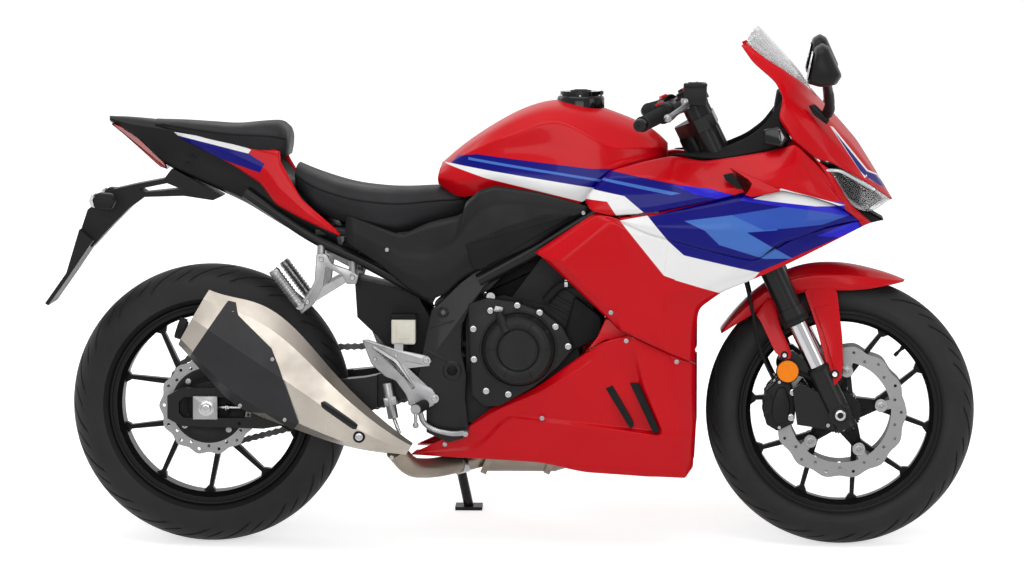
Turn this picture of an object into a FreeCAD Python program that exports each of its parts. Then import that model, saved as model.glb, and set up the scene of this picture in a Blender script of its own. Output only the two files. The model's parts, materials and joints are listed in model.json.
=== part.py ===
"""Sport motorcycle with full fairing, parked on its side stand.

Every piece is drawn with the bike upright: X forward from the rear axle, Y to the rider's left, Z up from
the floor. The finished pieces are then leaned over onto the side stand and moved so that the origin is at
the middle of the bike's footprint. Lengths are in millimetres. A table whose name ends in share or shares
is in thousandths of the wheelbase, measured from the rear axle (x), the middle plane (y) and the floor (z).
"""

import FreeCAD, Part
import math
import os
from functools import cache
from FreeCAD import Vector

# Layout of the whole bike
wheelbase = 1410.0
rake_angle = 25.5
fork_offset = 37.0
lean_angle = 9.0
steering_lock = 33.0
thousandth = wheelbase / 1000.0
overrun = 5.0
running_gap = 0.1
seat_gap = 0.3

# Tyres and rims
front_tyre_radius = 300.0
rear_tyre_radius = 312.0
front_crown_radius = 55.0
rear_crown_radius = 74.0
rear_crown_half_flat = 6.0
tyre_wall = 9.0
bead_radius = 216.0
rim_flange_height = 10.0
rim_flange_width = 6.0
front_rim_half_width = 44.5
rear_rim_half_width = 57.0
rim_shelf = 14.0
rim_well_depth = 10.0
rim_wall = 6.0
spoke_pairs = 5
spoke_fork_radius = 86.0
spoke_fork_width = 13.0
spoke_tip_width = 9.0
spoke_foot_width = 34.0
spoke_foot_length = 14.0
spoke_hub_depth = 44.0
spoke_fork_depth = 34.0
spoke_tip_depth = 24.0
web_width = 11.0
web_spread_angle = 27.0
fork_spread_angle = 3.5
tip_spread_angle = 19.5
spoke_angle_front = 9.0
spoke_angle_rear = 0.0
hub_radius = 46.0
axle_radius = 10.0
front_hub_half_length = 58.0
rear_hub_half_length = 82.0

# Brake discs, calipers and sprocket
front_disc_radius = 146.0
front_disc_inner_radius = 114.0
rear_disc_radius = 108.0
rear_disc_inner_radius = 82.0
disc_thickness = 5.0
disc_wave_height = 3.0
disc_wave_count = 14
disc_hole_radius = 3.5
disc_ring_count = 28
disc_hole_shares = (0.7, 0.35)
disc_lap = 1.0
front_disc_bolt_radius = 93.0
front_disc_tab_width = 20.0
disc_web_width = 16.0
disc_web_depth = 34.0
front_disc_inset = 8.0
disc_boss_radius = 11.0
disc_bolt_count = 5
rear_carrier_radius = 50.0
caliper_gap = 5.0
caliper_cheek = 14.0
caliper_inner_radius = 110.0
caliper_boss = 10.0
caliper_lug_half = 8.0
axle_spacer_wall = 8.0
sprocket_radius = 98.0
sprocket_teeth = 36
sprocket_thickness = 7.0
tooth_height = 9.0
tooth_shares = ((0.0, 0.0), (0.36, 0.0), (0.58, 1.0), (0.78, 1.0))
chain_offset = 96.0
chain_pitch = 15.875
chain_plate_height = 15.0
chain_waist_share = 0.66
chain_roller_radius = 5.0
chain_plate_thickness = 2.2
chain_inner_gap = 9.6
chain_clearance = 3.0
front_sprocket_radius = 38.0

# Fork, yokes and bars
fork_half_spacing = 102.0
fork_tube_radius = 27.0
fork_slider_radius = 20.5
fork_bottom_radius = 25.0
fork_tube_start = 228.0
fork_tube_end = 792.0
fork_slider_start = 110.0
fork_bottom_start = -34.0
fork_collar_height = 34.0
fork_collar_radius = 30.0
lower_yoke_height = 500.0
upper_yoke_height = 700.0
yoke_thickness = 30.0
yoke_half_width = 30.0
yoke_rear = 26.0
yoke_waist = 34.0
yoke_cheek_rear = 3.0
yoke_wall = 8.0
yoke_cut_share = 0.55
stem_radius = 15.0
stem_bore_radius = 8.5
stem_bore_depth = 45.0
head_tube_radius = 29.0
clamp_radius = 34.0
clamp_height = 34.0
bar_height = 773.0
bar_radius = 11.0
grip_radius = 16.5
grip_length = 128.0
hose_radius = 4.0
bar_end_radius = 13.0
bar_end_length = 18.0
bar_hole_radius = 3.0
bar_hole_depth = 25.0
housing_radius = 20.0
housing_length = 40.0
housing_gap = 0.5
cup_stem_radius = 11.0
cup_stem_start = 14.0
cup_stem_end = 52.0
cup_stem_inset = 15.0
cup_back = 38.0
cup_front = 88.0
cup_low = 18.0
cup_high = 62.0
cup_half_width = 26.0
cup_neck_radius = 9.0
lever_radius = 6.5
lever_ball_radius = 9.5
lever_pivot_inset = 26.0
lever_reach = 53.0
lever_bow = 62.0
lever_droop = 14.0

# Frame, engine and running gear
frame_tube_radius = 19.0
frame_plate_inner = 122.0
frame_plate_thickness = 22.0
subframe_tube_radius = 13.0
subframe_cross_radius = 11.0
cross_tube_radius = 15.0
sprocket_recess = 82.0
sump_share = 0.7
head_share = 0.95
shaft_radius = 12.0
engine_cover_depth = 38.0
clutch_cover_radius = 82.0
clutch_rim_radius = 70.5
clutch_cover_depth = 30.0
clutch_cap_radius = 42.0
clutch_cap_depth = 8.0
generator_cover_radius = 65.5
generator_cover_depth = 18.0
swingarm_front_inner = 92.0
swingarm_front_outer = 118.0
swingarm_inner = 112.0
swingarm_thickness = 28.0
swingarm_pivot_radius = 22.0
axle_block_thickness = 8.0
axle_nut_radius = 16.0
axle_nut_length = 10.0
swingarm_cross_radius = 26.0
spool_hole_radius = 4.0
spool_hole_depth = 20.0
header_radius = 19.0
collector_radius = 42.0
link_radius = 22.0
collector_mouth_radius = 30.4
collector_mouth_length = 40.0
shock_radius = 26.0
shock_groove_radius = 19.0
shock_coils = 8
footrest_plate = 10.0
peg_radius = 11.0
peg_length = 88.0
pedal_radius = 6.0
pedal_toe_length = 34.0
pillion_plate_inner = 118.0
pillion_stub_radius = 9.0
pillion_stub_inner = 108.0
radiator_half_width = 150.0
radiator_thickness = 34.0
radiator_bracket_radius = 9.0

# Bodywork
panel_wall = 4.0
screen_wall = 3.0
tail_panel_wall = 3.5
fender_wall = 3.0
fender_gap = 28.0
fender_half_width = 70.0
fender_shoulder = 24.0
fender_crown_drop = 5.0
fender_shoulder_drop = 24.0
fender_skirt_drop = 66.0
fender_start_angle = 22.0
fender_sweep_angle = 148.0
shield_thickness = 4.0
shield_inner = 192.0
body_reach = 560.0
body_middle = 28.0
tail_middle = 14.0
cover_overhang = 8.0
side_cover_depth = 30.0
filler_depth = 30.0
filler_rise = 14.0
signal_stalk_radius = 7.0
mirror_arm_radius = 9.0
mirror_base_radius = 11.0
cockpit_stay_radius = 12.0
cockpit_tie_radius = 8.0
cockpit_stay_height = 640.0
inner_panel_offset = 141.0
inner_panel_wall = 5.6
chin_half_width = 60.0
tyre_tray_gap = 12.0
tail_lamp_half = 24.0
lid_radius = 46.0
lid_thickness = 9.0
lid_seat_radius = 56.0
lid_hinge_radius = 5.0
lid_hinge_half = 14.0

# Number plate board
plate_half_width = 85.0
arm_half_width = 42.0
plate_hole_spacing = 120.0
plate_hole_radius = 3.0
plate_hole_reach = 60.0
plate_hole_share = 0.55
plate_thickness = 9.0

# Side stand
stand_tube_radius = 11.0
stand_foot_length = 62.0
stand_foot_width = 40.0
stand_foot_thickness = 8.0
stand_pivot_radius = 16.0
stand_pivot_pin_radius = 6.0
stand_eye_half = 8.0
stand_lug_length = 34.0
stand_pin_head = 4.0
stand_pin_head_radius = 10.2
stand_pin_end = 1.0

lean_cos = math.cos(math.radians(lean_angle))
lean_sin = math.sin(math.radians(lean_angle))
front_crown_half_flat = rear_crown_half_flat - (rear_crown_radius - front_crown_radius) * (1 - lean_cos) / lean_sin
floor_drop = rear_crown_radius * (1 - lean_cos) + rear_crown_half_flat * lean_sin

X = Vector(1, 0, 0)
Y = Vector(0, 1, 0)
Z = Vector(0, 0, 1)
rake = math.radians(rake_angle)
steer_up = Vector(-math.sin(rake), 0, math.cos(rake))
steer_forward = Vector(math.cos(rake), 0, math.sin(rake))
rear_axle = Vector(0, 0, rear_tyre_radius)
front_axle = Vector(wheelbase, 0, front_tyre_radius)
steer_base = front_axle - steer_forward * fork_offset


def at(share):
    """The point that a share of three numbers names."""
    return Vector(*share) * thousandth


def steer_point(forward, side, up):
    """A point given in the fork's own directions, from the foot of the steering axis."""
    return steer_base + steer_forward * forward + Y * side + steer_up * up


def side_points(shares, y):
    """The corners of a side-view outline, on the plane at y."""
    return [Vector(x * thousandth, y, z * thousandth) for x, z in shares]


def prism(shares, y_low, y_high):
    """A plate with a side-view outline, between two planes across the bike."""
    corners = side_points(shares, y_low)
    wire = Part.makePolygon(corners + corners[:1])
    return Part.Face(wire).extrude(Y * (y_high - y_low))


def rod(start, end, radius):
    """A round bar between two points."""
    return Part.makeCylinder(radius, (end - start).Length, start, end - start)


def disc(centre, direction, radius, length):
    """A round plate that starts at a point and grows along a direction."""
    return Part.makeCylinder(radius, length, centre, direction)


def block(low, high):
    """A box between two corners."""
    return Part.makeBox(high.x - low.x, high.y - low.y, high.z - low.z, low)


def fused(shapes):
    """One solid from overlapping solids."""
    first, *rest = shapes
    return first.fuse(rest).removeSplitter() if rest else first


def mirrored(shape):
    """The same piece on the other side of the bike."""
    return shape.mirror(Vector(0, 0, 0), Y)


def mirror_spot(spot):
    """The same point on the other side of the bike."""
    return Vector(spot.x, -spot.y, spot.z)


def both(shape):
    """A piece and its mirror image, as a list of solids."""
    return list(shape.Solids) + list(mirrored(shape).Solids)


def bent_path(points, share=0.45):
    """Straight runs joined by tangent arcs, as large as share of the shorter run allows."""
    edges, last = [], points[0]
    for before, corner, after in zip(points, points[1:], points[2:]):
        back, ahead = (before - corner), (after - corner)
        reach = share * min(back.Length, ahead.Length)
        back.normalize()
        ahead.normalize()
        start, end = corner + back * reach, corner + ahead * reach
        half_turn = math.pi / 2 - back.getAngle(ahead) / 2
        radius = reach / math.tan(half_turn)
        towards = back + ahead
        towards.normalize()
        centre = corner + towards * math.hypot(reach, radius)
        middle = centre - towards * radius
        edges.append(Part.LineSegment(last, start).toShape())
        edges.append(Part.Arc(start, middle, end).toShape())
        last = end
    edges.append(Part.LineSegment(last, points[-1]).toShape())
    return Part.Wire(edges)


def pipe(points, radius):
    """A round tube or hose, solid, along bent runs."""
    if len(points) == 2:
        return rod(points[0], points[1], radius)
    path = bent_path(points)
    circle = Part.Wire(Part.Circle(points[0], points[1] - points[0], radius).toShape())
    return path.makePipeShell([circle], True, True)


def section_wire(x, half_shares):
    """A closed section across the bike from half its corners, bottom middle first, top middle last."""
    right = [Vector(x * thousandth, -y * thousandth, z * thousandth) for y, z in half_shares]
    left = [Vector(p.x, -p.y, p.z) for p in right[::-1] if p.y < 0]
    return Part.makePolygon(right + left + right[:1])


def body(stations, straight=False):
    """A creased body lofted through half sections, smooth along the bike or straight between them."""
    wires = [section_wire(x, half) for x, half in stations]
    return Part.makeLoft(wires, True, straight)


def shrunk(stations, wall):
    """The same stations with every half section drawn in by a wall."""
    share = wall / thousandth
    inner = []
    for x, half in stations:
        top, bottom = half[-1][1], half[0][1]
        middle = (top + bottom) / 2
        reach = (top - bottom) / 2
        width = max(y for y, z in half)
        inner.append((x, [(y * (1 - share / width), middle + (z - middle) * (1 - share / reach)) for y, z in half]))
    return inner


def skin(columns, rows, half_widths, wall):
    """The right-hand side skin of the bodywork, as a slab of constant thickness across the bike."""
    grid = [[Vector(x, -width, z) * thousandth for z, width in zip(rows, widths)]
            for x, widths in zip(columns, half_widths)]
    surface = Part.BSplineSurface()
    surface.interpolate(grid)
    return surface.toShape().extrude(Y * wall)


# Wheels


def tyre(radius, crown, half_flat, rim_half, centre):
    """A hollow tyre: round crown, straight side walls, straight-sided inside, beads on the rim."""
    half = half_flat + crown
    foot = radius - crown
    diagonal = crown * math.sqrt(2) / 2
    flange = bead_radius + rim_flange_height

    def p(y, r):
        return centre + Y * y + Z * r

    edges = [
        Part.Arc(p(-half, foot), p(-half_flat - diagonal, foot + diagonal), p(-half_flat, radius)).toShape(),
        Part.LineSegment(p(-half_flat, radius), p(half_flat, radius)).toShape(),
        Part.Arc(p(half_flat, radius), p(half_flat + diagonal, foot + diagonal), p(half, foot)).toShape(),
        Part.LineSegment(p(half, foot), p(rim_half, flange)).toShape(),
        Part.LineSegment(p(rim_half, flange), p(rim_half, bead_radius)).toShape(),
        Part.LineSegment(p(rim_half, bead_radius), p(rim_half - tyre_wall, bead_radius)).toShape(),
        Part.LineSegment(p(rim_half - tyre_wall, bead_radius), p(rim_half - tyre_wall, flange)).toShape(),
        Part.LineSegment(p(rim_half - tyre_wall, flange), p(half - tyre_wall, foot)).toShape(),
        Part.LineSegment(p(half - tyre_wall, foot), p(half_flat, radius - tyre_wall)).toShape(),
        Part.LineSegment(p(half_flat, radius - tyre_wall), p(-half_flat, radius - tyre_wall)).toShape(),
        Part.LineSegment(p(-half_flat, radius - tyre_wall), p(-half + tyre_wall, foot)).toShape(),
        Part.LineSegment(p(-half + tyre_wall, foot), p(-rim_half + tyre_wall, flange)).toShape(),
        Part.LineSegment(p(-rim_half + tyre_wall, flange), p(-rim_half + tyre_wall, bead_radius)).toShape(),
        Part.LineSegment(p(-rim_half + tyre_wall, bead_radius), p(-rim_half, bead_radius)).toShape(),
        Part.LineSegment(p(-rim_half, bead_radius), p(-rim_half, flange)).toShape(),
        Part.LineSegment(p(-rim_half, flange), p(-half, foot)).toShape(),
    ]
    return Part.Face(Part.Wire(edges)).revolve(centre, Y)


def rim(rim_half, hub_half, first_angle, centre):
    """A cast wheel: rim barrel, five pairs of spokes and the hub, bored for the axle."""
    flange = bead_radius + rim_flange_height
    well = bead_radius - rim_well_depth
    profile = [(-rim_half - rim_flange_width, flange), (-rim_half, flange), (-rim_half, bead_radius),
               (-rim_half + rim_shelf, bead_radius), (-rim_half + rim_shelf + rim_well_depth, well),
               (rim_half - rim_shelf - rim_well_depth, well), (rim_half - rim_shelf, bead_radius),
               (rim_half, bead_radius), (rim_half, flange), (rim_half + rim_flange_width, flange),
               (rim_half + rim_flange_width, bead_radius - rim_wall), (rim_half - rim_shelf, bead_radius - rim_wall),
               (rim_half - rim_shelf - rim_well_depth, well - rim_wall),
               (-rim_half + rim_shelf + rim_well_depth, well - rim_wall),
               (-rim_half + rim_shelf, bead_radius - rim_wall),
               (-rim_half - rim_flange_width, bead_radius - rim_wall)]
    corners = [centre + Y * y + Z * r for y, r in profile]
    barrel = Part.Face(Part.makePolygon(corners + corners[:1])).revolve(centre, Y)
    hub = disc(centre - Y * hub_half, Y, hub_radius, 2 * hub_half)
    pieces = [barrel, hub]
    outer = well - rim_wall / 2
    neck = outer - spoke_foot_length
    for pair in range(spoke_pairs):
        middle = first_angle + pair * 360.0 / spoke_pairs
        for side in (-1, 1):
            fork_angle, tip_angle = middle + side * fork_spread_angle, middle + side * tip_spread_angle
            root = spot_on(centre, middle + side * web_spread_angle, hub_radius - overrun)
            fork = spot_on(centre, fork_angle, spoke_fork_radius)
            start = spot_on(centre, fork_angle, spoke_fork_radius - overrun)
            tip = spot_on(centre, tip_angle, outer)
            thin = spot_on(centre, tip_angle, neck)
            pieces.append(tapered(root, fork, web_width, web_width, spoke_hub_depth, spoke_fork_depth))
            pieces.append(tapered(start, tip, spoke_fork_width, spoke_tip_width, spoke_fork_depth, spoke_tip_depth))
            pieces.append(tapered(thin, tip, spoke_tip_width, spoke_foot_width, spoke_tip_depth, spoke_tip_depth))
    return fused(pieces).cut(disc(centre - Y * (hub_half + overrun), Y, axle_radius + running_gap,
                                  2 * (hub_half + overrun)))


def spot_on(centre, angle, radius):
    """A point on a circle in the side plane, its angle in degrees from forward to up."""
    a = math.radians(angle)
    return centre + X * (radius * math.cos(a)) + Z * (radius * math.sin(a))


def tapered(root, tip, root_width, tip_width, root_depth, tip_depth):
    """A bar of the wheel between two points, its width in the side plane and its depth across the bike."""
    along = tip - root
    along.normalize()
    across = along.cross(Y)

    def end(point, width, depth):
        corners = [point + across * (s * width / 2) + Y * (t * depth / 2)
                   for s, t in ((-1, -1), (1, -1), (1, 1), (-1, 1))]
        return Part.makePolygon(corners + corners[:1])

    return Part.makeLoft([end(root, root_width, root_depth), end(tip, tip_width, tip_depth)], True, True)


def wavy_disc(centre, radius, inner_radius, y_low):
    """A petal brake disc ring with two rings of drilled holes."""
    points = []
    samples = 4 * disc_wave_count
    for k in range(samples):
        a = 2 * math.pi * k / samples
        r = radius + disc_wave_height * math.cos(disc_wave_count * a)
        points.append(Vector(centre.x + r * math.cos(a), y_low, centre.z + r * math.sin(a)))
    curve = Part.BSplineCurve()
    curve.interpolate(points, PeriodicFlag=True)
    ring = Part.Face(Part.Wire(curve.toShape())).extrude(Y * disc_thickness)
    middle = Vector(centre.x, y_low - overrun, centre.z)
    tools = [disc(middle, Y, inner_radius, disc_thickness + 2 * overrun)]
    band = radius - inner_radius
    for k in range(disc_ring_count):
        a = 2 * math.pi * k / disc_ring_count
        r = inner_radius + band * disc_hole_shares[k % 2]
        spot = middle + X * (r * math.cos(a)) + Z * (r * math.sin(a))
        tools.append(disc(spot, Y, disc_hole_radius, disc_thickness + 2 * overrun))
    return ring.cut(tools)


def around(centre, radius, count, first=0.0):
    """Evenly spaced points on a circle in the side plane."""
    spots = []
    for k in range(count):
        a = math.radians(first) + 2 * math.pi * k / count
        spots.append(centre + X * (radius * math.cos(a)) + Z * (radius * math.sin(a)))
    return spots


front_disc_y = front_hub_half_length - front_disc_inset


@cache
def make_front_rim():
    """The front wheel with bosses for the two discs."""
    wheel = rim(front_rim_half_width, front_hub_half_length, spoke_angle_front, front_axle)
    spots = around(front_axle, front_disc_bolt_radius, disc_bolt_count, spoke_angle_front)
    bosses = [disc(spot - Y * front_disc_y, Y, disc_boss_radius, 2 * front_disc_y) for spot in spots]
    webs = [radial_bar(front_axle, spot, disc_web_width, disc_web_depth) for spot in spots]
    bore = disc(front_axle - Y * (front_hub_half_length + overrun), Y, axle_radius + running_gap,
                2 * (front_hub_half_length + overrun))
    return fused([wheel] + bosses + webs).cut(bore)


def radial_bar(centre, tip, width, depth):
    """A square bar from the centre of a wheel towards a point, middled across the bike."""
    outward = tip - centre
    outward.normalize()
    across = outward.cross(Y) * (width / 2)
    start = centre + outward * (hub_radius - overrun)
    low = Y * (depth / -2)
    corners = [start - across + low, start + across + low, tip + across + low, tip - across + low]
    return Part.Face(Part.makePolygon(corners + corners[:1])).extrude(Y * depth)


@cache
def make_front_discs():
    """Two discs, each with tabs that reach in to the wheel's bosses."""
    y_low = -front_disc_y - disc_thickness
    ring = wavy_disc(front_axle, front_disc_radius, front_disc_inner_radius, y_low)
    low = front_axle + Y * y_low
    tabs = []
    middle = low + Y * (disc_thickness / 2)
    for spot in around(middle, front_disc_bolt_radius, disc_bolt_count, spoke_angle_front):
        outward = spot - middle
        outward.normalize()
        tip = middle + outward * (front_disc_inner_radius + overrun)
        tabs.append(radial_bar(middle, tip, front_disc_tab_width, disc_thickness))
    hub_clear = disc(low - Y * overrun, Y, front_disc_bolt_radius - front_disc_tab_width / 2,
                     disc_thickness + 2 * overrun)
    return both(fused([ring] + tabs).cut(hub_clear))


@cache
def make_rear_rim():
    """The rear wheel with its disc flange on the right."""
    wheel = rim(rear_rim_half_width, rear_hub_half_length, spoke_angle_rear, rear_axle)
    return wheel


@cache
def make_rear_disc():
    """The rear disc and its carrier, on the hub's right face."""
    y_low = -rear_hub_half_length - disc_thickness
    low = rear_axle + Y * y_low
    ring = wavy_disc(rear_axle, rear_disc_radius, rear_disc_inner_radius, y_low)
    carrier = disc(low, Y, rear_disc_inner_radius + disc_lap, disc_thickness)
    bore = disc(low - Y * overrun, Y, axle_radius + running_gap, disc_thickness + 2 * overrun)
    return fused([ring, carrier]).cut(bore)


@cache
def make_sprocket():
    """The rear chain wheel, on the hub's left face."""
    low = rear_axle + Y * (chain_offset - sprocket_thickness / 2)
    points = []
    root = sprocket_radius - tooth_height
    for k in range(sprocket_teeth):
        for shift, rise in tooth_shares:
            r = root + tooth_height * rise
            a = 2 * math.pi * (k + shift) / sprocket_teeth
            points.append(low + X * (r * math.cos(a)) + Z * (r * math.sin(a)))
    wheel = Part.Face(Part.makePolygon(points + points[:1])).extrude(Y * sprocket_thickness)
    carrier = disc(rear_axle + Y * rear_hub_half_length, Y, rear_carrier_radius,
                   chain_offset - sprocket_thickness / 2 - rear_hub_half_length)
    bore = disc(rear_axle, Y, axle_radius + running_gap, 2 * chain_offset)
    return fused([wheel, carrier]).cut(bore)


# Fork and bars


@cache
def make_yokes():
    """Upper and lower yokes joined by the steering stem, bored for the fork tubes."""
    def yoke(height):
        outer = fork_half_spacing + fork_tube_radius + yoke_wall
        half = [(-yoke_rear, yoke_waist), (yoke_cheek_rear, fork_half_spacing + yoke_wall),
                (fork_offset - fork_tube_radius * yoke_cut_share, outer),
                (fork_offset + fork_tube_radius * yoke_cut_share, outer),
                (fork_offset + yoke_half_width, fork_half_spacing), (fork_offset + yoke_half_width, yoke_waist)]
        corners = [steer_point(forward, -side, height) for forward, side in half]
        corners += [steer_point(forward, side, height) for forward, side in half[::-1]]
        return Part.Face(Part.makePolygon(corners + corners[:1])).extrude(steer_up * yoke_thickness)

    stem = rod(steer_point(0, 0, lower_yoke_height), steer_point(0, 0, upper_yoke_height + yoke_thickness), stem_radius)
    shape = fused([yoke(lower_yoke_height), yoke(upper_yoke_height), stem])
    bores = [rod(steer_point(fork_offset, side * fork_half_spacing, lower_yoke_height - overrun),
                 steer_point(fork_offset, side * fork_half_spacing, upper_yoke_height + yoke_thickness + overrun),
                 fork_tube_radius) for side in (-1, 1)]
    pin_hole = rod(steer_point(0, 0, lower_yoke_height - overrun),
                   steer_point(0, 0, lower_yoke_height + stem_bore_depth), stem_bore_radius)
    return shape.cut(bores + [pin_hole])


def leg(start, end, radius, side=-1):
    """A round length of one fork leg."""
    return rod(steer_point(fork_offset, side * fork_half_spacing, start),
               steer_point(fork_offset, side * fork_half_spacing, end), radius)


@cache
def make_fork_tubes():
    """The two upper tubes with their seal collars, bored for the sliders."""
    tube = fused([leg(fork_tube_start, fork_tube_end, fork_tube_radius),
                  leg(fork_tube_start, fork_tube_start + fork_collar_height, fork_collar_radius)])
    bore = leg(fork_tube_start - overrun, fork_tube_start + fork_collar_height, fork_slider_radius)
    return both(tube.cut(bore))


@cache
def make_fork_sliders():
    """The bright lower tubes."""
    return both(leg(fork_slider_start, fork_tube_start + fork_collar_height, fork_slider_radius))


caliper_lug_shares = [(1008, 232), (960, 250), (938, 262), (925, 250), (932, 196), (985, 188), (1010, 190)]
fender_lug_shares = [[(962, 258), (958, 290), (996, 302), (1004, 290), (1004, 276), (992, 262)],
                     [(903, 300), (908, 312), (925, 312), (960, 285), (960, 262)]]


@cache
def make_fork_bottoms():
    """The cast feet of the fork legs, with the caliper lugs, and the axle through both."""
    foot = leg(fork_bottom_start, fork_slider_start, fork_bottom_radius)
    inner = fork_half_spacing - fork_bottom_radius
    lug = prism(caliper_lug_shares, -fork_half_spacing - caliper_lug_half, -fork_half_spacing + caliper_lug_half)
    boss = disc(front_axle - Y * (fork_half_spacing + fork_bottom_radius), Y, fork_bottom_radius,
                2 * fork_bottom_radius)
    axle_hole = disc(front_axle - Y * (2 * fork_half_spacing), Y, axle_radius, 4 * fork_half_spacing)
    fender_lugs = [prism(outline, -fork_half_spacing, -fender_half_width) for outline in fender_lug_shares]
    right = fused([foot, boss, lug] + fender_lugs).cut([axle_hole] + make_fork_sliders())
    ends = fork_half_spacing + fork_bottom_radius + overrun
    axle = disc(front_axle - Y * ends, Y, axle_radius, 2 * ends)
    spacers = [disc(front_axle + Y * y, Y, axle_radius + axle_spacer_wall,
                     inner - front_hub_half_length - seat_gap)
               for y in (front_hub_half_length + seat_gap, -inner)]
    axle = fused([axle] + spacers)
    return both(right) + [axle]


@cache
def make_bars():
    """The two clip-on clamps and their bars."""
    height = bar_height - clamp_height / 2
    ring = rod(steer_point(fork_offset, -fork_half_spacing, height),
               steer_point(fork_offset, -fork_half_spacing, height + clamp_height), clamp_radius)
    hole = leg(height - overrun, height + clamp_height + overrun, fork_tube_radius)
    bar = rod(bar_spot(0.0), bar_spot(1.0), bar_radius)
    end = rod(bar_spot(1.0), bar_mouth(), bar_end_radius)
    screw = rod(bar_mouth() - bar_direction() * bar_hole_depth, bar_mouth(), bar_hole_radius)
    return both(fused([ring, bar, end]).cut([hole, screw]))


grip_end_share = (690, -238, 677)


def bar_direction():
    """The way the right-hand bar points, outward."""
    way = bar_spot(1.0) - bar_spot(0.0)
    way.normalize()
    return way


def bar_mouth():
    """The middle of the right-hand bar's outer end face."""
    return bar_spot(1.0) + bar_direction() * bar_end_length


def bar_spot(share):
    """A point on the right-hand bar: 0 at the fork tube and 1 at its end."""
    end = at(grip_end_share)
    start = steer_point(fork_offset - fork_tube_radius, -fork_half_spacing - fork_tube_radius / 2, bar_height)
    return start + (end - start) * share


@cache
def make_grips():
    """The rubber grips on the bars."""
    end = bar_spot(1.0)
    way = end - bar_spot(0.0)
    way.normalize()
    start = end - way * grip_length
    grip = rod(start, end, grip_radius)
    hole = rod(start - way * overrun, end + way * overrun, bar_radius)
    flange = rod(start, start + way * overrun, grip_radius + overrun)
    return both(fused([grip, flange]).cut(hole))


@cache
def make_controls():
    """Switch housings with lever perches on both bars, and the brake reservoir on the right."""
    end, way = bar_spot(1.0), bar_direction()
    inner = end - way * (grip_length + housing_length)
    outer = end - way * (grip_length + housing_gap)
    housing = rod(inner, outer, housing_radius)
    hole = rod(inner - way * overrun, outer + way * overrun, bar_radius)
    spot = inner + way * cup_stem_inset
    stem = rod(spot + steer_forward * cup_stem_start, spot + steer_forward * cup_stem_end, cup_stem_radius)
    perch = fused([housing, stem]).cut(hole)
    cup = block(spot + X * cup_back + Z * cup_low - Y * cup_half_width,
                spot + X * cup_front + Z * cup_high + Y * cup_half_width)
    neck = rod(spot + steer_forward * (cup_stem_end - overrun),
               spot + X * ((cup_back + cup_front) / 2) + Z * (cup_low + overrun), cup_neck_radius)
    right = fused([perch, cup, neck])
    return list(right.Solids) + list(mirrored(perch).Solids)


@cache
def make_levers():
    """The front brake and clutch levers, each on its perch in front of the switch housing."""
    end, way = bar_spot(1.0), bar_direction()
    pivot = end - way * (grip_length + lever_pivot_inset) + steer_forward * lever_reach
    tip = end - way * bar_end_radius + steer_forward * (lever_reach + overrun) - Z * lever_droop
    elbow = end - way * (grip_length - bar_end_radius) + steer_forward * lever_bow - Z * lever_radius
    lever = pipe([pivot, elbow, tip], lever_radius)
    ball = Part.makeSphere(lever_ball_radius, tip)
    return both(fused([lever, ball]).cut(make_controls()))


fender_side_shares = [(806, 338), (812, 338), (838, 352), (868, 361), (900, 385), (942, 402), (995, 398),
                      (1038, 407), (1078, 417), (1101, 420), (1112, 424), (1080, 460), (1000, 480), (900, 470),
                      (830, 420), (790, 350)]
fender_plan_shares = [(780, -52), (1010, -52), (1060, -46), (1085, -34), (1108, -12), (1108, 12), (1085, 34),
                      (1060, 46), (1010, 52), (780, 52)]
fender_stay_shares = [[(942, 402), (965, 355), (985, 300), (992, 276), (1003, 268), (1010, 299), (1007, 332), (997, 398),
                       (1000, 425), (950, 425)],
                      [(868, 361), (898, 308), (914, 297), (924, 302), (905, 370), (900, 400), (860, 392)]]


@cache
def make_front_fender():
    """The front mudguard: an arched shell trimmed to its side and plan outlines, with stays to the fork legs."""
    outer = front_tyre_radius + fender_gap + fender_wall

    def profile(radius, half):
        return [front_axle + Y * y + X * r for y, r in
                ((-half, radius - fender_skirt_drop), (-half, radius - fender_shoulder_drop),
                 (-half + fender_shoulder, radius - fender_crown_drop), (0, radius),
                 (half - fender_shoulder, radius - fender_crown_drop), (half, radius - fender_shoulder_drop),
                 (half, radius - fender_skirt_drop))]

    over = profile(outer, fender_half_width)
    under = profile(outer - fender_wall, fender_half_width - fender_wall)
    face = Part.Face(Part.makePolygon(over + under[::-1] + over[:1]))
    face.rotate(front_axle, Y, -fender_start_angle)
    shell = face.revolve(front_axle, Y, -fender_sweep_angle)
    plan = [Vector(x, y, 0) * thousandth for x, y in fender_plan_shares]
    column = Part.Face(Part.makePolygon(plan + plan[:1])).extrude(Z * wheelbase)
    shell = shell.common(prism(fender_side_shares, -body_reach, body_reach)).common(column)
    stays = [prism(outline, -fender_half_width, -fender_half_width + fender_wall) for outline in fender_stay_shares]
    return fused([shell] + stays + [mirrored(stay) for stay in stays])


front_caliper_shares = [(878, 222), (886, 248), (905, 266), (922, 262), (930, 226), (926, 196), (900, 186), (884, 196)]


@cache
def make_front_calipers():
    """Two radial calipers, slotted over the discs."""
    y_mid = front_disc_y + disc_thickness / 2
    half = disc_thickness / 2 + caliper_gap + caliper_cheek
    whole = prism(front_caliper_shares, -y_mid - half - caliper_boss, -y_mid + half)
    slot_half = disc_thickness / 2 + caliper_gap
    slot = disc(front_axle - Y * (y_mid + slot_half), Y, front_disc_radius + disc_wave_height + caliper_gap,
                2 * slot_half)
    spokes = disc(front_axle - Y * (y_mid + slot_half), Y, caliper_inner_radius, y_mid)
    return both(whole.cut([slot, spokes]))


hose_shares = [(819, -50, 523), (829, -56, 488), (847, -64, 436), (861, -67, 378), (870, -66, 322), (888, -52, 278),
               (900, -46, 256)]


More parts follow.
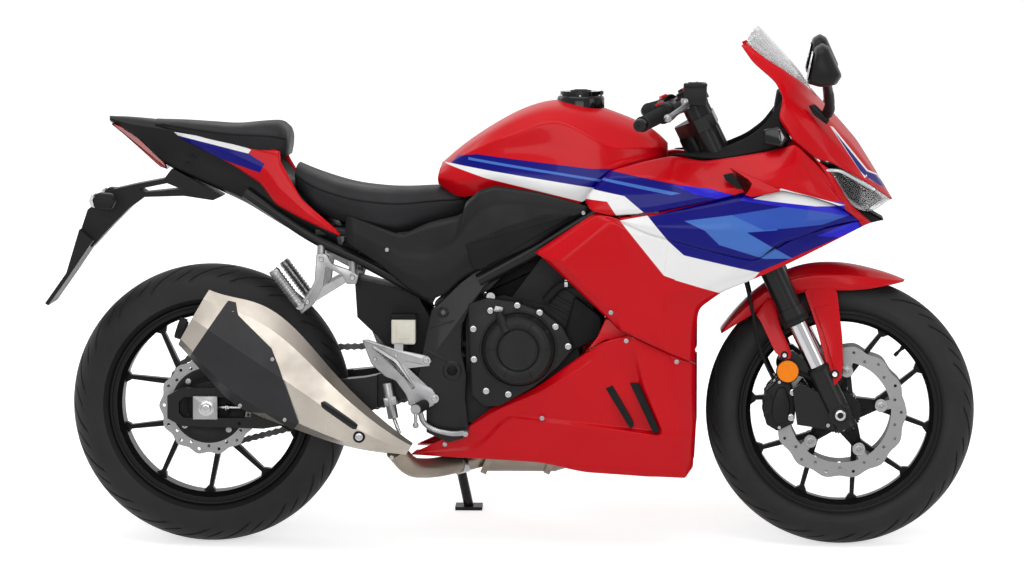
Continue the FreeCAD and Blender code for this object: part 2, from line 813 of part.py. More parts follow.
@cache
def make_brake_hoses():
    """The hoses from the lower yoke down to each caliper."""
    pipes = both(pipe([at(spot) for spot in hose_shares], hose_radius))
    return [hose.cut(make_front_calipers() + make_fork_tubes() + [make_yokes()]) for hose in pipes]


# Chassis

frame_plate_shares = [(459, 447), (459, 435), (436, 411), (414, 376), (402, 352), (402, 313), (410, 275), (408, 236),
                      (413, 186), (405, 176), (383, 170), (350, 185), (350, 223), (336, 272), (350, 340), (358, 376),
                      (375, 392), (402, 419), (429, 440)]
beam_shares = [(680, 0, 562), (612, 2, 532), (520, 0, 474), (430, 0, 425)]
cross_tube_shares = [(372, 0, 205), (405, 0, 400)]
swing_pivot_share = (389, 0, 282)
front_sprocket_share = (443, 0, 284)


@cache
def make_frame():
    """Steering head, two bent side beams, pivot plates and cross tubes."""
    head = rod(steer_point(0, 0, lower_yoke_height + yoke_thickness + seat_gap),
               steer_point(0, 0, upper_yoke_height - seat_gap), head_tube_radius)
    middle = (lower_yoke_height + upper_yoke_height + yoke_thickness) / 2
    beam_y = frame_plate_inner + frame_plate_thickness / 2
    hub = steer_point(0, 0, middle)
    pieces = [head]
    for side in (-1, 1):
        beam = [at((x, side * y, z)) + Y * (side * beam_y) for x, y, z in beam_shares]
        pieces.append(pipe([hub] + beam, frame_tube_radius))
        plate = prism(frame_plate_shares, side * frame_plate_inner, side * (frame_plate_inner + frame_plate_thickness))
        pieces.append(plate)
    for share in cross_tube_shares:
        spot = at(share)
        pieces.append(disc(spot - Y * (frame_plate_inner + overrun), Y, cross_tube_radius,
                           2 * (frame_plate_inner + overrun)))
    pieces += stand_lug()
    bore = rod(steer_point(0, 0, lower_yoke_height), steer_point(0, 0, upper_yoke_height + yoke_thickness),
               stem_radius + running_gap)
    pivot = disc(at(swing_pivot_share) - Y * (2 * frame_plate_inner), Y, swingarm_pivot_radius,
                 4 * frame_plate_inner)
    return fused(pieces).cut([bore, pivot])


lower_rail_shares = [(360, -82, 392), (250, -80, 452), (172, -76, 486), (60, -62, 560)]
upper_rail_shares = [(420, -78, 470), (300, -76, 500), (172, -74, 500)]
rail_cross_shares = [(200, -76, 474), (330, -76, 408)]


@cache
def make_subframe():
    """The rear rails that carry the seats, braced across."""
    rail = pipe([at(spot) for spot in lower_rail_shares], subframe_tube_radius)
    upper = pipe([at(spot) for spot in upper_rail_shares], subframe_tube_radius)
    cross = [rod(at((x, y, z)), at((x, -y, z)), subframe_cross_radius) for x, y, z in rail_cross_shares]
    return [fused([rail, upper, mirrored(rail), mirrored(upper)] + cross)]


crankcase_shares = [(410, 250), (410, 388), (470, 400), (534, 385), (580, 350), (590, 300), (560, 250), (520, 205),
                    (440, 190), (410, 200)]
case_side_shares = [(490, 230), (490, 396), (534, 385), (580, 350), (590, 300), (560, 250), (535, 220)]
sump_outline_shares = [(415, 160), (540, 160), (560, 215), (410, 215)]
cylinder_shares = [(470, 380), (560, 330), (655, 425), (630, 490), (560, 500)]


@cache
def make_engine():
    """The twin-cylinder engine as one heavy mass: crankcase, sump, inclined cylinders and head."""
    half = frame_plate_inner
    case = prism(crankcase_shares, -half, sprocket_recess)
    side = prism(case_side_shares, sprocket_recess, half)
    sump = prism(sump_outline_shares, -half * sump_share, half * sump_share)
    cylinders = prism(cylinder_shares, -half * head_share, half * head_share)
    shaft = disc(at(front_sprocket_share) + Y * sprocket_recess, Y, shaft_radius,
                 chain_offset - sprocket_thickness / 2 - sprocket_recess)
    return fused([case, side, sump, cylinders, shaft]).cut([make_frame(), make_swingarm()[0]])


right_cover_shares = [(416, 386), (445, 396), (493, 389), (534, 373), (560, 354), (579, 319), (554, 290), (515, 258),
                      (464, 229), (438, 229), (422, 245)]
left_cover_shares = [(425, 245), (425, 380), (500, 392), (570, 350), (578, 322), (552, 297), (513, 265), (470, 238)]
clutch_share = (494, 0, 317)
generator_share = (505, 0, 315)


@cache
def make_engine_covers():
    """The round clutch cover on the right and the generator cover on the left."""
    right = prism(right_cover_shares, -frame_plate_inner - engine_cover_depth, -frame_plate_inner)
    centre = at(clutch_share) - Y * (frame_plate_inner + engine_cover_depth + clutch_cover_depth)
    dome = Part.makeCone(clutch_rim_radius, clutch_cover_radius, clutch_cover_depth, centre, Y)
    cap = disc(centre - Y * clutch_cap_depth, Y, clutch_cap_radius, clutch_cap_depth)
    right = fused([right, dome, cap]).cut(make_frame())
    left = prism(left_cover_shares, frame_plate_inner, frame_plate_inner + engine_cover_depth)
    left_dome = disc(at(generator_share) + Y * (frame_plate_inner + engine_cover_depth), Y, generator_cover_radius,
                     generator_cover_depth)
    left = fused([left, left_dome]).cut(make_frame())
    return [right, left]


radiator_low_share = (694, 0, 245)
radiator_high_share = (712, 0, 440)
radiator_bracket_shares = ((640, 60, 440), (716, 60, 430))


@cache
def make_radiator():
    """The radiator behind the front wheel, on brackets to the engine."""
    lower, upper = at(radiator_low_share), at(radiator_high_share)
    way = upper - lower
    core = Part.makeBox(radiator_thickness, 2 * radiator_half_width, way.Length,
                        lower - Y * radiator_half_width)
    tilt = math.degrees(math.atan2(way.x, way.z))
    core.rotate(lower, Y, tilt)
    start, end = [at(share) for share in radiator_bracket_shares]
    bracket = rod(start, end, radiator_bracket_radius)
    return fused([core, bracket, mirrored(bracket)]).cut(make_engine())


header_shares = [(628, -34, 400), (668, -34, 372), (672, -34, 250), (650, -30, 150), (560, -22, 142)]
collector_mouth_share = (575, 0, 142)
drum_shares = [(550, 0, 142), (440, 0, 142)]
link_shares = [(450, 0, 140), (404, -8, 128), (356, -66, 123), (324, -122, 130), (302, -148, 160)]


@cache
def make_exhaust():
    """Two header pipes down the front of the engine into a collector under it, and the link pipe."""
    header = pipe([at(spot) for spot in header_shares], header_radius)
    cone = Part.makeCone(collector_mouth_radius, collector_radius, collector_mouth_length, at(collector_mouth_share),
                         X * -1)
    start, end = [at(spot) for spot in drum_shares]
    drum = rod(start, end, collector_radius)
    link = pipe([at(spot) for spot in link_shares], link_radius)
    return fused([header, mirrored(header), cone, drum, link]).cut([make_engine(), muffler_body()])


muffler_inner = 162.0
muffler_outer = 255.0
muffler_stations_shares = [
    ((318, 152), (330, 172), 0.35, 0.75),
    ((262, 158), (288, 204), 0.1, 0.95),
    ((200, 172), (225, 262), 0.0, 1.0),
    ((120, 200), (165, 330), 0.0, 1.0),
    ((40, 240), (100, 385), 0.0, 1.0),
    ((-18, 300), (42, 402), 0.05, 0.95),
    ((-40, 325), (10, 412), 0.15, 0.85),
]
muffler_ring_shares = [(0.0, 0.35), (0.12, 0.85), (0.5, 1.0), (0.85, 0.9), (1.0, 0.55), (0.9, 0.1), (0.5, 0.0),
                       (0.12, 0.05)]


@cache
def muffler_body(grow=0.0):
    """The silencer: six-sided sections between its lower and upper edges, lofted from inlet to tip."""
    wires = []
    depth = muffler_outer - muffler_inner
    for low, high, near, far in muffler_stations_shares:
        bottom, top = at((low[0], 0, low[1])), at((high[0], 0, high[1]))
        rise = top - bottom
        way = rise * (1 / rise.Length)
        y_in, y_out = -muffler_inner - depth * near + grow, -muffler_inner - depth * far - grow
        corners = []
        for up, across in muffler_ring_shares:
            spot = bottom + rise * up + way * (grow * (2 * up - 1))
            corners.append(spot + Y * (y_in + (y_out - y_in) * across))
        wires.append(Part.makePolygon(corners + corners[:1]))
    return Part.makeLoft(wires, True, False)


shield_shares = [(41, 396), (53, 393), (58, 374), (110, 323), (122, 293), (152, 205), (140, 190), (98, 219), (55, 218),
                 (-22, 305)]


@cache
def make_muffler():
    """The silencer's metal body, with its hanger tab."""
    return muffler_body()


@cache
def make_muffler_shield():
    """The black cover that wraps the outer side of the silencer."""
    wrap = muffler_body(shield_thickness).cut(muffler_body())
    cover = wrap.common(prism(shield_shares, -body_reach, -shield_inner))
    return max(cover.Solids, key=lambda solid: solid.Volume)


tank_station_shares = [
    (364, [(0, 566), (30, 566), (44, 572), (48, 580), (42, 590), (24, 597), (0, 598)]),
    (400, [(0, 548), (48, 548), (64, 560), (74, 585), (68, 610), (42, 629), (0, 636)]),
    (450, [(0, 545), (60, 560), (80, 578), (92, 605), (86, 636), (52, 660), (0, 668)]),
    (510, [(0, 548), (72, 560), (98, 576), (106, 610), (98, 656), (56, 692), (0, 702)]),
    (570, [(0, 548), (80, 548), (103, 562), (110, 612), (100, 665), (56, 699), (0, 708)]),
    (630, [(0, 560), (80, 562), (103, 577), (106, 614), (91, 658), (52, 686), (0, 695)]),
    (684, [(0, 585), (70, 590), (88, 600), (90, 622), (78, 645), (46, 664), (0, 672)]),
    (712, [(0, 598), (44, 600), (58, 606), (62, 618), (54, 632), (30, 642), (0, 647)]),
    (725, [(0, 603), (14, 604), (20, 608), (22, 618), (18, 630), (10, 636), (0, 638)]),
]
lid_share = (588, 0, 702)


def lid_seat():
    """The top middle of the filler ring."""
    return at(lid_share) + Z * filler_rise


@cache
def make_tank():
    """The fuel tank with its filler ring."""
    shape = body(tank_station_shares)
    ring = disc(lid_seat() - Z * filler_depth, Z, lid_seat_radius, filler_depth)
    return fused([shape, ring])


@cache
def make_fuel_cap():
    """The filler lid, hinged at its front edge."""
    seat = lid_seat() + Z * seat_gap
    lid = disc(seat, Z, lid_radius, lid_thickness)
    hinge = lid_hinge_spot()
    barrel = rod(hinge - Y * lid_hinge_half, hinge + Y * lid_hinge_half, lid_hinge_radius)
    return fused([lid, barrel])


def lid_hinge_spot():
    """The middle of the lid's hinge, at the front of the filler ring."""
    return lid_seat() + X * (lid_radius + seat_gap) + Z * (lid_hinge_radius + 2 * seat_gap)


rider_seat_shares = [
    (150, [(0, 520), (70, 535), (82, 552), (84, 566), (60, 584), (0, 590)]),
    (200, [(0, 515), (84, 522), (102, 536), (104, 556), (74, 576), (0, 577)]),
    (260, [(0, 500), (88, 505), (106, 520), (106, 548), (74, 568), (0, 568)]),
    (310, [(0, 490), (84, 494), (98, 508), (96, 540), (64, 564), (0, 566)]),
    (360, [(0, 500), (68, 512), (76, 524), (74, 546), (50, 566), (0, 570)]),
    (405, [(0, 515), (56, 524), (62, 532), (60, 548), (40, 562), (0, 566)]),
]


@cache
def make_rider_seat():
    """The rider's seat: narrow at the tank, wide and dished behind."""
    return body(rider_seat_shares).cut([make_tank(), make_subframe()[0]])


pillion_seat_shares = [
    (-76, [(0, 655), (44, 656), (52, 661), (50, 668), (30, 673), (0, 674)]),
    (-20, [(0, 640), (60, 646), (70, 652), (68, 660), (44, 668), (0, 669)]),
    (35, [(0, 628), (68, 636), (80, 644), (78, 655), (52, 664), (0, 665)]),
    (75, [(0, 622), (72, 630), (84, 640), (80, 658), (52, 670), (0, 671)]),
    (110, [(0, 616), (72, 624), (82, 634), (78, 658), (50, 671), (0, 673)]),
    (124, [(0, 614), (66, 620), (74, 630), (70, 648), (46, 660), (0, 662)]),
]


@cache
def make_pillion_seat():
    """The passenger's seat pad on the tail."""
    return body(pillion_seat_shares)


tail_station_shares = [
    (-160, [(0, 668), (8, 670), (14, 672), (14, 675), (8, 677), (0, 677)]),
    (-110, [(0, 640), (24, 641), (38, 652), (40, 664), (28, 672), (0, 673)]),
    (-70, [(0, 596), (30, 600), (50, 640), (54, 655), (44, 662), (0, 663)]),
    (0, [(0, 566), (38, 570), (60, 610), (66, 640), (60, 645), (0, 645)]),
    (60, [(0, 540), (46, 544), (70, 590), (78, 630), (70, 634), (0, 634)]),
    (120, [(0, 504), (54, 508), (80, 560), (86, 612), (72, 618), (0, 618)]),
    (150, [(0, 492), (58, 496), (86, 540), (90, 552), (80, 556), (0, 556)]),
    (220, [(0, 466), (62, 470), (88, 490), (90, 496), (80, 498), (0, 498)]),
]


@cache
def make_tail_cowl():
    """The tail body under the passenger's seat."""
    return body(tail_station_shares, True).cut([make_subframe()[0], make_pillion_seat(), make_rider_seat()])


tail_column_shares = [-60, 0, 60, 120, 165, 220]
tail_row_shares = [480, 530, 580, 620, 665]
tail_skin_shares = [
    [40, 46, 52, 57, 58],
    [46, 54, 64, 72, 72],
    [54, 66, 78, 84, 84],
    [68, 80, 90, 92, 90],
    [80, 92, 98, 98, 94],
    [94, 100, 102, 100, 96],
]
tail_panel_shares = [(-48, 650), (112, 622), (112, 608), (104, 596), (145, 548), (205, 494), (154, 520), (76, 552),
                     (57, 572), (86, 575), (80, 583), (-40, 643)]


@cache
def make_tail_panels():
    """The coloured side panels on the tail."""
    slab = skin(tail_column_shares, tail_row_shares, tail_skin_shares, tail_panel_wall)
    right = slab.common(prism(tail_panel_shares, -body_reach, -tail_middle))
    return both(right.cut([make_tail_cowl(), make_pillion_seat(), make_rider_seat(), make_subframe()[0]]))


tail_lamp_shares = [(-158, 668), (-142, 652), (-82, 598), (-70, 596), (-76, 606), (-130, 656)]


@cache
def make_tail_light():
    """The red lamp along the tail's rear edge."""
    return prism(tail_lamp_shares, -tail_lamp_half, tail_lamp_half).cut([make_tail_cowl()])


arm_shares = [(-155, 562), (-120, 570), (-73, 579), (-60, 596), (20, 552), (5, 545), (-41, 552), (-105, 550),
              (-128, 533), (-157, 504), (-189, 469), (-205, 500), (-195, 530)]
arm_window_shares = [(-112, 563), (-68, 572), (-46, 563), (-104, 557)]
flap_shares = [(-183, 482), (-189, 474), (-221, 427), (-226, 431), (-205, 500)]
plate_low_share = (-255, 0, 379)
plate_high_share = (-221, 0, 427)


@cache
def make_plate_bracket():
    """The rear mudguard arm with its window, the flap below it and the blank plate board."""
    arm = prism(arm_shares, -arm_half_width, arm_half_width)
    window = prism(arm_window_shares, -plate_half_width, plate_half_width)
    flap = prism(flap_shares, -plate_half_width, plate_half_width)
    depth = plate_normal() * plate_thickness
    low = at(plate_low_share)
    top = at(plate_high_share) + plate_rise() * overrun
    corners = [spot - Y * plate_half_width for spot in (low, top, top + depth, low + depth)]
    board = Part.Face(Part.makePolygon(corners + corners[:1])).extrude(Y * (2 * plate_half_width))
    holes = [rod(plate_spot(side) - plate_normal() * plate_hole_reach, plate_spot(side) + plate_normal() *
                 plate_hole_reach, plate_hole_radius) for side in (-1, 1)]
    return fused([arm.cut(window), flap, board]).cut([make_tail_cowl()] + holes)


def plate_spot(side):
    """The middle of one plate hole, on the board's front face."""
    low, high = at(plate_low_share), at(plate_high_share)
    return low + (high - low) * plate_hole_share + Y * (side * plate_hole_spacing / 2)


def plate_rise():
    """The way up along the board."""
    way = at(plate_high_share) - at(plate_low_share)
    way.normalize()
    return way


def plate_normal():
    """The board's normal, to the rear."""
    return plate_rise().cross(Y)


rear_stalk_shares = [(-160, 0, 546), (-160, -62, 546)]
rear_signal_shares = [(-182, -92, 536), (-146, -60, 556)]
front_signal_shares = [(876, -128, 636), (912, -104, 662)]


@cache
def make_signals():
    """The four turn signals on their stalks."""
    root, end = [at(spot) for spot in rear_stalk_shares]
    rear = rod(root - Y * arm_half_width, end, signal_stalk_radius)
    rear_lamp = block(*[at(spot) for spot in rear_signal_shares])
    front = block(*[at(spot) for spot in front_signal_shares])
    return both(fused([rear, rear_lamp]).cut(make_plate_bracket())) + both(front.cut(make_fairings()))


side_cover_shares = [(408, 550), (460, 579), (531, 568), (588, 551), (606, 540), (519, 482), (462, 455), (432, 445),
                     (396, 424), (372, 399), (349, 392), (317, 413), (278, 447), (223, 482), (218, 500), (223, 530),
                     (309, 496), (357, 520), (407, 528)]


@cache
def make_side_covers():
    """The black covers between tank, seat and frame."""
    outer = frame_plate_inner + frame_plate_thickness + cover_overhang + panel_wall
    plate = prism(side_cover_shares, -outer, -outer + side_cover_depth)
    return both(plate.cut([make_tank(), make_rider_seat(), make_frame(), make_subframe()[0], make_tail_cowl()]))


skin_column_shares = [300, 400, 500, 600, 700, 800, 880, 960, 1040, 1080]
skin_row_shares = [90, 200, 300, 400, 480, 560, 650]
skin_shares = [
    [66, 90, 98, 98, 98, 94, 80],
    [70, 98, 112, 118, 116, 108, 90],
    [76, 108, 126, 136, 138, 126, 100],
    [80, 112, 132, 148, 152, 142, 104],
    [82, 112, 132, 150, 160, 150, 108],
    [82, 112, 130, 150, 160, 148, 112],
    [82, 112, 128, 146, 152, 138, 108],
    [82, 110, 124, 136, 134, 118, 94],
    [80, 108, 118, 118, 106, 84, 60],
    [78, 104, 112, 106, 88, 62, 40],
]


@cache
def side_skin():
    """The right-hand skin that every fairing panel is cut from."""
    return skin(skin_column_shares, skin_row_shares, skin_shares, panel_wall)


seam_shares = [(650, 350), (666, 334), (772, 296)]
fairing_shares = [(523, 469), (606, 541), (601, 556), (634, 599), (724, 624), (782, 612), (830, 620), (896, 631),
                  (923, 645), (966, 620), (986, 596), (1013, 556), (1025, 541), (1045, 530), (1052, 517), (900, 446),
                  (816, 411), (782, 392), (772, 369)] + seam_shares[::-1] + [(649, 370)]
belly_shares = [(323, 145), (376, 164), (404, 170), (418, 184), (423, 222), (440, 225), (466, 225), (517, 254),
                (556, 285), (608, 314)] + seam_shares + [(772, 190), (770, 129), (756, 110), (593, 119), (572, 132)]


fairing_slot_shares = [(554, 449), (567, 449), (641, 376), (631, 369)]
belly_slot_shares = [[(613, 288), (625, 288), (676, 201), (671, 195)], [(669, 265), (687, 261), (716, 189), (705, 187)]]


@cache
def make_fairings():
    """The large side panels."""
    slot = prism(fairing_slot_shares, -body_reach, 0)
    right = side_skin().common(prism(fairing_shares, -body_reach, -body_middle)).cut(slot)
    return both(right.cut([make_frame(), make_tank(), make_side_covers()[0]]))


@cache
def make_belly():
    """The lower panels on each side of the engine."""
    slots = [prism(outline, -body_reach, 0) for outline in belly_slot_shares]
    right = side_skin().common(prism(belly_shares, -body_reach, -body_middle)).cut(slots)
    return both(right.cut([make_frame(), make_exhaust()] + make_engine_covers()))


nose_station_shares = [
    (835, [(0, 500), (104, 520), (108, 600), (104, 700), (80, 806), (46, 848), (0, 862)]),
    (900, [(0, 500), (102, 520), (106, 600), (104, 690), (84, 758), (46, 786), (0, 795)]),
    (947, [(0, 500), (100, 520), (104, 600), (104, 670), (86, 712), (48, 728), (0, 734)]),
    (985, [(0, 500), (92, 520), (98, 590), (98, 630), (80, 662), (44, 678), (0, 685)]),
    (1027, [(0, 500), (70, 515), (78, 560), (78, 590), (62, 612), (34, 632), (0, 641)]),
    (1060, [(0, 505), (40, 515), (48, 535), (48, 556), (40, 568), (22, 580), (0, 587)]),
    (1082, [(0, 520), (10, 524), (14, 530), (14, 539), (10, 543), (5, 547), (0, 549)]),
]
nose_side_shares = [(840, 797), (848, 782), (861, 767), (881, 753), (896, 738), (906, 722), (909, 713), (901, 680),
                    (923, 645), (966, 620), (986, 609), (1027, 587), (1076, 552), (1090, 545), (1090, 560), (960, 716),
                    (928, 753), (890, 780), (853, 803)]
screen_shares = [(843, 796), (851, 798), (885, 772), (923, 747), (960, 717), (980, 700), (930, 800), (872, 840)]
headlight_shares = [(980, 596), (976, 605), (987, 608), (1027, 586), (1075, 551), (1080, 548), (1047, 532), (1025, 541),
                    (1013, 556)]


@cache
def nose_solid():
    """The nose as if it were solid."""
    return body(nose_station_shares)


@cache
def nose_inside():
    """The room inside the nose shell."""
    return body(shrunk(nose_station_shares, panel_wall))


@cache
def nose_shell():
    """The shell that the nose and the windscreen are cut from."""
    return nose_solid().cut(nose_inside())


@cache
def make_nose():
    """The upper nose fairing."""
    shell = nose_shell().common(prism(nose_side_shares, -body_reach, body_reach))
    return shell.cut(make_fairings() + [make_windscreen(), make_headlights()])


@cache
def make_windscreen():
    """The clear screen."""
    return nose_shell().common(prism(screen_shares, -body_reach, body_reach))


@cache
def make_headlights():
    """The lamp unit under the nose."""
    return nose_solid().common(prism(headlight_shares, -body_reach, body_reach)).cut(make_fairings())


dash_shares = [(893, -58, 690), (915, 58, 730)]
inner_panel_shares = [(819, 610), (859, 648), (903, 700), (901, 678), (923, 645), (896, 630), (859, 612)]
chin_shares = [(1012, 552), (1030, 536), (1047, 528), (1068, 518), (1034, 510), (1000, 540)]
stay_end_share = (1000, 0, 570)
tie_share = (910, -101, 660)
post_shares = [(905, 0, 590), (905, 0, 700)]


@cache
def make_cockpit():
    """Instrument panel, inner side panels and the stay that carries the nose on the steering head."""
    dash = block(*[at(spot) for spot in dash_shares])
    panel_y = inner_panel_offset + inner_panel_wall
    panel = prism(inner_panel_shares, -panel_y, -inner_panel_offset)
    stay_start = steer_point(head_tube_radius - running_gap, 0, cockpit_stay_height)
    stay = rod(stay_start, at(stay_end_share), cockpit_stay_radius)
    chin = prism(chin_shares, -chin_half_width, chin_half_width)
    tie_end = at(tie_share)
    tie = rod(tie_end, mirror_spot(tie_end), cockpit_tie_radius)
    post_low, post_high = [at(spot) for spot in post_shares]
    post = rod(post_low, post_high, cockpit_stay_radius)
    shape = fused([dash, panel, mirrored(panel), stay, chin, tie, post])
    return shape.cut([make_headlights(), make_frame()] + make_fairings() + [make_nose()])


mirror_ring_shares = [(-175, [(948, 738), (960, 786), (972, 792), (988, 750)]),
                      (-230, [(942, 734), (955, 800), (970, 806), (998, 748)]),
                      (-262, [(952, 742), (960, 780), (968, 784), (984, 750)])]
mirror_arm_shares = [(980, -90, 690), (978, -130, 722), (972, -200, 752)]
mirror_base_shares = [(980, -90, 690), (964, -68, 688)]


@cache
def make_mirrors():
    """The two mirrors on their arms."""
    rings = [Part.makePolygon([at((x, y, z)) for x, z in ring + ring[:1]]) for y, ring in mirror_ring_shares]
    head = Part.makeLoft(rings, True, False)
    arm = pipe([at(spot) for spot in mirror_arm_shares], mirror_arm_radius)
    base = rod(*[at(spot) for spot in mirror_base_shares], mirror_base_radius)
    return both(fused([head, arm, base]).cut([nose_solid(), make_fairings()[0]]))


swingarm_front_shares = [(402, 262), (402, 292), (380, 296), (250, 270), (220, 267), (220, 208), (250, 215),
                         (375, 256)]
swingarm_rear_shares = [(270, 274), (250, 270), (90, 255), (-40, 252), (-62, 240), (-62, 204), (-40, 192), (90, 188),
                        (250, 215), (270, 222)]
axle_slot_shares = [(70, 238), (-36, 238), (-44, 230), (-44, 213), (-36, 205), (70, 205)]
axle_block_shares = [(-18, 205), (18, 205), (18, 238), (-18, 238)]


spool_share = (52, 0, 196)
knee_shares = [(270, 274), (250, 270), (222, 266), (222, 210), (250, 215), (270, 222)]
swing_cross_shares = [(290, -70, 244), (290, 70, 244)]


def spool_spot(side):
    """The mouth of the threaded stand hole in one arm's outer face."""
    return at(spool_share) + Y * (side * (swingarm_inner + swingarm_thickness))


@cache
def make_swingarm():
    """The rear fork: two arms that widen behind the tyre, cross tube, pivot tube, axle and its blocks."""
    outer = swingarm_inner + swingarm_thickness
    front = prism(swingarm_front_shares, -swingarm_front_outer, -swingarm_front_inner)
    rear = prism(swingarm_rear_shares, -outer, -swingarm_inner)
    knee = prism(knee_shares, -outer, -swingarm_front_inner)
    arm = fused([front, rear, knee]).cut(prism(axle_slot_shares, -2 * outer, 0))
    cross = rod(*[at(spot) for spot in swing_cross_shares], swingarm_cross_radius)
    pivot = at(swing_pivot_share)
    pivot_half = frame_plate_inner + frame_plate_thickness
    tube = disc(pivot - Y * pivot_half, Y, swingarm_pivot_radius, 2 * pivot_half)
    holes = [disc(spool_spot(side), Y * -side, spool_hole_radius, spool_hole_depth) for side in (-1, 1)]
    shape = fused([arm, mirrored(arm), cross, tube]).cut(holes)
    blocks = prism(axle_block_shares, -outer - axle_block_thickness, -swingarm_inner)
    spacer_start = chain_offset + sprocket_thickness / 2 + seat_gap
    ends = outer + axle_block_thickness + axle_nut_length
    pieces = [blocks, mirrored(blocks), disc(rear_axle - Y * ends, Y, axle_radius, 2 * ends),
              disc(rear_axle + Y * spacer_start, Y, axle_nut_radius, swingarm_inner - spacer_start),
              disc(rear_axle - Y * swingarm_inner, Y, axle_nut_radius,
                   swingarm_inner - rear_hub_half_length - disc_thickness - seat_gap)]
    return [shape, fused(pieces)]


def chain_centre_line():
    """The chain's pitch line round both sprockets: a point and its outward way for any distance along it."""
    rear = rear_axle + Y * chain_offset
    front = at(front_sprocket_share) + Y * chain_offset
    rear_radius = sprocket_radius + chain_clearance + chain_plate_height / 2
    line = front - rear
    turn = math.asin((rear_radius - front_sprocket_radius) / line.Length)
    base = math.atan2(line.z, line.x)
    run = line.Length * math.cos(turn)
    front_arc = front_sprocket_radius * (math.pi - 2 * turn)
    rear_arc = rear_radius * (math.pi + 2 * turn)
    total = 2 * run + front_arc + rear_arc

    def outward(angle):
        return X * math.cos(angle) + Z * math.sin(angle)

    def spot(distance):
        up, down = base + math.pi / 2 - turn, base - math.pi / 2 + turn
        if distance < run:
            start, end = rear + outward(up) * rear_radius, front + outward(up) * front_sprocket_radius
            return start + (end - start) * (distance / run), outward(up)
        if distance < run + front_arc:
            way = outward(up - (distance - run) / front_sprocket_radius)
            return front + way * front_sprocket_radius, way
        if distance < 2 * run + front_arc:
            start, end = front + outward(down) * front_sprocket_radius, rear + outward(down) * rear_radius
            return start + (end - start) * ((distance - run - front_arc) / run), outward(down)
        way = outward(down - (distance - 2 * run - front_arc) / rear_radius)
        return rear + way * rear_radius, way

    return spot, total


@cache
def make_chain():
    """The chain as one fixed loop: waisted link plates on both sides of the rollers' band, and its front sprocket."""
    spot, total = chain_centre_line()
    links = round(total / chain_pitch)

    def loop(pin_half, waist_half, y_low, y_high):
        rings = []
        for side in (1, -1):
            points = []
            for k in range(2 * links):
                centre, way = spot(total * k / (2 * links))
                half = waist_half if k % 2 else pin_half
                points.append(centre + way * (side * half) + Y * (y_low - chain_offset))
            rings.append(Part.Face(Part.makePolygon(points + points[:1])))
        return rings[0].cut(rings[1]).extrude(Y * (y_high - y_low))

    reach = chain_inner_gap / 2
    plate_half = chain_plate_height / 2
    plates = [loop(plate_half, plate_half * chain_waist_share, y, y + chain_plate_thickness)
              for y in (chain_offset - reach - chain_plate_thickness, chain_offset + reach)]
    rollers = loop(chain_roller_radius, chain_roller_radius, chain_offset - reach, chain_offset + reach)
    front = at(front_sprocket_share) + Y * (chain_offset - sprocket_thickness / 2)
    sprocket = disc(front, Y, front_sprocket_radius - chain_roller_radius, sprocket_thickness)
    return [fused(plates + [rollers, sprocket])]


shock_shares = [(322, 0, 300), (352, 0, 455)]


@cache
def make_rear_shock():
    """The rear spring and damper unit in front of the tyre, its coils as a row of ridges."""
    low, high = [at(spot) for spot in shock_shares]
    way = high - low
    across = way.cross(Y) * (1 / way.Length)
    profile = [low]
    for k in range(2 * shock_coils + 1):
        radius = shock_groove_radius if k % 2 else shock_radius
        profile.append(low + way * (k / (2 * shock_coils)) + across * radius)
    profile.append(high)
    unit = Part.Face(Part.makePolygon(profile + profile[:1])).revolve(low, way)
    return unit.cut([make_swingarm()[0], make_frame(), make_subframe()[0], make_engine()])


rear_caliper_shares = [(30, 285), (52, 300), (90, 282), (100, 258), (70, 252), (50, 262)]
rear_caliper_plate_shares = [(34, 284), (52, 296), (88, 280), (92, 250), (88, 225), (56, 225)]


@cache
def make_rear_caliper():
    """The rear caliper on its bracket above the axle."""
    y_mid = rear_hub_half_length + disc_thickness / 2
    half = disc_thickness / 2 + caliper_gap + caliper_cheek
    whole = prism(rear_caliper_shares, -y_mid - half, -y_mid + half)
    plate = prism(rear_caliper_plate_shares, -swingarm_inner, -y_mid - half + caliper_gap / 2)
    whole = fused([whole, plate])
    slot_half = disc_thickness / 2 + caliper_gap
    slot = disc(rear_axle - Y * (y_mid + slot_half), Y, rear_disc_radius + disc_wave_height + caliper_gap,
                2 * slot_half)
    return whole.cut([slot, make_swingarm()[0]])


guard_shares = [(249, 329), (298, 315), (298, 324), (312, 324), (312, 296), (349, 303), (354, 290), (320, 286),
                (356, 252), (362, 238), (350, 234), (336, 222), (320, 228), (318, 244), (300, 272), (284, 275),
                (263, 298)]
peg_shares = [(345, 0, 228), (335, 0, 226)]
brake_pedal_shares = [(336, -112, 232), (343, -113, 200), (362, -113, 188), (390, -118, 183), (412, -124, 186)]
gear_lever_shares = [(352, 113, 250), (400, 117, 240), (434, 127, 226)]


def pedal(shares, side):
    """A bent foot lever with a toe piece that points outward."""
    spots = [at(share) for share in shares]
    toe = rod(spots[-1] - Y * (side * pedal_radius), spots[-1] + Y * (side * pedal_toe_length), pedal_radius)
    return fused([pipe(spots, pedal_radius), toe])


@cache
def make_rider_footrests():
    """Cast brackets with heel guards, the rider's pegs, the brake pedal and the gear lever."""
    y = frame_plate_inner + frame_plate_thickness
    guard = prism(guard_shares, -y - footrest_plate, -y)
    root, tip = [at(spot) for spot in peg_shares]
    peg = rod(root - Y * y, tip - Y * (y + peg_length), peg_radius)
    bracket = fused([guard, peg])
    right = fused([bracket, pedal(brake_pedal_shares, -1)]).cut(make_frame())
    left = fused([mirrored(bracket), pedal(gear_lever_shares, 1)]).cut(make_frame())
    return [right, left]


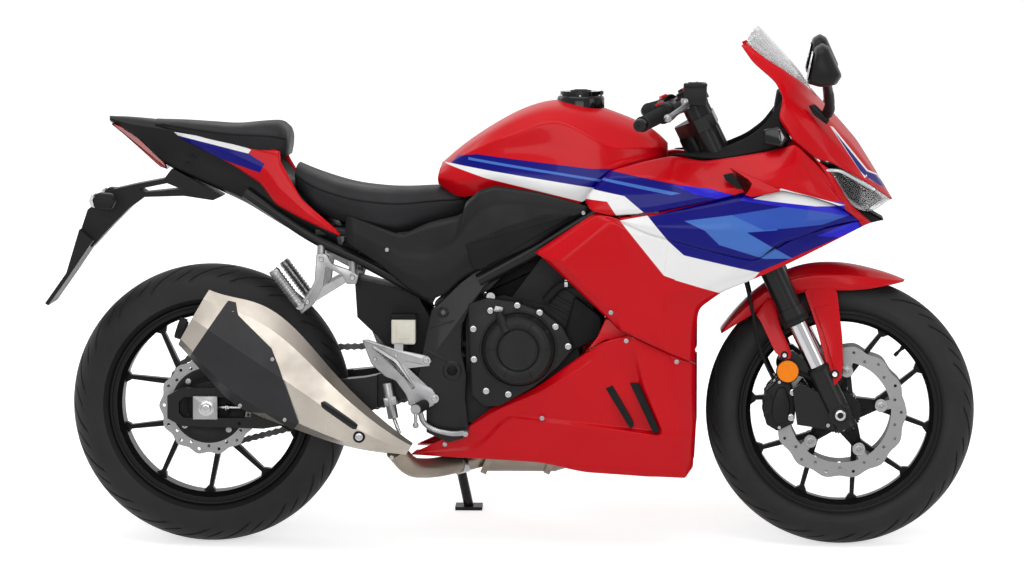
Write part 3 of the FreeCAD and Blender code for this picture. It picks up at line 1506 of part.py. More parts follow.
pillion_bracket_shares = [(176, 462), (188, 462), (196, 446), (226, 436), (238, 430), (234, 420), (222, 420),
                          (170, 388), (150, 372), (146, 384), (160, 396), (172, 420)]
pillion_window_shares = [(186, 446), (182, 412), (216, 430)]
pillion_peg_shares = [(148, 0, 384), (106, 0, 440)]
pillion_stub_shares = [[(181, 0, 456), (181, 0, 480)], [(231, 0, 428), (231, 0, 458)]]


@cache
def make_pillion_footrests():
    """Brackets under the tail with the passenger's pegs folded up."""
    y = pillion_plate_inner
    bracket = prism(pillion_bracket_shares, -y - footrest_plate, -y)
    window = prism(pillion_window_shares, -body_reach, 0)
    root, tip = [at(spot) - Y * (y + 2 * footrest_plate) for spot in pillion_peg_shares]
    peg = rod(root, tip, peg_radius)
    lug = rod(root + Y * (2 * footrest_plate - panel_wall), root - Y * panel_wall, footrest_plate)
    stubs = [rod(at(low) - Y * (y + footrest_plate / 2), at(high) - Y * pillion_stub_inner, pillion_stub_radius)
             for low, high in pillion_stub_shares]
    return both(fused([bracket.cut(window), peg, lug] + stubs).cut([make_subframe()[0]]))


reservoir_shares = [(294, -104, 324), (330, -82, 366)]


@cache
def make_brake_reservoir():
    """The rear brake fluid cup."""
    return block(*[at(spot) for spot in reservoir_shares])


tray_shares = [(232, 424), (330, 400), (352, 360), (350, 300), (330, 292), (300, 292), (270, 330), (236, 362)]
tray_half_width = 79.0


@cache
def make_inner_fender():
    """The tray and battery box ahead of the rear wheel."""
    box = prism(tray_shares, -tray_half_width, tray_half_width)
    wheel_room = disc(rear_axle - Y * body_reach, Y, rear_tyre_radius + tyre_tray_gap, 2 * body_reach)
    tools = [wheel_room, make_frame(), make_subframe()[0], make_swingarm()[0], make_rear_shock(), make_engine()]
    return box.cut(tools)


stand_pivot_share = (372, 116, 190)
stand_foot_share = (400, 196, 0)
stand_folded_way = Vector(-0.95, 0.28, -0.14)


def stand_floor(y):
    """Height of the floor under the leaning bike, on the upright bike's own Z, at y."""
    return (y * lean_sin - floor_drop) / lean_cos


def stand_sole():
    """The middle of the stand's foot, on the floor."""
    spot = at(stand_foot_share)
    return Vector(spot.x, spot.y, stand_floor(spot.y))


def stand_axis():
    """The hinge direction that swings the leg from the floor to its folded place."""
    down = stand_sole() - at(stand_pivot_share)
    axis = down.cross(stand_folded_way)
    axis.normalize()
    return axis


def stand_lug():
    """The frame's lug and pin that carry the side stand."""
    axis, pivot = stand_axis(), at(stand_pivot_share)
    seat = stand_eye_half + seat_gap
    lug = rod(pivot - axis * (seat + stand_lug_length), pivot - axis * seat, stand_pivot_radius)
    pin = rod(pivot - axis * (seat + stand_pin_end), pivot + axis * (seat + stand_pin_end), stand_pivot_pin_radius)
    head = rod(pivot + axis * seat, pivot + axis * (seat + stand_pin_head), stand_pin_head_radius)
    return [lug, pin, head]


@cache
def make_side_stand():
    """The side stand leg with its foot flat on the floor."""
    pivot, sole, axis = at(stand_pivot_share), stand_sole(), stand_axis()
    foot = Part.makeBox(stand_foot_length, stand_foot_width, stand_foot_thickness,
                        sole - X * (stand_foot_length / 2) - Y * (stand_foot_width / 2))
    foot.rotate(sole, X, lean_angle)
    up = Vector(0, -lean_sin, lean_cos)
    tube = rod(pivot, sole + up * (stand_foot_thickness / 2), stand_tube_radius)
    below = disc(sole, up * -1, wheelbase / 4, stand_foot_width)
    eye = rod(pivot - axis * stand_eye_half, pivot + axis * stand_eye_half, stand_pivot_radius)
    hole = rod(pivot - axis * stand_pivot_radius, pivot + axis * stand_pivot_radius,
               stand_pivot_pin_radius + running_gap)
    clear = [rod(pivot - axis * (stand_eye_half + stand_lug_length), pivot - axis * stand_eye_half,
                 stand_pivot_radius + stand_tube_radius),
             rod(pivot + axis * stand_eye_half, pivot + axis * (stand_eye_half + stand_lug_length),
                 stand_pivot_radius + stand_tube_radius)]
    return fused([tube.cut([below] + clear), foot, eye]).cut(hole)


MAKERS = {
    "frame": make_frame,
    "subframe": make_subframe,
    "engine": make_engine,
    "engine_covers": make_engine_covers,
    "radiator": make_radiator,
    "exhaust_pipes": make_exhaust,
    "muffler": make_muffler,
    "muffler_shield": make_muffler_shield,
    "tank": make_tank,
    "fuel_cap": make_fuel_cap,
    "rider_seat": make_rider_seat,
    "pillion_seat": make_pillion_seat,
    "tail_cowl": make_tail_cowl,
    "tail_panels": make_tail_panels,
    "tail_light": make_tail_light,
    "plate_bracket": make_plate_bracket,
    "signals": make_signals,
    "side_covers": make_side_covers,
    "side_fairings": make_fairings,
    "belly_fairings": make_belly,
    "nose_fairing": make_nose,
    "windscreen": make_windscreen,
    "headlights": make_headlights,
    "cockpit": make_cockpit,
    "mirrors": make_mirrors,
    "swingarm": make_swingarm,
    "chain": make_chain,
    "rear_shock": make_rear_shock,
    "rear_caliper": make_rear_caliper,
    "rider_footrests": make_rider_footrests,
    "pillion_footrests": make_pillion_footrests,
    "brake_reservoir": make_brake_reservoir,
    "inner_fender": make_inner_fender,
    "yokes": make_yokes,
    "fork_tubes": make_fork_tubes,
    "fork_sliders": make_fork_sliders,
    "fork_bottoms": make_fork_bottoms,
    "handlebars": make_bars,
    "grips": make_grips,
    "controls": make_controls,
    "levers": make_levers,
    "front_fender": make_front_fender,
    "front_calipers": make_front_calipers,
    "brake_hoses": make_brake_hoses,
    "front_rim": make_front_rim,
    "front_tyre": lambda: tyre(front_tyre_radius, front_crown_radius, front_crown_half_flat, front_rim_half_width,
                               front_axle),
    "front_discs": make_front_discs,
    "rear_rim": make_rear_rim,
    "rear_tyre": lambda: tyre(rear_tyre_radius, rear_crown_radius, rear_crown_half_flat, rear_rim_half_width,
                              rear_axle),
    "rear_disc": make_rear_disc,
    "sprocket": make_sprocket,
    "side_stand": make_side_stand,
}


def settled(pieces):
    """The same pieces leaned onto the stand, with the origin under the middle of the footprint."""
    leaned = {}
    for name, solids in pieces.items():
        moved = []
        for solid in solids:
            copy = solid.copy()
            copy.rotate(Vector(0, 0, 0), X, -lean_angle)
            copy.translate(Z * floor_drop)
            moved.append(copy)
        leaned[name] = moved
    box = Part.makeCompound([solid for solids in leaned.values() for solid in solids]).BoundBox
    shift = Vector(-(box.XMin + box.XMax) / 2, -(box.YMin + box.YMax) / 2, 0)
    for solids in leaned.values():
        for solid in solids:
            solid.translate(shift)
    return leaned


def main():
    """Builds every piece, leans the bike onto its stand and writes one STEP file per piece."""
    os.makedirs("parts", exist_ok=True)
    built = {}
    for name, make in MAKERS.items():
        made = make()
        shapes = made if isinstance(made, list) else [made]
        built[name] = [solid for shape in shapes for solid in shape.Solids]
    for name, solids in settled(built).items():
        Part.makeCompound(solids).exportStep("parts/" + name + ".step")


if __name__ == "__main__":
    main()
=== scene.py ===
"""Looks of the sport motorcycle: its bodywork, wheels, engine details, seats and finishes.

Shapes are worked out with the bike upright, X forward from the rear axle, Y to the rider's left and Z up
from the floor, in thousandths of the wheelbase, and are then leaned onto the side stand with the frame.
"""

import json
import logging
import math
from dataclasses import dataclass
from enum import Enum
from typing import Iterable, Sequence

import bmesh
import bpy
import numpy as np
from mathutils import Matrix, Vector


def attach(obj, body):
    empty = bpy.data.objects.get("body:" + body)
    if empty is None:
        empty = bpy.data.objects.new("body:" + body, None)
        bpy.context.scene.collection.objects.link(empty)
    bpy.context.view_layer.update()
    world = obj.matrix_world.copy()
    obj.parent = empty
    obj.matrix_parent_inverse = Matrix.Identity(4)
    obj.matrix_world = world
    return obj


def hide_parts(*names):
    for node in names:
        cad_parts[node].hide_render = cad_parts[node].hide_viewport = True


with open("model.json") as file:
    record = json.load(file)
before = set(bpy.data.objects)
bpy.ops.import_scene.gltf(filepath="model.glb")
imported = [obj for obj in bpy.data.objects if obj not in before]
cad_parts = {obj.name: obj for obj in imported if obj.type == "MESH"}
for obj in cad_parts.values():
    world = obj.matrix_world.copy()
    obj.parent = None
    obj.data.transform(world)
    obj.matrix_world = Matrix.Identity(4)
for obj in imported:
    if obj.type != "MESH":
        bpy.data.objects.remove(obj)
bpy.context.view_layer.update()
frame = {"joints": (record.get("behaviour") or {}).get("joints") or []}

LOG = logging.getLogger("motorcycle")
WHEELBASE = 1.410
SHARE = WHEELBASE / 1000.0
# The way out of the right-hand side, and what carries a point to the other side.
OUT = (0.0, -1.0, 0.0)
MIRROR = np.array([1.0, -1.0, 1.0])
REAR_AXLE = np.array([0.0, 0.0, 0.312])

Array = np.ndarray
Point = tuple[float, float, float]
Outline = tuple[tuple[float, float], ...]
Net = tuple[tuple[Point, ...], ...]
Bends = float | tuple[float, ...]
Tree, Node, Socket = bpy.types.NodeTree, bpy.types.Node, bpy.types.NodeSocket


class Side(Enum):
    """The two sides of the bike."""

    RIGHT = -1
    LEFT = 1


class Body(Enum):
    """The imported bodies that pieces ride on."""

    CHASSIS = "chassis"
    FORK = "fork"
    FRONT_WHEEL = "front_wheel"
    REAR_WHEEL = "rear_wheel"
    CAP = "fuel_cap"


# Where the bike stands


@dataclass(frozen=True)
class Stance:
    """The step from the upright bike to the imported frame, where it leans on its side stand.

    Attributes:
        lean: lean angle about the X axis, in radians.
        shift: move after the lean, in metres.
    """

    lean: float
    shift: Point

    def turn(self) -> Array:
        """The lean as a 3 by 3 matrix."""
        c, s = math.cos(self.lean), math.sin(self.lean)
        return np.array([[1, 0, 0], [0, c, -s], [0, s, c]])

    def place(self, points: Array) -> Array:
        """Upright points, in metres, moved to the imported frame."""
        return np.asarray(points, float) @ self.turn().T + np.array(self.shift)

    def way(self, direction: Sequence[float]) -> Array:
        """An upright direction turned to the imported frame."""
        return np.asarray(direction, float) @ self.turn().T


def stance_from_joints() -> Stance:
    """Reads the lean and the shift from the rear wheel's joint.

    Returns:
        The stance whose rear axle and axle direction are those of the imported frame.
    """
    joint = next(j for j in frame["joints"] if j["name"] == "rear_spin")
    axis = joint["axis"]
    lean = math.atan2(axis[2], axis[1])
    flat = Stance(lean, (0.0, 0.0, 0.0))
    shift = np.array(joint["pos_m"]) - flat.place(REAR_AXLE)
    return Stance(lean, tuple(float(x) for x in shift))


STANCE = stance_from_joints()
RAKE = math.radians(25.5)
STEER_UP = np.array([-math.sin(RAKE), 0.0, math.cos(RAKE)])
STEER_FORWARD = np.array([math.cos(RAKE), 0.0, math.sin(RAKE)])
FRONT_AXLE = np.array([WHEELBASE, 0.0, 0.300])
STEER_FOOT = FRONT_AXLE - STEER_FORWARD * 0.037


# Curves and surfaces


def shares(points: Sequence) -> Array:
    """Points given in thousandths of the wheelbase, in metres."""
    return np.asarray(points, float) * SHARE


def to_side(points: Array, side: Side) -> Array:
    """Points given with their distance from the middle plane as y, put on one side of the bike."""
    return points * np.array([1.0, float(side.value), 1.0])


def run_weights(count: int, corner: float | Sequence[float], straight: int = 2, bend: int = 4,
                closed: bool = False) -> Array:
    """Weights that turn control points into a run of straights joined by small bends.

    Each inner control point is rounded by a quadratic arc that starts a share `corner` of the run before
    it and ends the same share after it. A share of 0.5 gives one smooth curve, a small one a crisp crease.

    Args:
        count: number of control points.
        corner: share of each run that a bend takes, for all points or one by one.
        straight: pieces in each straight run.
        bend: pieces in each bend.
        closed: whether the last point runs on to the first.

    Returns:
        A matrix of samples by control points.
    """
    shares_at = np.broadcast_to(np.asarray(corner, float), (count,)).copy()
    eye = np.eye(count)
    rows: list[Array] = []
    if not closed:
        shares_at[0] = shares_at[-1] = 0.0
    steps = np.linspace(0.0, 1.0, bend + 1)[:, None]
    for k in range(count if closed else count - 1):
        here, there = eye[k], eye[(k + 1) % count]
        start = here + (there - here) * shares_at[k]
        end = there + (here - there) * shares_at[(k + 1) % count]
        walk = np.linspace(0.0, 1.0, straight + 1)[:, None]
        smooth = shares_at[k] + shares_at[(k + 1) % count] > 0.999
        rows.append(start[None] if smooth else start + (end - start) * walk)
        if shares_at[(k + 1) % count] > 0:
            after = eye[(k + 2) % count]
            leave = there + (after - there) * shares_at[(k + 1) % count]
            arc = (1 - steps) ** 2 * end + 2 * steps * (1 - steps) * there + steps ** 2 * leave
            rows.append(arc[1:-1])
    weights = np.vstack(rows)
    if not closed:
        weights = np.vstack([weights, eye[-1]])
    keep = np.ones(len(weights), bool)
    keep[1:] = np.abs(np.diff(weights, axis=0)).sum(1) > 1e-9
    weights = weights[keep]
    if closed and np.abs(weights[0] - weights[-1]).sum() < 1e-9:
        weights = weights[:-1]
    return weights


def smooth_path(points: Array, per_run: int = 8) -> Array:
    """A smooth curve through its points: cubic pieces whose slope at a point is half the step across it.

    Args:
        points: the points, in order.
        per_run: pieces between two points.

    Returns:
        Points along the curve.
    """
    pts = np.asarray(points, float)
    pts = np.vstack([2 * pts[0] - pts[1], pts, 2 * pts[-1] - pts[-2]])
    t = np.linspace(0, 1, per_run, endpoint=False)[:, None]
    pieces = []
    for a, b, c, d in zip(pts, pts[1:], pts[2:], pts[3:]):
        pieces.append(0.5 * (2 * b + (c - a) * t + (2 * a - 5 * b + 4 * c - d) * t ** 2
            + (3 * b - a - 3 * c + d) * t ** 3))
    return np.vstack(pieces + [pts[-2]])


def bent_path(points: Array, corner: float = 0.45, bend: int = 6) -> Array:
    """Straight runs between points with rounded corners."""
    return run_weights(len(points), corner, 1, bend) @ np.asarray(points, float)


def net_surface(net: Array, corner_u: float | Sequence[float], corner_v: float | Sequence[float],
                straight: int = 3, bend: int = 4) -> Array:
    """A panel from its control net: bends and straights along the rows times those across them.

    Args:
        net: control points, rows by columns by 3.
        corner_u: bend shares of the columns, along the rows.
        corner_v: bend shares of the rows.
        straight: pieces in a straight run.
        bend: pieces in a bend.

    Returns:
        Grid of points, rows by columns by 3.
    """
    across = run_weights(net.shape[0], corner_v, straight, bend)
    along = run_weights(net.shape[1], corner_u, straight, bend)
    return np.einsum("ri,cj,ijk->rck", across, along, net)


def grid_faces(rows: int, columns: int, wrap_rows: bool = False, wrap_columns: bool = False) -> Array:
    """Quads of a grid of points.

    Args:
        rows: number of rows.
        columns: points in a row.
        wrap_rows: whether the last row meets the first.
        wrap_columns: whether the last column meets the first.

    Returns:
        Four point indices for each quad.
    """
    r = np.arange(rows if wrap_rows else rows - 1)
    c = np.arange(columns if wrap_columns else columns - 1)
    rr, cc = np.meshgrid(r, c, indexing="ij")
    r2, c2 = (rr + 1) % rows, (cc + 1) % columns
    return np.stack([rr * columns + cc, rr * columns + c2, r2 * columns + c2, r2 * columns + cc], -1).reshape(-1, 4)


@dataclass
class Shape:
    """Points and faces of one mesh, in upright metres.

    Attributes:
        points: array of points.
        faces: lists of point indices.
    """

    points: Array
    faces: list

    @staticmethod
    def join(shapes: Iterable["Shape"]) -> "Shape":
        """Several shapes as one, not merged.

        Args:
            shapes: the shapes.

        Returns:
            One shape with all their points and faces.
        """
        points, faces, base = [], [], 0
        for shape in shapes:
            points.append(shape.points)
            faces += [[i + base for i in face] for face in shape.faces]
            base += len(shape.points)
        return Shape(np.vstack(points), faces)

    def moved(self, offset: Sequence[float]) -> "Shape":
        """A copy moved by an offset."""
        return Shape(self.points + np.asarray(offset, float), self.faces)

    def mirrored(self) -> "Shape":
        """The same shape on the other side of the bike, with its faces still outward."""
        return Shape(self.points * MIRROR, [list(face)[::-1] for face in self.faces])

    def both(self) -> "Shape":
        """The shape and its mirror image."""
        return Shape.join([self, self.mirrored()])


def from_grid(grid: Array, wrap_rows: bool = False, wrap_columns: bool = False, capped: bool = False) -> Shape:
    """A shape from a grid of points.

    Args:
        grid: rows by columns by 3.
        wrap_rows: whether the last row meets the first.
        wrap_columns: whether the last column meets the first.
        capped: whether flat faces close the first and last rows.

    Returns:
        The shape, with quads wound row by row.
    """
    rows, columns = grid.shape[:2]
    faces = grid_faces(rows, columns, wrap_rows, wrap_columns).tolist()
    if capped:
        faces.append(list(range(columns))[::-1])
        faces.append(list(range((rows - 1) * columns, rows * columns)))
    return Shape(grid.reshape(-1, 3), faces)


def axes_for(direction: Array) -> tuple[Array, Array]:
    """Two directions at right angles to one direction and to each other.

    Args:
        direction: the one direction.

    Returns:
        The two directions, of length one.
    """
    d = np.asarray(direction, float) / np.linalg.norm(direction)
    helper = np.array([0.0, 0.0, 1.0]) if abs(d[2]) < 0.9 else np.array([1.0, 0.0, 0.0])
    a = np.cross(helper, d)
    a /= np.linalg.norm(a)
    return a, np.cross(d, a)


def turned(start: Sequence[float], direction: Sequence[float], profile: Sequence[tuple[float, float]],
           around: int = 32, wave: float = 0.0, waves: int = 0) -> Shape:
    """A turned piece: a profile of (distance along, radius) carried round an axis.

    The radius may ripple by a cosine of the turn angle, which gives knurled knobs and scalloped edges.

    Args:
        start: where the axis starts.
        direction: which way it runs.
        profile: distances along the axis and radii, from one end to the other.
        around: points round the axis.
        wave: height of the ripple.
        waves: number of ripples.

    Returns:
        The closed shape.
    """
    d = np.asarray(direction, float) / np.linalg.norm(direction)
    a, b = axes_for(d)
    angle = np.linspace(0, 2 * np.pi, around, endpoint=False)
    ring = np.cos(angle)[:, None] * a + np.sin(angle)[:, None] * b
    prof = np.asarray(profile, float)
    radius = prof[:, 1][:, None] + wave * np.cos(waves * angle)[None] * (prof[:, 1][:, None] > 1e-5)
    grid = np.asarray(start, float) + prof[:, 0][:, None, None] * d + radius[..., None] * ring[None]
    return from_grid(grid, wrap_columns=True, capped=True)


def pin(start: Sequence[float], end: Sequence[float], radius: float, edge: float = 0.0, around: int = 24) -> Shape:
    """A round bar between two points with small rounded ends.

    Args:
        start: middle of one end.
        end: middle of the other.
        radius: its radius.
        edge: how far its ends are rounded, or zero for an eighth of the radius.
        around: points round it.

    Returns:
        The closed shape.
    """
    start, end = np.asarray(start, float), np.asarray(end, float)
    length = float(np.linalg.norm(end - start))
    edge = edge or radius * 0.12
    profile = [(0, radius - edge), (edge * 0.3, radius - edge * 0.3), (edge, radius), (length - edge, radius),
        (length - edge * 0.3, radius - edge * 0.3), (length, radius - edge)]
    return turned(start, end - start, profile, around)


def tube(path: Array, radius: float | Array, around: int = 14) -> Shape:
    """A tube: a ring carried along a path without twisting.

    Args:
        path: points along the middle line.
        radius: one radius, or one per point.
        around: points round the tube.

    Returns:
        The shape with closed ends.
    """
    path = np.asarray(path, float)
    way = np.gradient(path, axis=0)
    way /= np.linalg.norm(way, axis=1)[:, None]
    side = np.zeros_like(path)
    side[0] = axes_for(way[0])[0]
    for k in range(1, len(path)):
        s = side[k - 1] - way[k] * (side[k - 1] @ way[k])
        side[k] = s / np.linalg.norm(s)
    up = np.cross(way, side)
    angle = np.linspace(0, 2 * np.pi, around, endpoint=False)
    profile = np.stack([np.cos(angle), np.sin(angle)], 1)
    size = np.broadcast_to(np.asarray(radius, float), (len(path),))[:, None, None]
    grid = path[:, None] + size * (profile[None, :, :1] * side[:, None] + profile[None, :, 1:] * up[:, None])
    return from_grid(grid, wrap_columns=True, capped=True)


def outline_offset(outline: Array, distance: float) -> Array:
    """A closed outline moved inward: each corner goes along the mean of its two edge normals.

    Args:
        outline: corners, anticlockwise.
        distance: how far in.

    Returns:
        The moved corners.
    """
    ahead = np.roll(outline, -1, 0) - outline
    ahead /= np.linalg.norm(ahead, axis=1)[:, None] + 1e-12
    normal = np.stack([-ahead[:, 1], ahead[:, 0]], 1)
    before = np.roll(normal, 1, 0)
    mean = normal + before
    mean /= (mean * normal).sum(1)[:, None] + 1e-9
    limit = np.linalg.norm(mean, axis=1)[:, None]
    mean *= np.minimum(1.0, 1.8 / limit)
    return outline + mean * distance


def mm(*numbers: float) -> Array:
    """Numbers given one after the other in millimetres, as pairs in metres."""
    return np.reshape(numbers, (-1, 2)) * 0.001


def beside(x: float, z: float, out: float) -> Array:
    """A point on the right-hand side: x and z in thousandths of the wheelbase, its way out in metres."""
    return shares((x, 0, z)) - (0, out, 0)


def signed_area(outline: Array) -> float:
    """Area of a closed outline, positive when it runs anticlockwise."""
    x, y = outline[:, 0], outline[:, 1]
    return float(0.5 * np.sum(x * np.roll(y, -1) - y * np.roll(x, -1)))


def plate(outline: Array, origin: Sequence[float], u: Sequence[float], v: Sequence[float], depth: float,
          edge: float, corner: float = 0.0, bend: int = 3) -> Shape:
    """A flat plate with rounded edges: its outline drawn in over a quarter circle at both faces.

    Args:
        outline: corners (along u, along v).
        origin: where the outline's zero lies, on the far face.
        u: direction of the first number.
        v: direction of the second number.
        depth: thickness, along u cross v.
        edge: radius of the rounded edge.
        corner: share of each run that rounds the outline's corners.
        bend: pieces in each rounded corner.

    Returns:
        The closed shape.
    """
    flat = np.asarray(outline, float)
    if signed_area(flat) < 0:
        flat = flat[::-1]
    if corner > 0:
        flat = run_weights(len(flat), corner, 1, bend, closed=True) @ flat
    u, v = np.asarray(u, float), np.asarray(v, float)
    w = np.cross(u, v)
    turn = np.linspace(0, np.pi / 2, 4)
    steps = [(edge * (1 - math.sin(t)), edge * (1 - math.cos(t))) for t in turn]
    levels = [(inset, low) for inset, low in steps] + [(inset, depth - low) for inset, low in steps[::-1]]
    rings = []
    for inset, level in levels:
        ring = outline_offset(flat, inset)
        rings.append(np.asarray(origin, float) + ring[:, :1] * u + ring[:, 1:] * v + w * level)
    return from_grid(np.stack(rings), wrap_columns=True, capped=True)


def side_plate(outline: Sequence, y_inner: float, depth: float, edge: float = 0.0015, corner: float = 0.0,
               bend: int = 3, side: Side = Side.RIGHT) -> Shape:
    """A plate in the side plane, its outline in thousandths of the wheelbase.

    Args:
        outline: corners (x, z) in thousandths.
        y_inner: distance of its inner face from the middle plane, in metres.
        depth: thickness in metres, outward.
        edge: radius of its edges.
        corner: share of each run that rounds a corner.
        bend: pieces in each rounded corner.
        side: which side of the bike.

    Returns:
        The closed shape.
    """
    flat = np.asarray(outline, float) * SHARE
    shape = plate(flat, (0, 0, 0), (1, 0, 0), (0, 0, 1), depth, edge, corner, bend)
    right = shape.moved((0, -y_inner, 0))
    return right if side is Side.RIGHT else right.mirrored()


def cap_screw(spot: Sequence[float], direction: Sequence[float], radius: float, height: float) -> Shape:
    """A socket-head screw: a chamfered round head with a hexagon socket sunk in it.

    Args:
        spot: middle of its foot.
        direction: which way it stands.
        radius: radius of the head.
        height: height of the head.

    Returns:
        The closed shape.
    """
    d = np.asarray(direction, float) / np.linalg.norm(direction)
    head = [(0, radius), (height * 0.8, radius), (height, radius * 0.85), (height, radius * 0.55)]
    angle = np.linspace(0, 2 * np.pi, 18, endpoint=False)
    a, b = axes_for(d)
    ring = np.cos(angle)[:, None] * a + np.sin(angle)[:, None] * b
    hexagon = np.cos(np.pi / 6) / np.cos((angle + np.pi / 6) % (np.pi / 3) - np.pi / 6)
    rows = [np.asarray(spot, float) + t * d + r * ring for t, r in head]
    for t in (height, height * 0.35):
        rows.append(np.asarray(spot, float) + t * d + (radius * 0.5 * hexagon)[:, None] * ring)
    return from_grid(np.stack(rows), wrap_columns=True, capped=True)


def hex_bolt(spot: Sequence[float], direction: Sequence[float], radius: float, height: float) -> Shape:
    """A flanged hexagon bolt: a thin round flange, then six flats with a chamfered top.

    Args:
        spot: middle of its foot.
        direction: which way it stands.
        radius: half the width of the hexagon.
        height: height of the whole head.

    Returns:
        The closed shape.
    """
    d = np.asarray(direction, float) / np.linalg.norm(direction)
    angle = np.linspace(0, 2 * np.pi, 24, endpoint=False)
    a, b = axes_for(d)
    ring = np.cos(angle)[:, None] * a + np.sin(angle)[:, None] * b
    hexagon = np.cos(np.pi / 6) / np.cos((angle + np.pi / 6) % (np.pi / 3) - np.pi / 6)
    levels = [(0, 1.35, 0), (0.18, 1.35, 0), (0.24, 1.28, 0), (0.26, 0.95, 1), (0.9, 0.95, 1), (1.0, 0.82, 0)]
    rows = []
    for share, size, six in levels:
        reach = radius * size * (hexagon if six else np.ones_like(angle))
        rows.append(np.asarray(spot, float) + share * height * d + reach[:, None] * ring)
    return from_grid(np.stack(rows), wrap_columns=True, capped=True)


def polar(centre: Array, radius: float, degrees: float, y: float = 0.0) -> Array:
    """A point on a circle in the side plane, counted from forward towards up."""
    a = math.radians(degrees)
    return np.array([centre[0] + radius * math.cos(a), y, centre[2] + radius * math.sin(a)])


# Putting shapes into the scene


@dataclass(frozen=True)
class Trim:
    """How a piece is finished after its surface is laid.

    Attributes:
        thickness: wall added inside an open surface, in metres.
        sharp: angle above which an edge is crisp, in degrees.
        smooth: whether faces are shaded smooth between crisp edges.
    """

    thickness: float = 0.0
    sharp: float = 40.0
    smooth: bool = True


def into_scene(thing: bpy.types.Object) -> None:
    """Adds an object to the scene."""
    bpy.context.scene.collection.objects.link(thing)


def put(name: str, shape: Shape, finish: "Finish", trim: Trim = Trim(), body: Body = Body.CHASSIS,
        replaces: Sequence[str] = ()) -> bpy.types.Object:
    """Makes one finished piece of a shape and lets it ride on a body.

    A closed shape's faces are turned outward. An open one, which gets a wall, keeps the way its faces look.

    Args:
        name: the piece's name.
        shape: its points and faces, upright, in metres.
        finish: its material.
        trim: its wall and shading.
        body: the body it rides on.
        replaces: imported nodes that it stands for.

    Returns:
        The new object.
    """
    mesh = bpy.data.meshes.new(name)
    mesh.from_pydata(STANCE.place(shape.points).tolist(), [], shape.faces)
    mesh.validate()
    piece = bpy.data.objects.new(name, mesh)
    into_scene(piece)
    if trim.thickness == 0:
        face_outward(mesh)
    if trim.smooth:
        mesh.shade_smooth()
        mesh.set_sharp_from_angle(angle=math.radians(trim.sharp))
    if trim.thickness > 0:
        wall = piece.modifiers.new("wall", "SOLIDIFY")
        wall.thickness = trim.thickness
        wall.offset = -1.0
        wall.use_even_offset = False
    mesh.materials.append(finish.material())
    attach(piece, body.value)
    if replaces:
        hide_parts(*replaces)
    LOG.info("%s: %d points", name, len(shape.points))
    return piece


def face_outward(mesh: bpy.types.Mesh) -> None:
    """Merges doubled points and turns the faces of closed shells outward.

    Args:
        mesh: the mesh to mend.
    """
    work = bmesh.new()
    work.from_mesh(mesh)
    bmesh.ops.remove_doubles(work, verts=work.verts, dist=1e-6)
    bmesh.ops.recalc_face_normals(work, faces=work.faces)
    work.to_mesh(mesh)
    work.free()


def face_towards(shape: Shape, direction: Sequence[float]) -> Shape:
    """Turns an open surface's faces so that on the whole they look along a direction.

    Args:
        shape: the surface.
        direction: where it should look.

    Returns:
        The shape, turned round where it looked the other way.
    """
    points = shape.points
    quads = np.array([face[:3] for face in shape.faces])
    a, b, c = points[quads[:, 0]], points[quads[:, 1]], points[quads[:, 2]]
    total = np.cross(b - a, c - a).sum(0)
    if total @ np.asarray(direction, float) < 0:
        return Shape(points, [list(face)[::-1] for face in shape.faces])
    return shape


# Finishes


Colour = tuple[float, float, float]


def colour(red: int, green: int, blue: int) -> Colour:
    """A colour given in the usual 0 to 255 steps, in the linear values that shaders take.

    Args:
        red: step of red.
        green: step of green.
        blue: step of blue.

    Returns:
        The three linear values.
    """
    def linear(step: int) -> float:
        """One step's linear value."""
        v = step / 255
        return v / 12.92 if v <= 0.04045 else ((v + 0.055) / 1.055) ** 2.4
    return linear(red), linear(green), linear(blue)


class Effect(Enum):
    """What breaks up a finish's surface."""

    PAINT = "paint"
    MOULDED = "moulded"
    CAST = "cast"
    BRUSHED = "brushed"
    RUBBER = "rubber"
    VINYL = "vinyl"


def new_group(name: str, outputs: Sequence[tuple[str, str]]) -> tuple[Tree, Node, Node]:
    """An empty shader node group that takes a Vector.

    Args:
        name: the group's name.
        outputs: names and socket types of what it gives.

    Returns:
        The tree and its input and output nodes.
    """
    tree = bpy.data.node_groups.new(name, "ShaderNodeTree")
    tree.interface.new_socket("Vector", in_out="INPUT", socket_type="NodeSocketVector")
    for label, kind in outputs:
        tree.interface.new_socket(label, in_out="OUTPUT", socket_type=kind)
    return tree, tree.nodes.new("NodeGroupInput"), tree.nodes.new("NodeGroupOutput")


def add_node(tree: Tree, kind: str, inputs: dict | None = None, **settings: object) -> Node:
    """Makes a shader node.

    Args:
        tree: the tree it belongs to.
        kind: its type.
        inputs: values for its inputs, or sockets to join to them.
        settings: its settings.

    Returns:
        The node.
    """
    node = tree.nodes.new(kind)
    for key, value in settings.items():
        setattr(node, key, value)
    for key, value in (inputs or {}).items():
        if isinstance(value, Socket):
            tree.links.new(value, node.inputs[key])
        else:
            node.inputs[key].default_value = value
    return node


def maths(tree: Tree, operation: str, *values: float | Socket) -> Socket:
    """The result of one sum of numbers or sockets."""
    return add_node(tree, "ShaderNodeMath", dict(enumerate(values)), operation=operation).outputs[0]


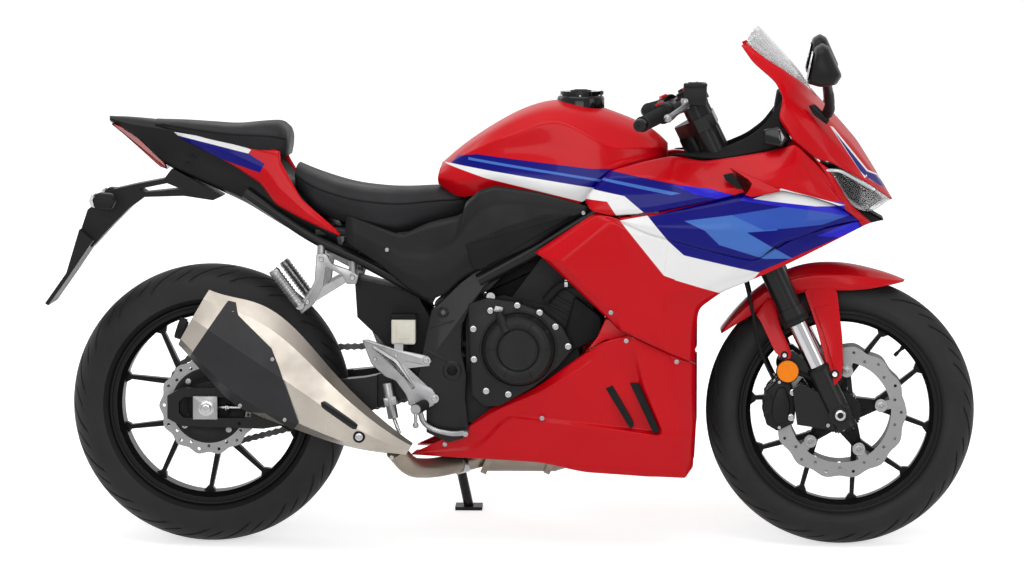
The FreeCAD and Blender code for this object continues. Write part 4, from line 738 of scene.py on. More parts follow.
def remap(tree: Tree, value: Socket, low: float, high: float, to_low: float,
          to_high: float) -> Socket:
    """A value's range, clamped and mapped to another range.

    Args:
        tree: the tree.
        value: the value.
        low: start of its range.
        high: end of its range.
        to_low: start of the new range.
        to_high: end of the new range.

    Returns:
        The mapped value.
    """
    inputs = {"Value": value, "From Min": low, "From Max": high, "To Min": to_low, "To Max": to_high}
    return add_node(tree, "ShaderNodeMapRange", inputs).outputs["Result"]


@dataclass(frozen=True)
class SurfaceBreakup:
    """Numbers of one effect: a fine pattern for height and a broad one for shade and gloss.

    Attributes:
        fine: scale of the fine pattern, per metre.
        stretch: how the fine pattern is drawn out along X, Y and Z.
        cells: whether the fine pattern is made of cells, as in grained vinyl.
        broad: scale of the broad pattern, per metre.
        gloss: how far roughness moves either way.
        shade: how far the colour darkens in the hollows.
    """

    fine: float
    stretch: Point = (1.0, 1.0, 1.0)
    cells: bool = False
    broad: float = 9.0
    gloss: float = 0.04
    shade: float = 0.06


BREAKUPS = {
    Effect.PAINT: SurfaceBreakup(420.0, broad=6.0, gloss=0.02, shade=0.03),
    Effect.MOULDED: SurfaceBreakup(1500.0, broad=14.0, gloss=0.06, shade=0.10),
    Effect.CAST: SurfaceBreakup(900.0, broad=22.0, gloss=0.09, shade=0.16),
    Effect.BRUSHED: SurfaceBreakup(1400.0, (0.04, 1.0, 1.0), broad=12.0, gloss=0.10, shade=0.08),
    Effect.RUBBER: SurfaceBreakup(700.0, broad=10.0, gloss=0.07, shade=0.14),
    Effect.VINYL: SurfaceBreakup(520.0, cells=True, broad=12.0, gloss=0.07, shade=0.14),
}


def breakup_group(effect: Effect) -> Tree:
    """The node group of one effect: Height for bump, Shade and Gloss for colour and roughness.

    Args:
        effect: which effect.

    Returns:
        The group, made at its first use.
    """
    name = "Surface " + effect.value
    if name in bpy.data.node_groups:
        return bpy.data.node_groups[name]
    spec = BREAKUPS[effect]
    tree, given, out = new_group(name, (("Height", "NodeSocketFloat"), ("Shade", "NodeSocketFloat"),
        ("Gloss", "NodeSocketFloat")))
    stretched = add_node(tree, "ShaderNodeMapping", {"Vector": given.outputs["Vector"], "Scale": spec.stretch})
    if spec.cells:
        cell = add_node(tree, "ShaderNodeTexVoronoi", {"Vector": stretched.outputs["Vector"], "Scale": spec.fine},
            feature="SMOOTH_F1")
        fine = cell.outputs["Distance"]
    else:
        noise = add_node(tree, "ShaderNodeTexNoise", {"Vector": stretched.outputs["Vector"], "Scale": spec.fine,
            "Detail": 3.0, "Roughness": 0.55})
        fine = noise.outputs[0]
    broad = add_node(tree, "ShaderNodeTexNoise", {"Vector": given.outputs["Vector"], "Scale": spec.broad,
        "Detail": 5.0, "Roughness": 0.6}).outputs[0]
    shade = remap(tree, broad, 0.3, 0.7, 1.0 - spec.shade, 1.0 + spec.shade)
    gloss = remap(tree, broad, 0.3, 0.7, spec.gloss, -spec.gloss)
    tree.links.new(fine, out.inputs["Height"])
    tree.links.new(shade, out.inputs["Shade"])
    tree.links.new(gloss, out.inputs["Gloss"])
    return tree


def upright_vector(tree: Tree) -> Socket:
    """Object coordinates turned back to the upright bike, in thousandths of the wheelbase.

    Args:
        tree: the tree.

    Returns:
        The vector.
    """
    place = add_node(tree, "ShaderNodeTexCoord").outputs["Object"]
    back = -(STANCE.turn().T @ np.array(STANCE.shift)) / SHARE
    mapping = add_node(tree, "ShaderNodeMapping", {"Vector": place, "Location": tuple(back),
        "Rotation": (-STANCE.lean, 0.0, 0.0), "Scale": (1 / SHARE,) * 3}, vector_type="POINT")
    return mapping.outputs["Vector"]


@dataclass(frozen=True)
class Finish:
    """A finish: one colour, its gloss, and what breaks up its surface.

    Attributes:
        name: the material's name.
        tint: base colour.
        effect: what breaks up the surface.
        metallic: how metallic it is.
        roughness: mean roughness.
        coat: weight of a clear coat.
        bump: height of the fine pattern, in metres.
        specular: strength of the plain reflection.
        slot: the record's material slot for new pieces; not used.
    """

    name: str
    tint: Colour
    effect: Effect = Effect.MOULDED
    metallic: float = 0.0
    roughness: float = 0.45
    coat: float = 0.0
    bump: float = 0.00006
    specular: float = 0.14
    slot: str | None = None

    def material(self) -> bpy.types.Material:
        """The finish's material, made at its first use.

        Returns:
            The material.
        """
        if self.name in bpy.data.materials:
            return bpy.data.materials[self.name]
        made = bpy.data.materials.new(self.name)
        made.use_nodes = True
        made.diffuse_color = (*self.tint, 1.0)
        tree = made.node_tree
        shader = next(n for n in tree.nodes if n.type == "BSDF_PRINCIPLED")
        shader.inputs["Metallic"].default_value = self.metallic
        shader.inputs["Specular IOR Level"].default_value = self.specular
        shader.inputs["Coat Weight"].default_value = self.coat
        shader.inputs["Coat Roughness"].default_value = 0.04
        place = add_node(tree, "ShaderNodeTexCoord").outputs["Object"]
        pattern = add_node(tree, "ShaderNodeGroup", node_tree=breakup_group(self.effect))
        tree.links.new(place, pattern.inputs["Vector"])
        self.colour_into(tree, shader, pattern)
        rough = maths(tree, "ADD", pattern.outputs["Gloss"], self.roughness)
        tree.links.new(rough, shader.inputs["Roughness"])
        bump = add_node(tree, "ShaderNodeBump", {"Height": pattern.outputs["Height"], "Strength": 1.0,
            "Distance": self.bump})
        tree.links.new(bump.outputs["Normal"], shader.inputs["Normal"])
        self.extras(tree, shader)
        return made

    def colour_into(self, tree: Tree, shader: Node, pattern: Node) -> None:
        """Joins the finish's own colour to the shader."""
        self.shaded_into(tree, shader, pattern, self.tint)

    def shaded_into(self, tree: Tree, shader: Node, pattern: Node, tint: "Colour | Socket") -> None:
        """Joins a colour to the shader, times the broad pattern's shade."""
        shaded = add_node(tree, "ShaderNodeVectorMath", {0: tint, "Scale": pattern.outputs["Shade"]}, operation="SCALE")
        tree.links.new(shaded.outputs[0], shader.inputs["Base Color"])

    def extras(self, tree: Tree, shader: Node) -> None:
        """Nothing more on a plain finish."""


@dataclass(frozen=True)
class Zone:
    """A patch of paint: a convex outline seen from the side, in thousandths of the wheelbase.

    Attributes:
        tint: its colour.
        corners: outline corners (x, z), in order either way.
        edge: width of its soft edge, in thousandths.
    """

    tint: Colour
    corners: Outline
    edge: float = 0.6

    def half_planes(self) -> list[tuple[Point, float]]:
        """The sides of the outline as half planes.

        Returns:
            For each side, the inward direction and its distance from zero.
        """
        flat = np.asarray(self.corners, float)
        if signed_area(flat) < 0:
            flat = flat[::-1]
        ahead = np.roll(flat, -1, 0) - flat
        inward = np.stack([-ahead[:, 1], ahead[:, 0]], 1)
        inward /= np.linalg.norm(inward, axis=1)[:, None]
        return [((float(n[0]), 0.0, float(n[1])), float(n @ p)) for n, p in zip(inward, flat)]


def livery_group(name: str, base: Colour, zones: Sequence[Zone]) -> Tree:
    """A node group that paints flat zones over a base colour, seen from the side.

    Inside a zone, the least distance to any of its sides is above zero; that distance, divided by the soft
    edge and clamped, mixes the zone's colour over what lies under it.

    Args:
        name: the group's name.
        base: the colour under all zones.
        zones: the zones, lowest first.

    Returns:
        The group, with a Color output.
    """
    if name in bpy.data.node_groups:
        return bpy.data.node_groups[name]
    tree, given, out = new_group(name, (("Color", "NodeSocketColor"),))
    under: Socket | None = None
    for zone in zones:
        least: Socket | None = None
        for inward, reach in zone.half_planes():
            dot = add_node(tree, "ShaderNodeVectorMath", {0: given.outputs["Vector"], 1: inward},
                operation="DOT_PRODUCT").outputs["Value"]
            gap = maths(tree, "SUBTRACT", dot, reach)
            least = gap if least is None else maths(tree, "MINIMUM", least, gap)
        mask = remap(tree, least, -zone.edge / 2, zone.edge / 2, 0.0, 1.0)
        mix = add_node(tree, "ShaderNodeMix", data_type="RGBA")
        tree.links.new(mask, mix.inputs[0])
        mix.inputs[7].default_value = (*zone.tint, 1.0)
        if under is None:
            mix.inputs[6].default_value = (*base, 1.0)
        else:
            tree.links.new(under, mix.inputs[6])
        under = mix.outputs[2]
    tree.links.new(under, out.inputs["Color"])
    return tree


@dataclass(frozen=True)
class Livery(Finish):
    """Gloss paint in several colours, in zones seen from the side.

    Attributes:
        zones: the zones, lowest first.
    """

    zones: tuple[Zone, ...] = ()

    def colour_into(self, tree: Tree, shader: Node, pattern: Node) -> None:
        """Joins the zones' colours to the shader.

        Args:
            tree: the material's tree.
            shader: its main shader.
            pattern: the node that breaks up the surface.
        """
        zoned = add_node(tree, "ShaderNodeGroup", node_tree=livery_group(self.name + " zones", self.tint, self.zones))
        tree.links.new(upright_vector(tree), zoned.inputs["Vector"])
        self.shaded_into(tree, shader, pattern, zoned.outputs["Color"])


@dataclass(frozen=True)
class Clear(Finish):
    """A clear or tinted moulding, partly see-through.

    Attributes:
        alpha: how much of it hides what is behind.
        passing: weight of transmission.
    """

    alpha: float = 1.0
    passing: float = 0.9

    def extras(self, tree: Tree, shader: Node) -> None:
        """Sets transmission and see-through weight on the shader's own sockets.

        Args:
            tree: the material's tree.
            shader: its main shader.
        """
        shader.inputs["Transmission Weight"].default_value = self.passing
        shader.inputs["IOR"].default_value = 1.45
        shader.inputs["Alpha"].default_value = self.alpha


@dataclass(frozen=True)
class Lamp(Finish):
    """A finish that also gives a little light of its own.

    Attributes:
        glow: strength of its own light.
    """

    glow: float = 0.4

    def extras(self, tree: Tree, shader: Node) -> None:
        """Sets the light on the shader's own sockets."""
        shader.inputs["Emission Color"].default_value = (*self.tint, 1.0)
        shader.inputs["Emission Strength"].default_value = self.glow


RED = colour(188, 4, 18)
DEEP_BLUE = colour(3, 3, 112)
BRIGHT_BLUE = colour(36, 30, 190)
LIGHT_BLUE = colour(64, 106, 182)
MID_BLUE = colour(46, 80, 170)
WHITE = colour(228, 228, 228)

RED_PAINT = Finish("red_gloss", RED, Effect.PAINT, roughness=0.3, coat=0.1, bump=2e-6, specular=0.1, slot="red_paint")
BLACK_PLASTIC = Finish("black_satin_plastic", colour(21, 21, 22), Effect.MOULDED, roughness=0.42, bump=3e-5,
    slot="black_plastic")
DARK_PLASTIC = Finish("black_matt_plastic", colour(15, 15, 16), Effect.MOULDED, roughness=0.6, bump=5e-5,
    slot="black_plastic")
GLOSS_BLACK = Finish("black_gloss", colour(13, 13, 14), Effect.PAINT, roughness=0.16, coat=0.2, bump=4e-6,
    slot="black_plastic")
FRAME_PAINT = Finish("black_frame_paint", colour(24, 24, 25), Effect.PAINT, roughness=0.34, coat=0.08, bump=2e-5,
    slot="frame_paint")
WHEEL_PAINT = Finish("black_wheel_paint", colour(16, 16, 17), Effect.PAINT, roughness=0.4, coat=0.04, specular=0.1,
    bump=1e-5, slot="wheel_paint")
# Same cast finish as the covers, set darker: painted shade for the engine body, shock and fins, which sit in shadow
# behind the covers and fairing.
ENGINE_CAST_SHADED = Finish("cast_engine_shaded_black", colour(24, 24, 24), Effect.CAST, metallic=0.1, roughness=0.46, bump=6e-5,
    slot="engine_casting")
ENGINE_COVER = Finish("engine_cover", colour(30, 30, 30), Effect.CAST, metallic=0.12, roughness=0.4, bump=5e-5,
    slot="engine_casting")
BARE_ALLOY = Finish("bare_alloy", colour(140, 140, 141), Effect.CAST, metallic=0.9, roughness=0.36, bump=4e-5,
    slot="steel")
DISC_STEEL = Finish("disc_steel", colour(128, 128, 128), Effect.BRUSHED, metallic=0.95, roughness=0.34, bump=2e-5,
    slot="steel")
BRIGHT_STEEL = Finish("bright_steel", colour(165, 165, 166), Effect.BRUSHED, metallic=1.0, roughness=0.22, bump=1e-5,
    slot="steel")
CHAIN_STEEL = Finish("chain_steel", colour(84, 83, 81), Effect.CAST, metallic=0.85, roughness=0.42, slot="steel")
CHROME = Finish("chromed_tube", colour(176, 176, 178), Effect.BRUSHED, metallic=1.0, roughness=0.08, bump=2e-6,
    slot="chromed")
TITANIUM = Finish("silencer_metal", colour(162, 155, 146), Effect.BRUSHED, metallic=0.85, roughness=0.34, bump=1e-5,
    slot="steel")
HEADER_STEEL = Finish("header_steel", colour(130, 121, 110), Effect.BRUSHED, metallic=0.9, roughness=0.4, slot="steel")
CALIPER_PAINT = Finish("satin_caliper_black", colour(22, 22, 22), Effect.CAST, metallic=0.1, roughness=0.38, bump=4e-5,
    slot="caliper_black")
SHIELD_BLACK = Finish("shield_black", colour(44, 44, 46), Effect.MOULDED, roughness=0.36, bump=2e-5,
    slot="caliper_black")
RUBBER = Finish("black_rubber", colour(20, 20, 20), Effect.RUBBER, roughness=0.62, bump=0.00008, slot="rubber")
TYRE_RUBBER = Finish("tyre_rubber", colour(38, 38, 39), Effect.RUBBER, roughness=0.55, bump=0.00006, slot="tyre")
SEAT_VINYL = Finish("seat_vinyl", colour(30, 30, 32), Effect.VINYL, roughness=0.52, bump=0.00012, slot="seat_cover")
CUP_PLASTIC = Finish("cup_plastic", colour(208, 206, 192), Effect.MOULDED, roughness=0.35, slot="cup")
AMBER = Finish("amber_lens", colour(238, 128, 4), Effect.PAINT, roughness=0.16, coat=0.15, slot="lamp_red")
RED_SWITCH = Finish("red_switch", colour(190, 20, 24), Effect.MOULDED, roughness=0.35, slot="lamp_red")
LAMP_RED = Lamp("red_lamp", colour(150, 8, 12), Effect.PAINT, roughness=0.14, coat=0.8, slot="lamp_red", glow=0.06)
LAMP_WHITE = Lamp("white_lamp", colour(225, 227, 230), Effect.PAINT, roughness=0.3, slot="lens", glow=0.2)
LAMP_WHITE_CLEAR = Finish("pale_lens", colour(206, 208, 206), Effect.PAINT, roughness=0.12, coat=0.6, slot="lens")
SCREEN = Clear("smoked_screen", colour(158, 162, 164), Effect.PAINT, roughness=0.03, bump=0.0, slot="screen",
    alpha=0.5, passing=0.85)
LENS = Clear("clear_lens", colour(112, 114, 118), Effect.PAINT, roughness=0.03, bump=0.0, slot="lens", alpha=0.35,
    passing=0.85)
RADIATOR_BLACK = Finish("radiator_black", colour(16, 16, 18), Effect.MOULDED, metallic=0.3, roughness=0.5,
    slot="caliper_black")

MAIN_ZONES = (
    Zone(DEEP_BLUE, ((697, 529), (852, 567), (1012, 545), (1034, 509), (869, 441), (754, 469), (730, 491))),
    Zone(WHITE, ((654, 523), (697, 531), (730, 491), (723, 437))),
    Zone(WHITE, ((730, 491), (762, 462), (748, 428), (723, 437))),
    Zone(WHITE, ((754, 469), (822, 452), (812, 414), (740, 430))),
    Zone(WHITE, ((754, 469), (872, 441), (860, 428), (812, 408), (740, 430))),
    Zone(LIGHT_BLUE, ((755, 523), (829, 532), (852, 505), (789, 507))),
    Zone(LIGHT_BLUE, ((829, 532), (880, 537), (900, 508), (852, 505), (822, 507))),
    Zone(LIGHT_BLUE, ((786, 509), (856, 508), (852, 503), (810, 485))),
    Zone(LIGHT_BLUE, ((852, 505), (924, 462), (880, 463), (808, 486), (826, 500))),
    Zone(MID_BLUE, ((829, 532), (913, 545), (1011, 528), (970, 515), (880, 508))),
    Zone(BRIGHT_BLUE, ((962, 497), (1024, 520), (1030, 507), (996, 494))),
    Zone(BRIGHT_BLUE, ((843, 554), (847, 561), (890, 553), (966, 536))),
    Zone(BRIGHT_BLUE, ((890, 553), (1004, 543), (1014, 538), (1012, 527), (966, 536))),
    Zone(WHITE, ((862, 557), (898, 570), (941, 562), (960, 544), (890, 553))),
    Zone(WHITE, ((898, 570), (906, 572), (1006, 543), (960, 544))),
)
SHOULDER_ZONES = (
    Zone(DEEP_BLUE, ((610, 600), (641, 599), (829, 563), (661, 561), (600, 573))),
    Zone(DEEP_BLUE, ((655, 566), (829, 565), (829, 563), (790, 540), (690, 535))),
    Zone(BRIGHT_BLUE, ((735, 580), (796, 573), (831, 563), (806, 557), (772, 564))),
    Zone(LIGHT_BLUE, ((620, 590), (749, 566), (735, 563), (683, 573), (620, 586))),
    Zone(WHITE, ((595, 574), (661, 561), (634, 552), (590, 557))),
    Zone(WHITE, ((661, 561), (691, 536), (652, 525), (634, 552))),
    Zone(BRIGHT_BLUE, ((843, 554), (852, 567), (1002, 549), (1012, 527))),
    Zone(WHITE, ((862, 555), (898, 570), (906, 573), (1006, 545), (960, 542))),
)


def gloss(name: str, tint: Colour = RED, zones: tuple[Zone, ...] = ()) -> "Livery":
    """Gloss bodywork paint in one colour, with zones over it."""
    return Livery(name, tint, Effect.PAINT, roughness=0.3, coat=0.1, bump=2e-6, specular=0.1, slot="red_paint",
        zones=zones)


MAIN_PAINT = gloss("main_livery", zones=MAIN_ZONES)
SHOULDER_PAINT = gloss("shoulder_livery", zones=SHOULDER_ZONES)
TANK_PAINT = gloss("tank_livery", zones=(
    Zone(DEEP_BLUE, ((384, 607), (396, 619), (427, 622), (640, 597), (607, 569))),
    Zone(DEEP_BLUE, ((600, 601), (720, 600), (700, 560), (607, 569))),
    Zone(LIGHT_BLUE, ((413, 617), (640, 582), (640, 578), (413, 613))),
    Zone(WHITE, ((372, 607), (384, 607), (680, 560), (598, 548), (441, 585))),
))
TAIL_PAINT = gloss("tail_livery", zones=(
    Zone(WHITE, ((-58, 660), (40, 641), (70, 628), (60, 614), (-60, 648))),
    Zone(DEEP_BLUE, ((-58, 652), (66, 622), (92, 606), (84, 592), (-60, 640))),
))
NOSE_PAINT = gloss("nose_livery", zones=(
    Zone(WHITE, ((982, 667), (987, 665), (1046, 592), (1037, 585))),
    Zone(WHITE, ((1036, 600), (1058, 589), (1078, 564), (1062, 571), (1044, 583))),
    Zone(DEEP_BLUE, ((987, 661), (1042, 593), (1038, 588), (1030, 596))),
    Zone(DEEP_BLUE, ((1038, 596), (1056, 588), (1075, 565), (1060, 572), (1042, 585))),
))


# Where it stands and how it is lit


@dataclass(frozen=True)
class Studio:
    """Camera, floor and lights.

    Attributes:
        camera_at: where the camera is, on the upright bike's axes, in metres.
        aimed_at: what it looks at, on the same axes.
        lens: focal length on a 36 mm wide sensor, in millimetres.
        floor_half: half the floor's side, in metres.
        daylight: strength of the even light from all round.
        floor_glow: how much lighter the floor looks than the light on it makes it.
    """

    camera_at: Point = (1.251, -12.900, 1.560)
    aimed_at: Point = (0.675, 0.0, 0.572)
    lens: float = 203.0
    floor_half: float = 60.0
    daylight: float = 0.42
    floor_glow: float = 0.6

    def build(self) -> None:
        """Makes the camera, the floor, the world and the lights, and shows colours as they are written."""
        bpy.context.scene.view_settings.view_transform = "Standard"
        self.camera()
        self.floor()
        self.world()
        self.softbox("top_light", (0.4, -0.6, 4.2), (0.7, 0.0, 0.5), (4.5, 3.0), 105.0)
        self.softbox("side_light", (0.2, -6.5, 3.0), (0.7, 0.0, 0.6), (5.0, 2.4), 130.0)
        self.softbox("front_light", (5.5, -2.5, 2.2), (0.8, 0.0, 0.6), (2.0, 3.0), 45.0)
        self.softbox("back_light", (-3.6, 3.2, 2.8), (0.4, 0.0, 0.6), (2.6, 2.6), 45.0)

    def camera(self) -> None:
        """Stands the camera where the photograph was taken from."""
        data = bpy.data.cameras.new("photo_camera")
        data.lens = self.lens
        data.sensor_width = 36.0
        data.sensor_fit = "HORIZONTAL"
        data.clip_end = 200.0
        camera = bpy.data.objects.new("photo_camera", data)
        spot = Vector(STANCE.place(np.array(self.camera_at)))
        target = Vector(STANCE.place(np.array(self.aimed_at)))
        back = (spot - target).normalized()
        up = Vector(STANCE.way((0.0, 0.0, 1.0)))
        right = up.cross(back).normalized()
        turn = Matrix((right, back.cross(right), back)).transposed().to_4x4()
        camera.matrix_world = Matrix.Translation(spot) @ turn
        into_scene(camera)
        bpy.context.scene.camera = camera

    def floor(self) -> None:
        """Lays the pale floor, which looks a little lighter to the camera than it is to the bike."""
        h = self.floor_half
        mesh = bpy.data.meshes.new("floor")
        mesh.from_pydata([(-h, -h, 0), (h, -h, 0), (h, h, 0), (-h, h, 0)], [], [(0, 1, 2, 3)])
        floor = bpy.data.objects.new("floor", mesh)
        into_scene(floor)
        made = bpy.data.materials.new("pale_floor")
        made.use_nodes = True
        tree = made.node_tree
        shader = next(n for n in tree.nodes if n.type == "BSDF_PRINCIPLED")
        shader.inputs["Base Color"].default_value = (0.86, 0.86, 0.86, 1)
        shader.inputs["Roughness"].default_value = 0.9
        shader.inputs["Specular IOR Level"].default_value = 0.0
        shader.inputs["Emission Color"].default_value = (1, 1, 1, 1)
        glow = maths(tree, "MULTIPLY", self.seen(tree), self.floor_glow)
        tree.links.new(glow, shader.inputs["Emission Strength"])
        mesh.materials.append(made)

    def seen(self, tree: Tree) -> Socket:
        """One for what the camera sees, also in metal and through glass, and zero for the light that falls.

        Args:
            tree: the material's tree.

        Returns:
            The socket with that value.
        """
        path = add_node(tree, "ShaderNodeLightPath")
        both = maths(tree, "MAXIMUM", path.outputs["Is Camera Ray"], path.outputs["Is Glossy Ray"])
        return maths(tree, "MAXIMUM", both, path.outputs["Is Transmission Ray"])

    def world(self) -> None:
        """Even pale light from all round, white where it is seen."""
        world = bpy.data.worlds.new("studio")
        world.use_nodes = True
        background = world.node_tree.nodes["Background"]
        background.inputs["Color"].default_value = (1.0, 1.0, 1.0, 1.0)
        strength = remap(world.node_tree, self.seen(world.node_tree), 0.0, 1.0, self.daylight, 1.0)
        world.node_tree.links.new(strength, background.inputs["Strength"])
        bpy.context.scene.world = world

    def softbox(self, name: str, spot: Point, target: Point, size: tuple[float, float], power: float) -> None:
        """A soft rectangular light aimed at the bike.

        Args:
            name: the light's name.
            spot: where it hangs, upright axes, in metres.
            target: what it is aimed at.
            size: its width and height in metres.
            power: its power in watts.
        """
        data = bpy.data.lights.new(name, "AREA")
        data.shape = "RECTANGLE"
        data.size, data.size_y = size
        data.energy = power
        light = bpy.data.objects.new(name, data)
        way = Vector(target) - Vector(spot)
        light.rotation_euler = way.to_track_quat("-Z", "Y").to_euler()
        light.location = Vector(spot) + Vector(STANCE.place(np.zeros(3)))
        into_scene(light)


# Bodywork


@dataclass(frozen=True)
class Panel:
    """A skin given by a net of control points (x, z, half width) in thousandths, bottom row first.

    Attributes:
        rows: the net's rows, each with as many points.
        along: bend shares of the columns, from the rear to the front.
        across: bend shares of the rows.
        straight: pieces in a straight run.
        bend: pieces in a bend.
    """

    rows: Net
    along: Bends = 0.35
    across: Bends = 0.2
    straight: int = 3
    bend: int = 4

    def net(self) -> Array:
        """The control points on the bike's right-hand side, in metres."""
        return shares(self.rows)[..., [0, 2, 1]] * MIRROR

    def skin(self) -> Shape:
        """The right-hand skin, facing outward."""
        grid = net_surface(self.net(), self.along, self.across, self.straight, self.bend)
        return face_towards(from_grid(grid), OUT)

    def hull(self, last_on_middle: bool = True) -> Shape:
        """A closed body: the right-hand rows, then their mirror images, wrapped below and capped at both ends.

        Args:
            last_on_middle: whether the last row lies on the middle plane and so isn't repeated.

        Returns:
            The closed shape.
        """
        right = self.net()
        left = right[::-1] * MIRROR
        if last_on_middle:
            left = left[1:]
        across: Bends = self.across
        if not isinstance(across, float):
            across = across + (across[::-1][1:] if last_on_middle else across[::-1])
        grid = net_surface(np.concatenate([right, left]), self.along, across, self.straight, self.bend)
        return from_grid(grid.transpose(1, 0, 2), wrap_columns=True, capped=True)


SKIN = Trim(thickness=0.0028, sharp=28.0)
SOLID = Trim(sharp=32.0)


def put_skin(name: str, panel: Panel, finish: Finish, *nodes: str) -> None:
    """Puts a panel's skin on both sides, with its wall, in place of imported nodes."""
    put(name, panel.skin().both(), finish, SKIN, replaces=nodes)


@dataclass(frozen=True)
class Tank:
    """The fuel tank with its knee creases, filler ring and lid.

    Attributes:
        shell: the tank's body.
        ring_radius: outer radius of the filler ring, in metres.
    """

    shell: Panel = Panel((
        ((364, 573, 40), (400, 548, 60), (453, 570, 88), (495, 563, 95), (535, 555, 100), (565, 550, 102),
         (592, 542, 104), (637, 590, 104), (680, 606, 84), (712, 614, 58), (725, 612, 16)),
        ((363, 582, 45), (395, 577, 74), (448, 592, 95), (492, 588, 103), (535, 578, 107), (570, 571, 109),
         (604, 573, 110), (641, 604, 105), (681, 615, 84), (711, 620, 58), (726, 618, 18)),
        ((364, 588, 43), (396, 598, 69), (452, 622, 85), (497, 628, 91), (540, 631, 95), (575, 628, 100),
         (610, 615, 105), (645, 614, 98), (684, 621, 78), (712, 625, 53), (726, 624, 17)),
        ((366, 597, 36), (400, 618, 63), (456, 644, 84), (493, 656, 92), (530, 673, 95), (562, 675, 95),
         (600, 655, 100), (640, 632, 98), (684, 632, 76), (712, 632, 50), (726, 629, 15)),
        ((368, 602, 22), (402, 628, 44), (450, 660, 60), (495, 682, 64), (535, 695, 62), (565, 695, 61),
         (600, 687, 60), (645, 670, 58), (686, 655, 50), (713, 640, 32), (726, 634, 9)),
        ((368, 606, 0), (402, 637, 0), (446, 667, 0), (495, 695, 0), (538, 708, 0), (572, 709, 0), (605, 704, 0),
         (648, 690, 0), (690, 672, 0), (716, 652, 0), (726, 638, 0)),
    ), along=0.5, across=(0.0, 0.28, 0.3, 0.10, 0.34, 0.5), straight=3, bend=6)
    ring_radius: float = 0.053

    def build(self) -> None:
        """Makes the shell and the filler."""
        put("tank_shell", self.shell.hull(), TANK_PAINT, SOLID, replaces=["tank"])
        self.filler()

    def filler(self) -> None:
        """The filler ring with its screws, and the lid with its lock flap."""
        seat = shares((588, 0, 702)) + np.array([0, 0, 0.014])
        ring = turned(seat - (0, 0, 0.03), (0, 0, 1), [(0, self.ring_radius), (0.024, self.ring_radius),
            (0.028, self.ring_radius - 0.002), (0.03, self.ring_radius - 0.006)], 48)
        put("filler_ring", ring, GLOSS_BLACK)
        spots = [polar_top(seat, self.ring_radius - 0.0045, 60 * k + 30) for k in range(6)]
        put("filler_screws", Shape.join([cap_screw(s - (0, 0, 0.001), (0, 0, 1), 0.0028, 0.0028) for s in spots]),
            BRIGHT_STEEL)
        base = seat + np.array([0, 0, 0.0093])
        boss = turned(base - (0, 0, 0.0005), (0, 0, 1), mm(0, 24, 2.2, 23.5, 3, 21), 36)
        flap = plate(mm(-14, -7, 14, -7, 14, 7, -14, 7), base + (0, 0, 0.002), (1, 0, 0), (0, 1, 0), 0.002, 0.0006,
            0.3)
        put("lid_flap", Shape.join([boss, flap]), DARK_PLASTIC, body=Body.CAP)


def polar_top(centre: Array, radius: float, degrees: float) -> Array:
    """A point on a level circle."""
    a = math.radians(degrees)
    return np.asarray(centre, float) + np.array([radius * math.cos(a), radius * math.sin(a), 0.0])


@dataclass(frozen=True)
class SideCovers:
    """The black covers between tank, seat and frame, with their raised strips."""

    cover: Panel = Panel((
        ((221, 484, 102), (278, 447, 108), (317, 413, 111), (352, 392, 113), (380, 405, 114), (405, 428, 115),
         (430, 442, 115), (462, 455, 115), (519, 482, 116), (560, 509, 114), (606, 537, 112)),
        ((221, 494, 104), (276, 462, 111), (315, 436, 114), (354, 424, 116), (385, 438, 118), (414, 466, 120),
         (437, 472, 120), (470, 486, 120), (524, 508, 120), (565, 523, 117), (606, 538, 112)),
        ((221, 508, 104), (273, 484, 111), (312, 466, 113), (354, 462, 115), (390, 486, 117), (412, 516, 117),
         (437, 538, 116), (470, 548, 115), (528, 543, 115), (572, 538, 113), (607, 539, 111)),
        ((222, 529, 100), (268, 511, 104), (309, 496, 104), (353, 516, 100), (404, 528, 98), (410, 547, 98),
         (434, 568, 100), (458, 574, 102), (527, 564, 106), (580, 549, 108), (607, 541, 109)),
    ), along=0.22, across=(0.0, 0.16, 0.22, 0.0))
    strip: Outline = ((411, 484), (424, 487), (477, 511), (538, 530), (582, 530), (505, 485), (436, 443), (423, 444))

    def build(self) -> None:
        """Makes both covers, their strips and screws."""
        put_skin("side_cover_skins", self.cover, BLACK_PLASTIC, "side_covers")
        flat = np.asarray(self.strip, float)
        rise = plate(flat * SHARE, (0, 0, 0), (1, 0, 0), (0, 0, 1), 0.010, 0.0022, 0.12)
        strip = rise.moved((0, -117.5 * SHARE, 0))
        put("side_cover_strips", strip.both(), DARK_PLASTIC, SOLID)
        spots = [(287, 473, 112.5), (596, 532, 113.5)]
        screws = [cap_screw(shares((x, -w, z)), OUT, 0.0046, 0.0035) for x, z, w in spots]
        put("side_cover_screws", Shape.join(screws).both(), BARE_ALLOY)


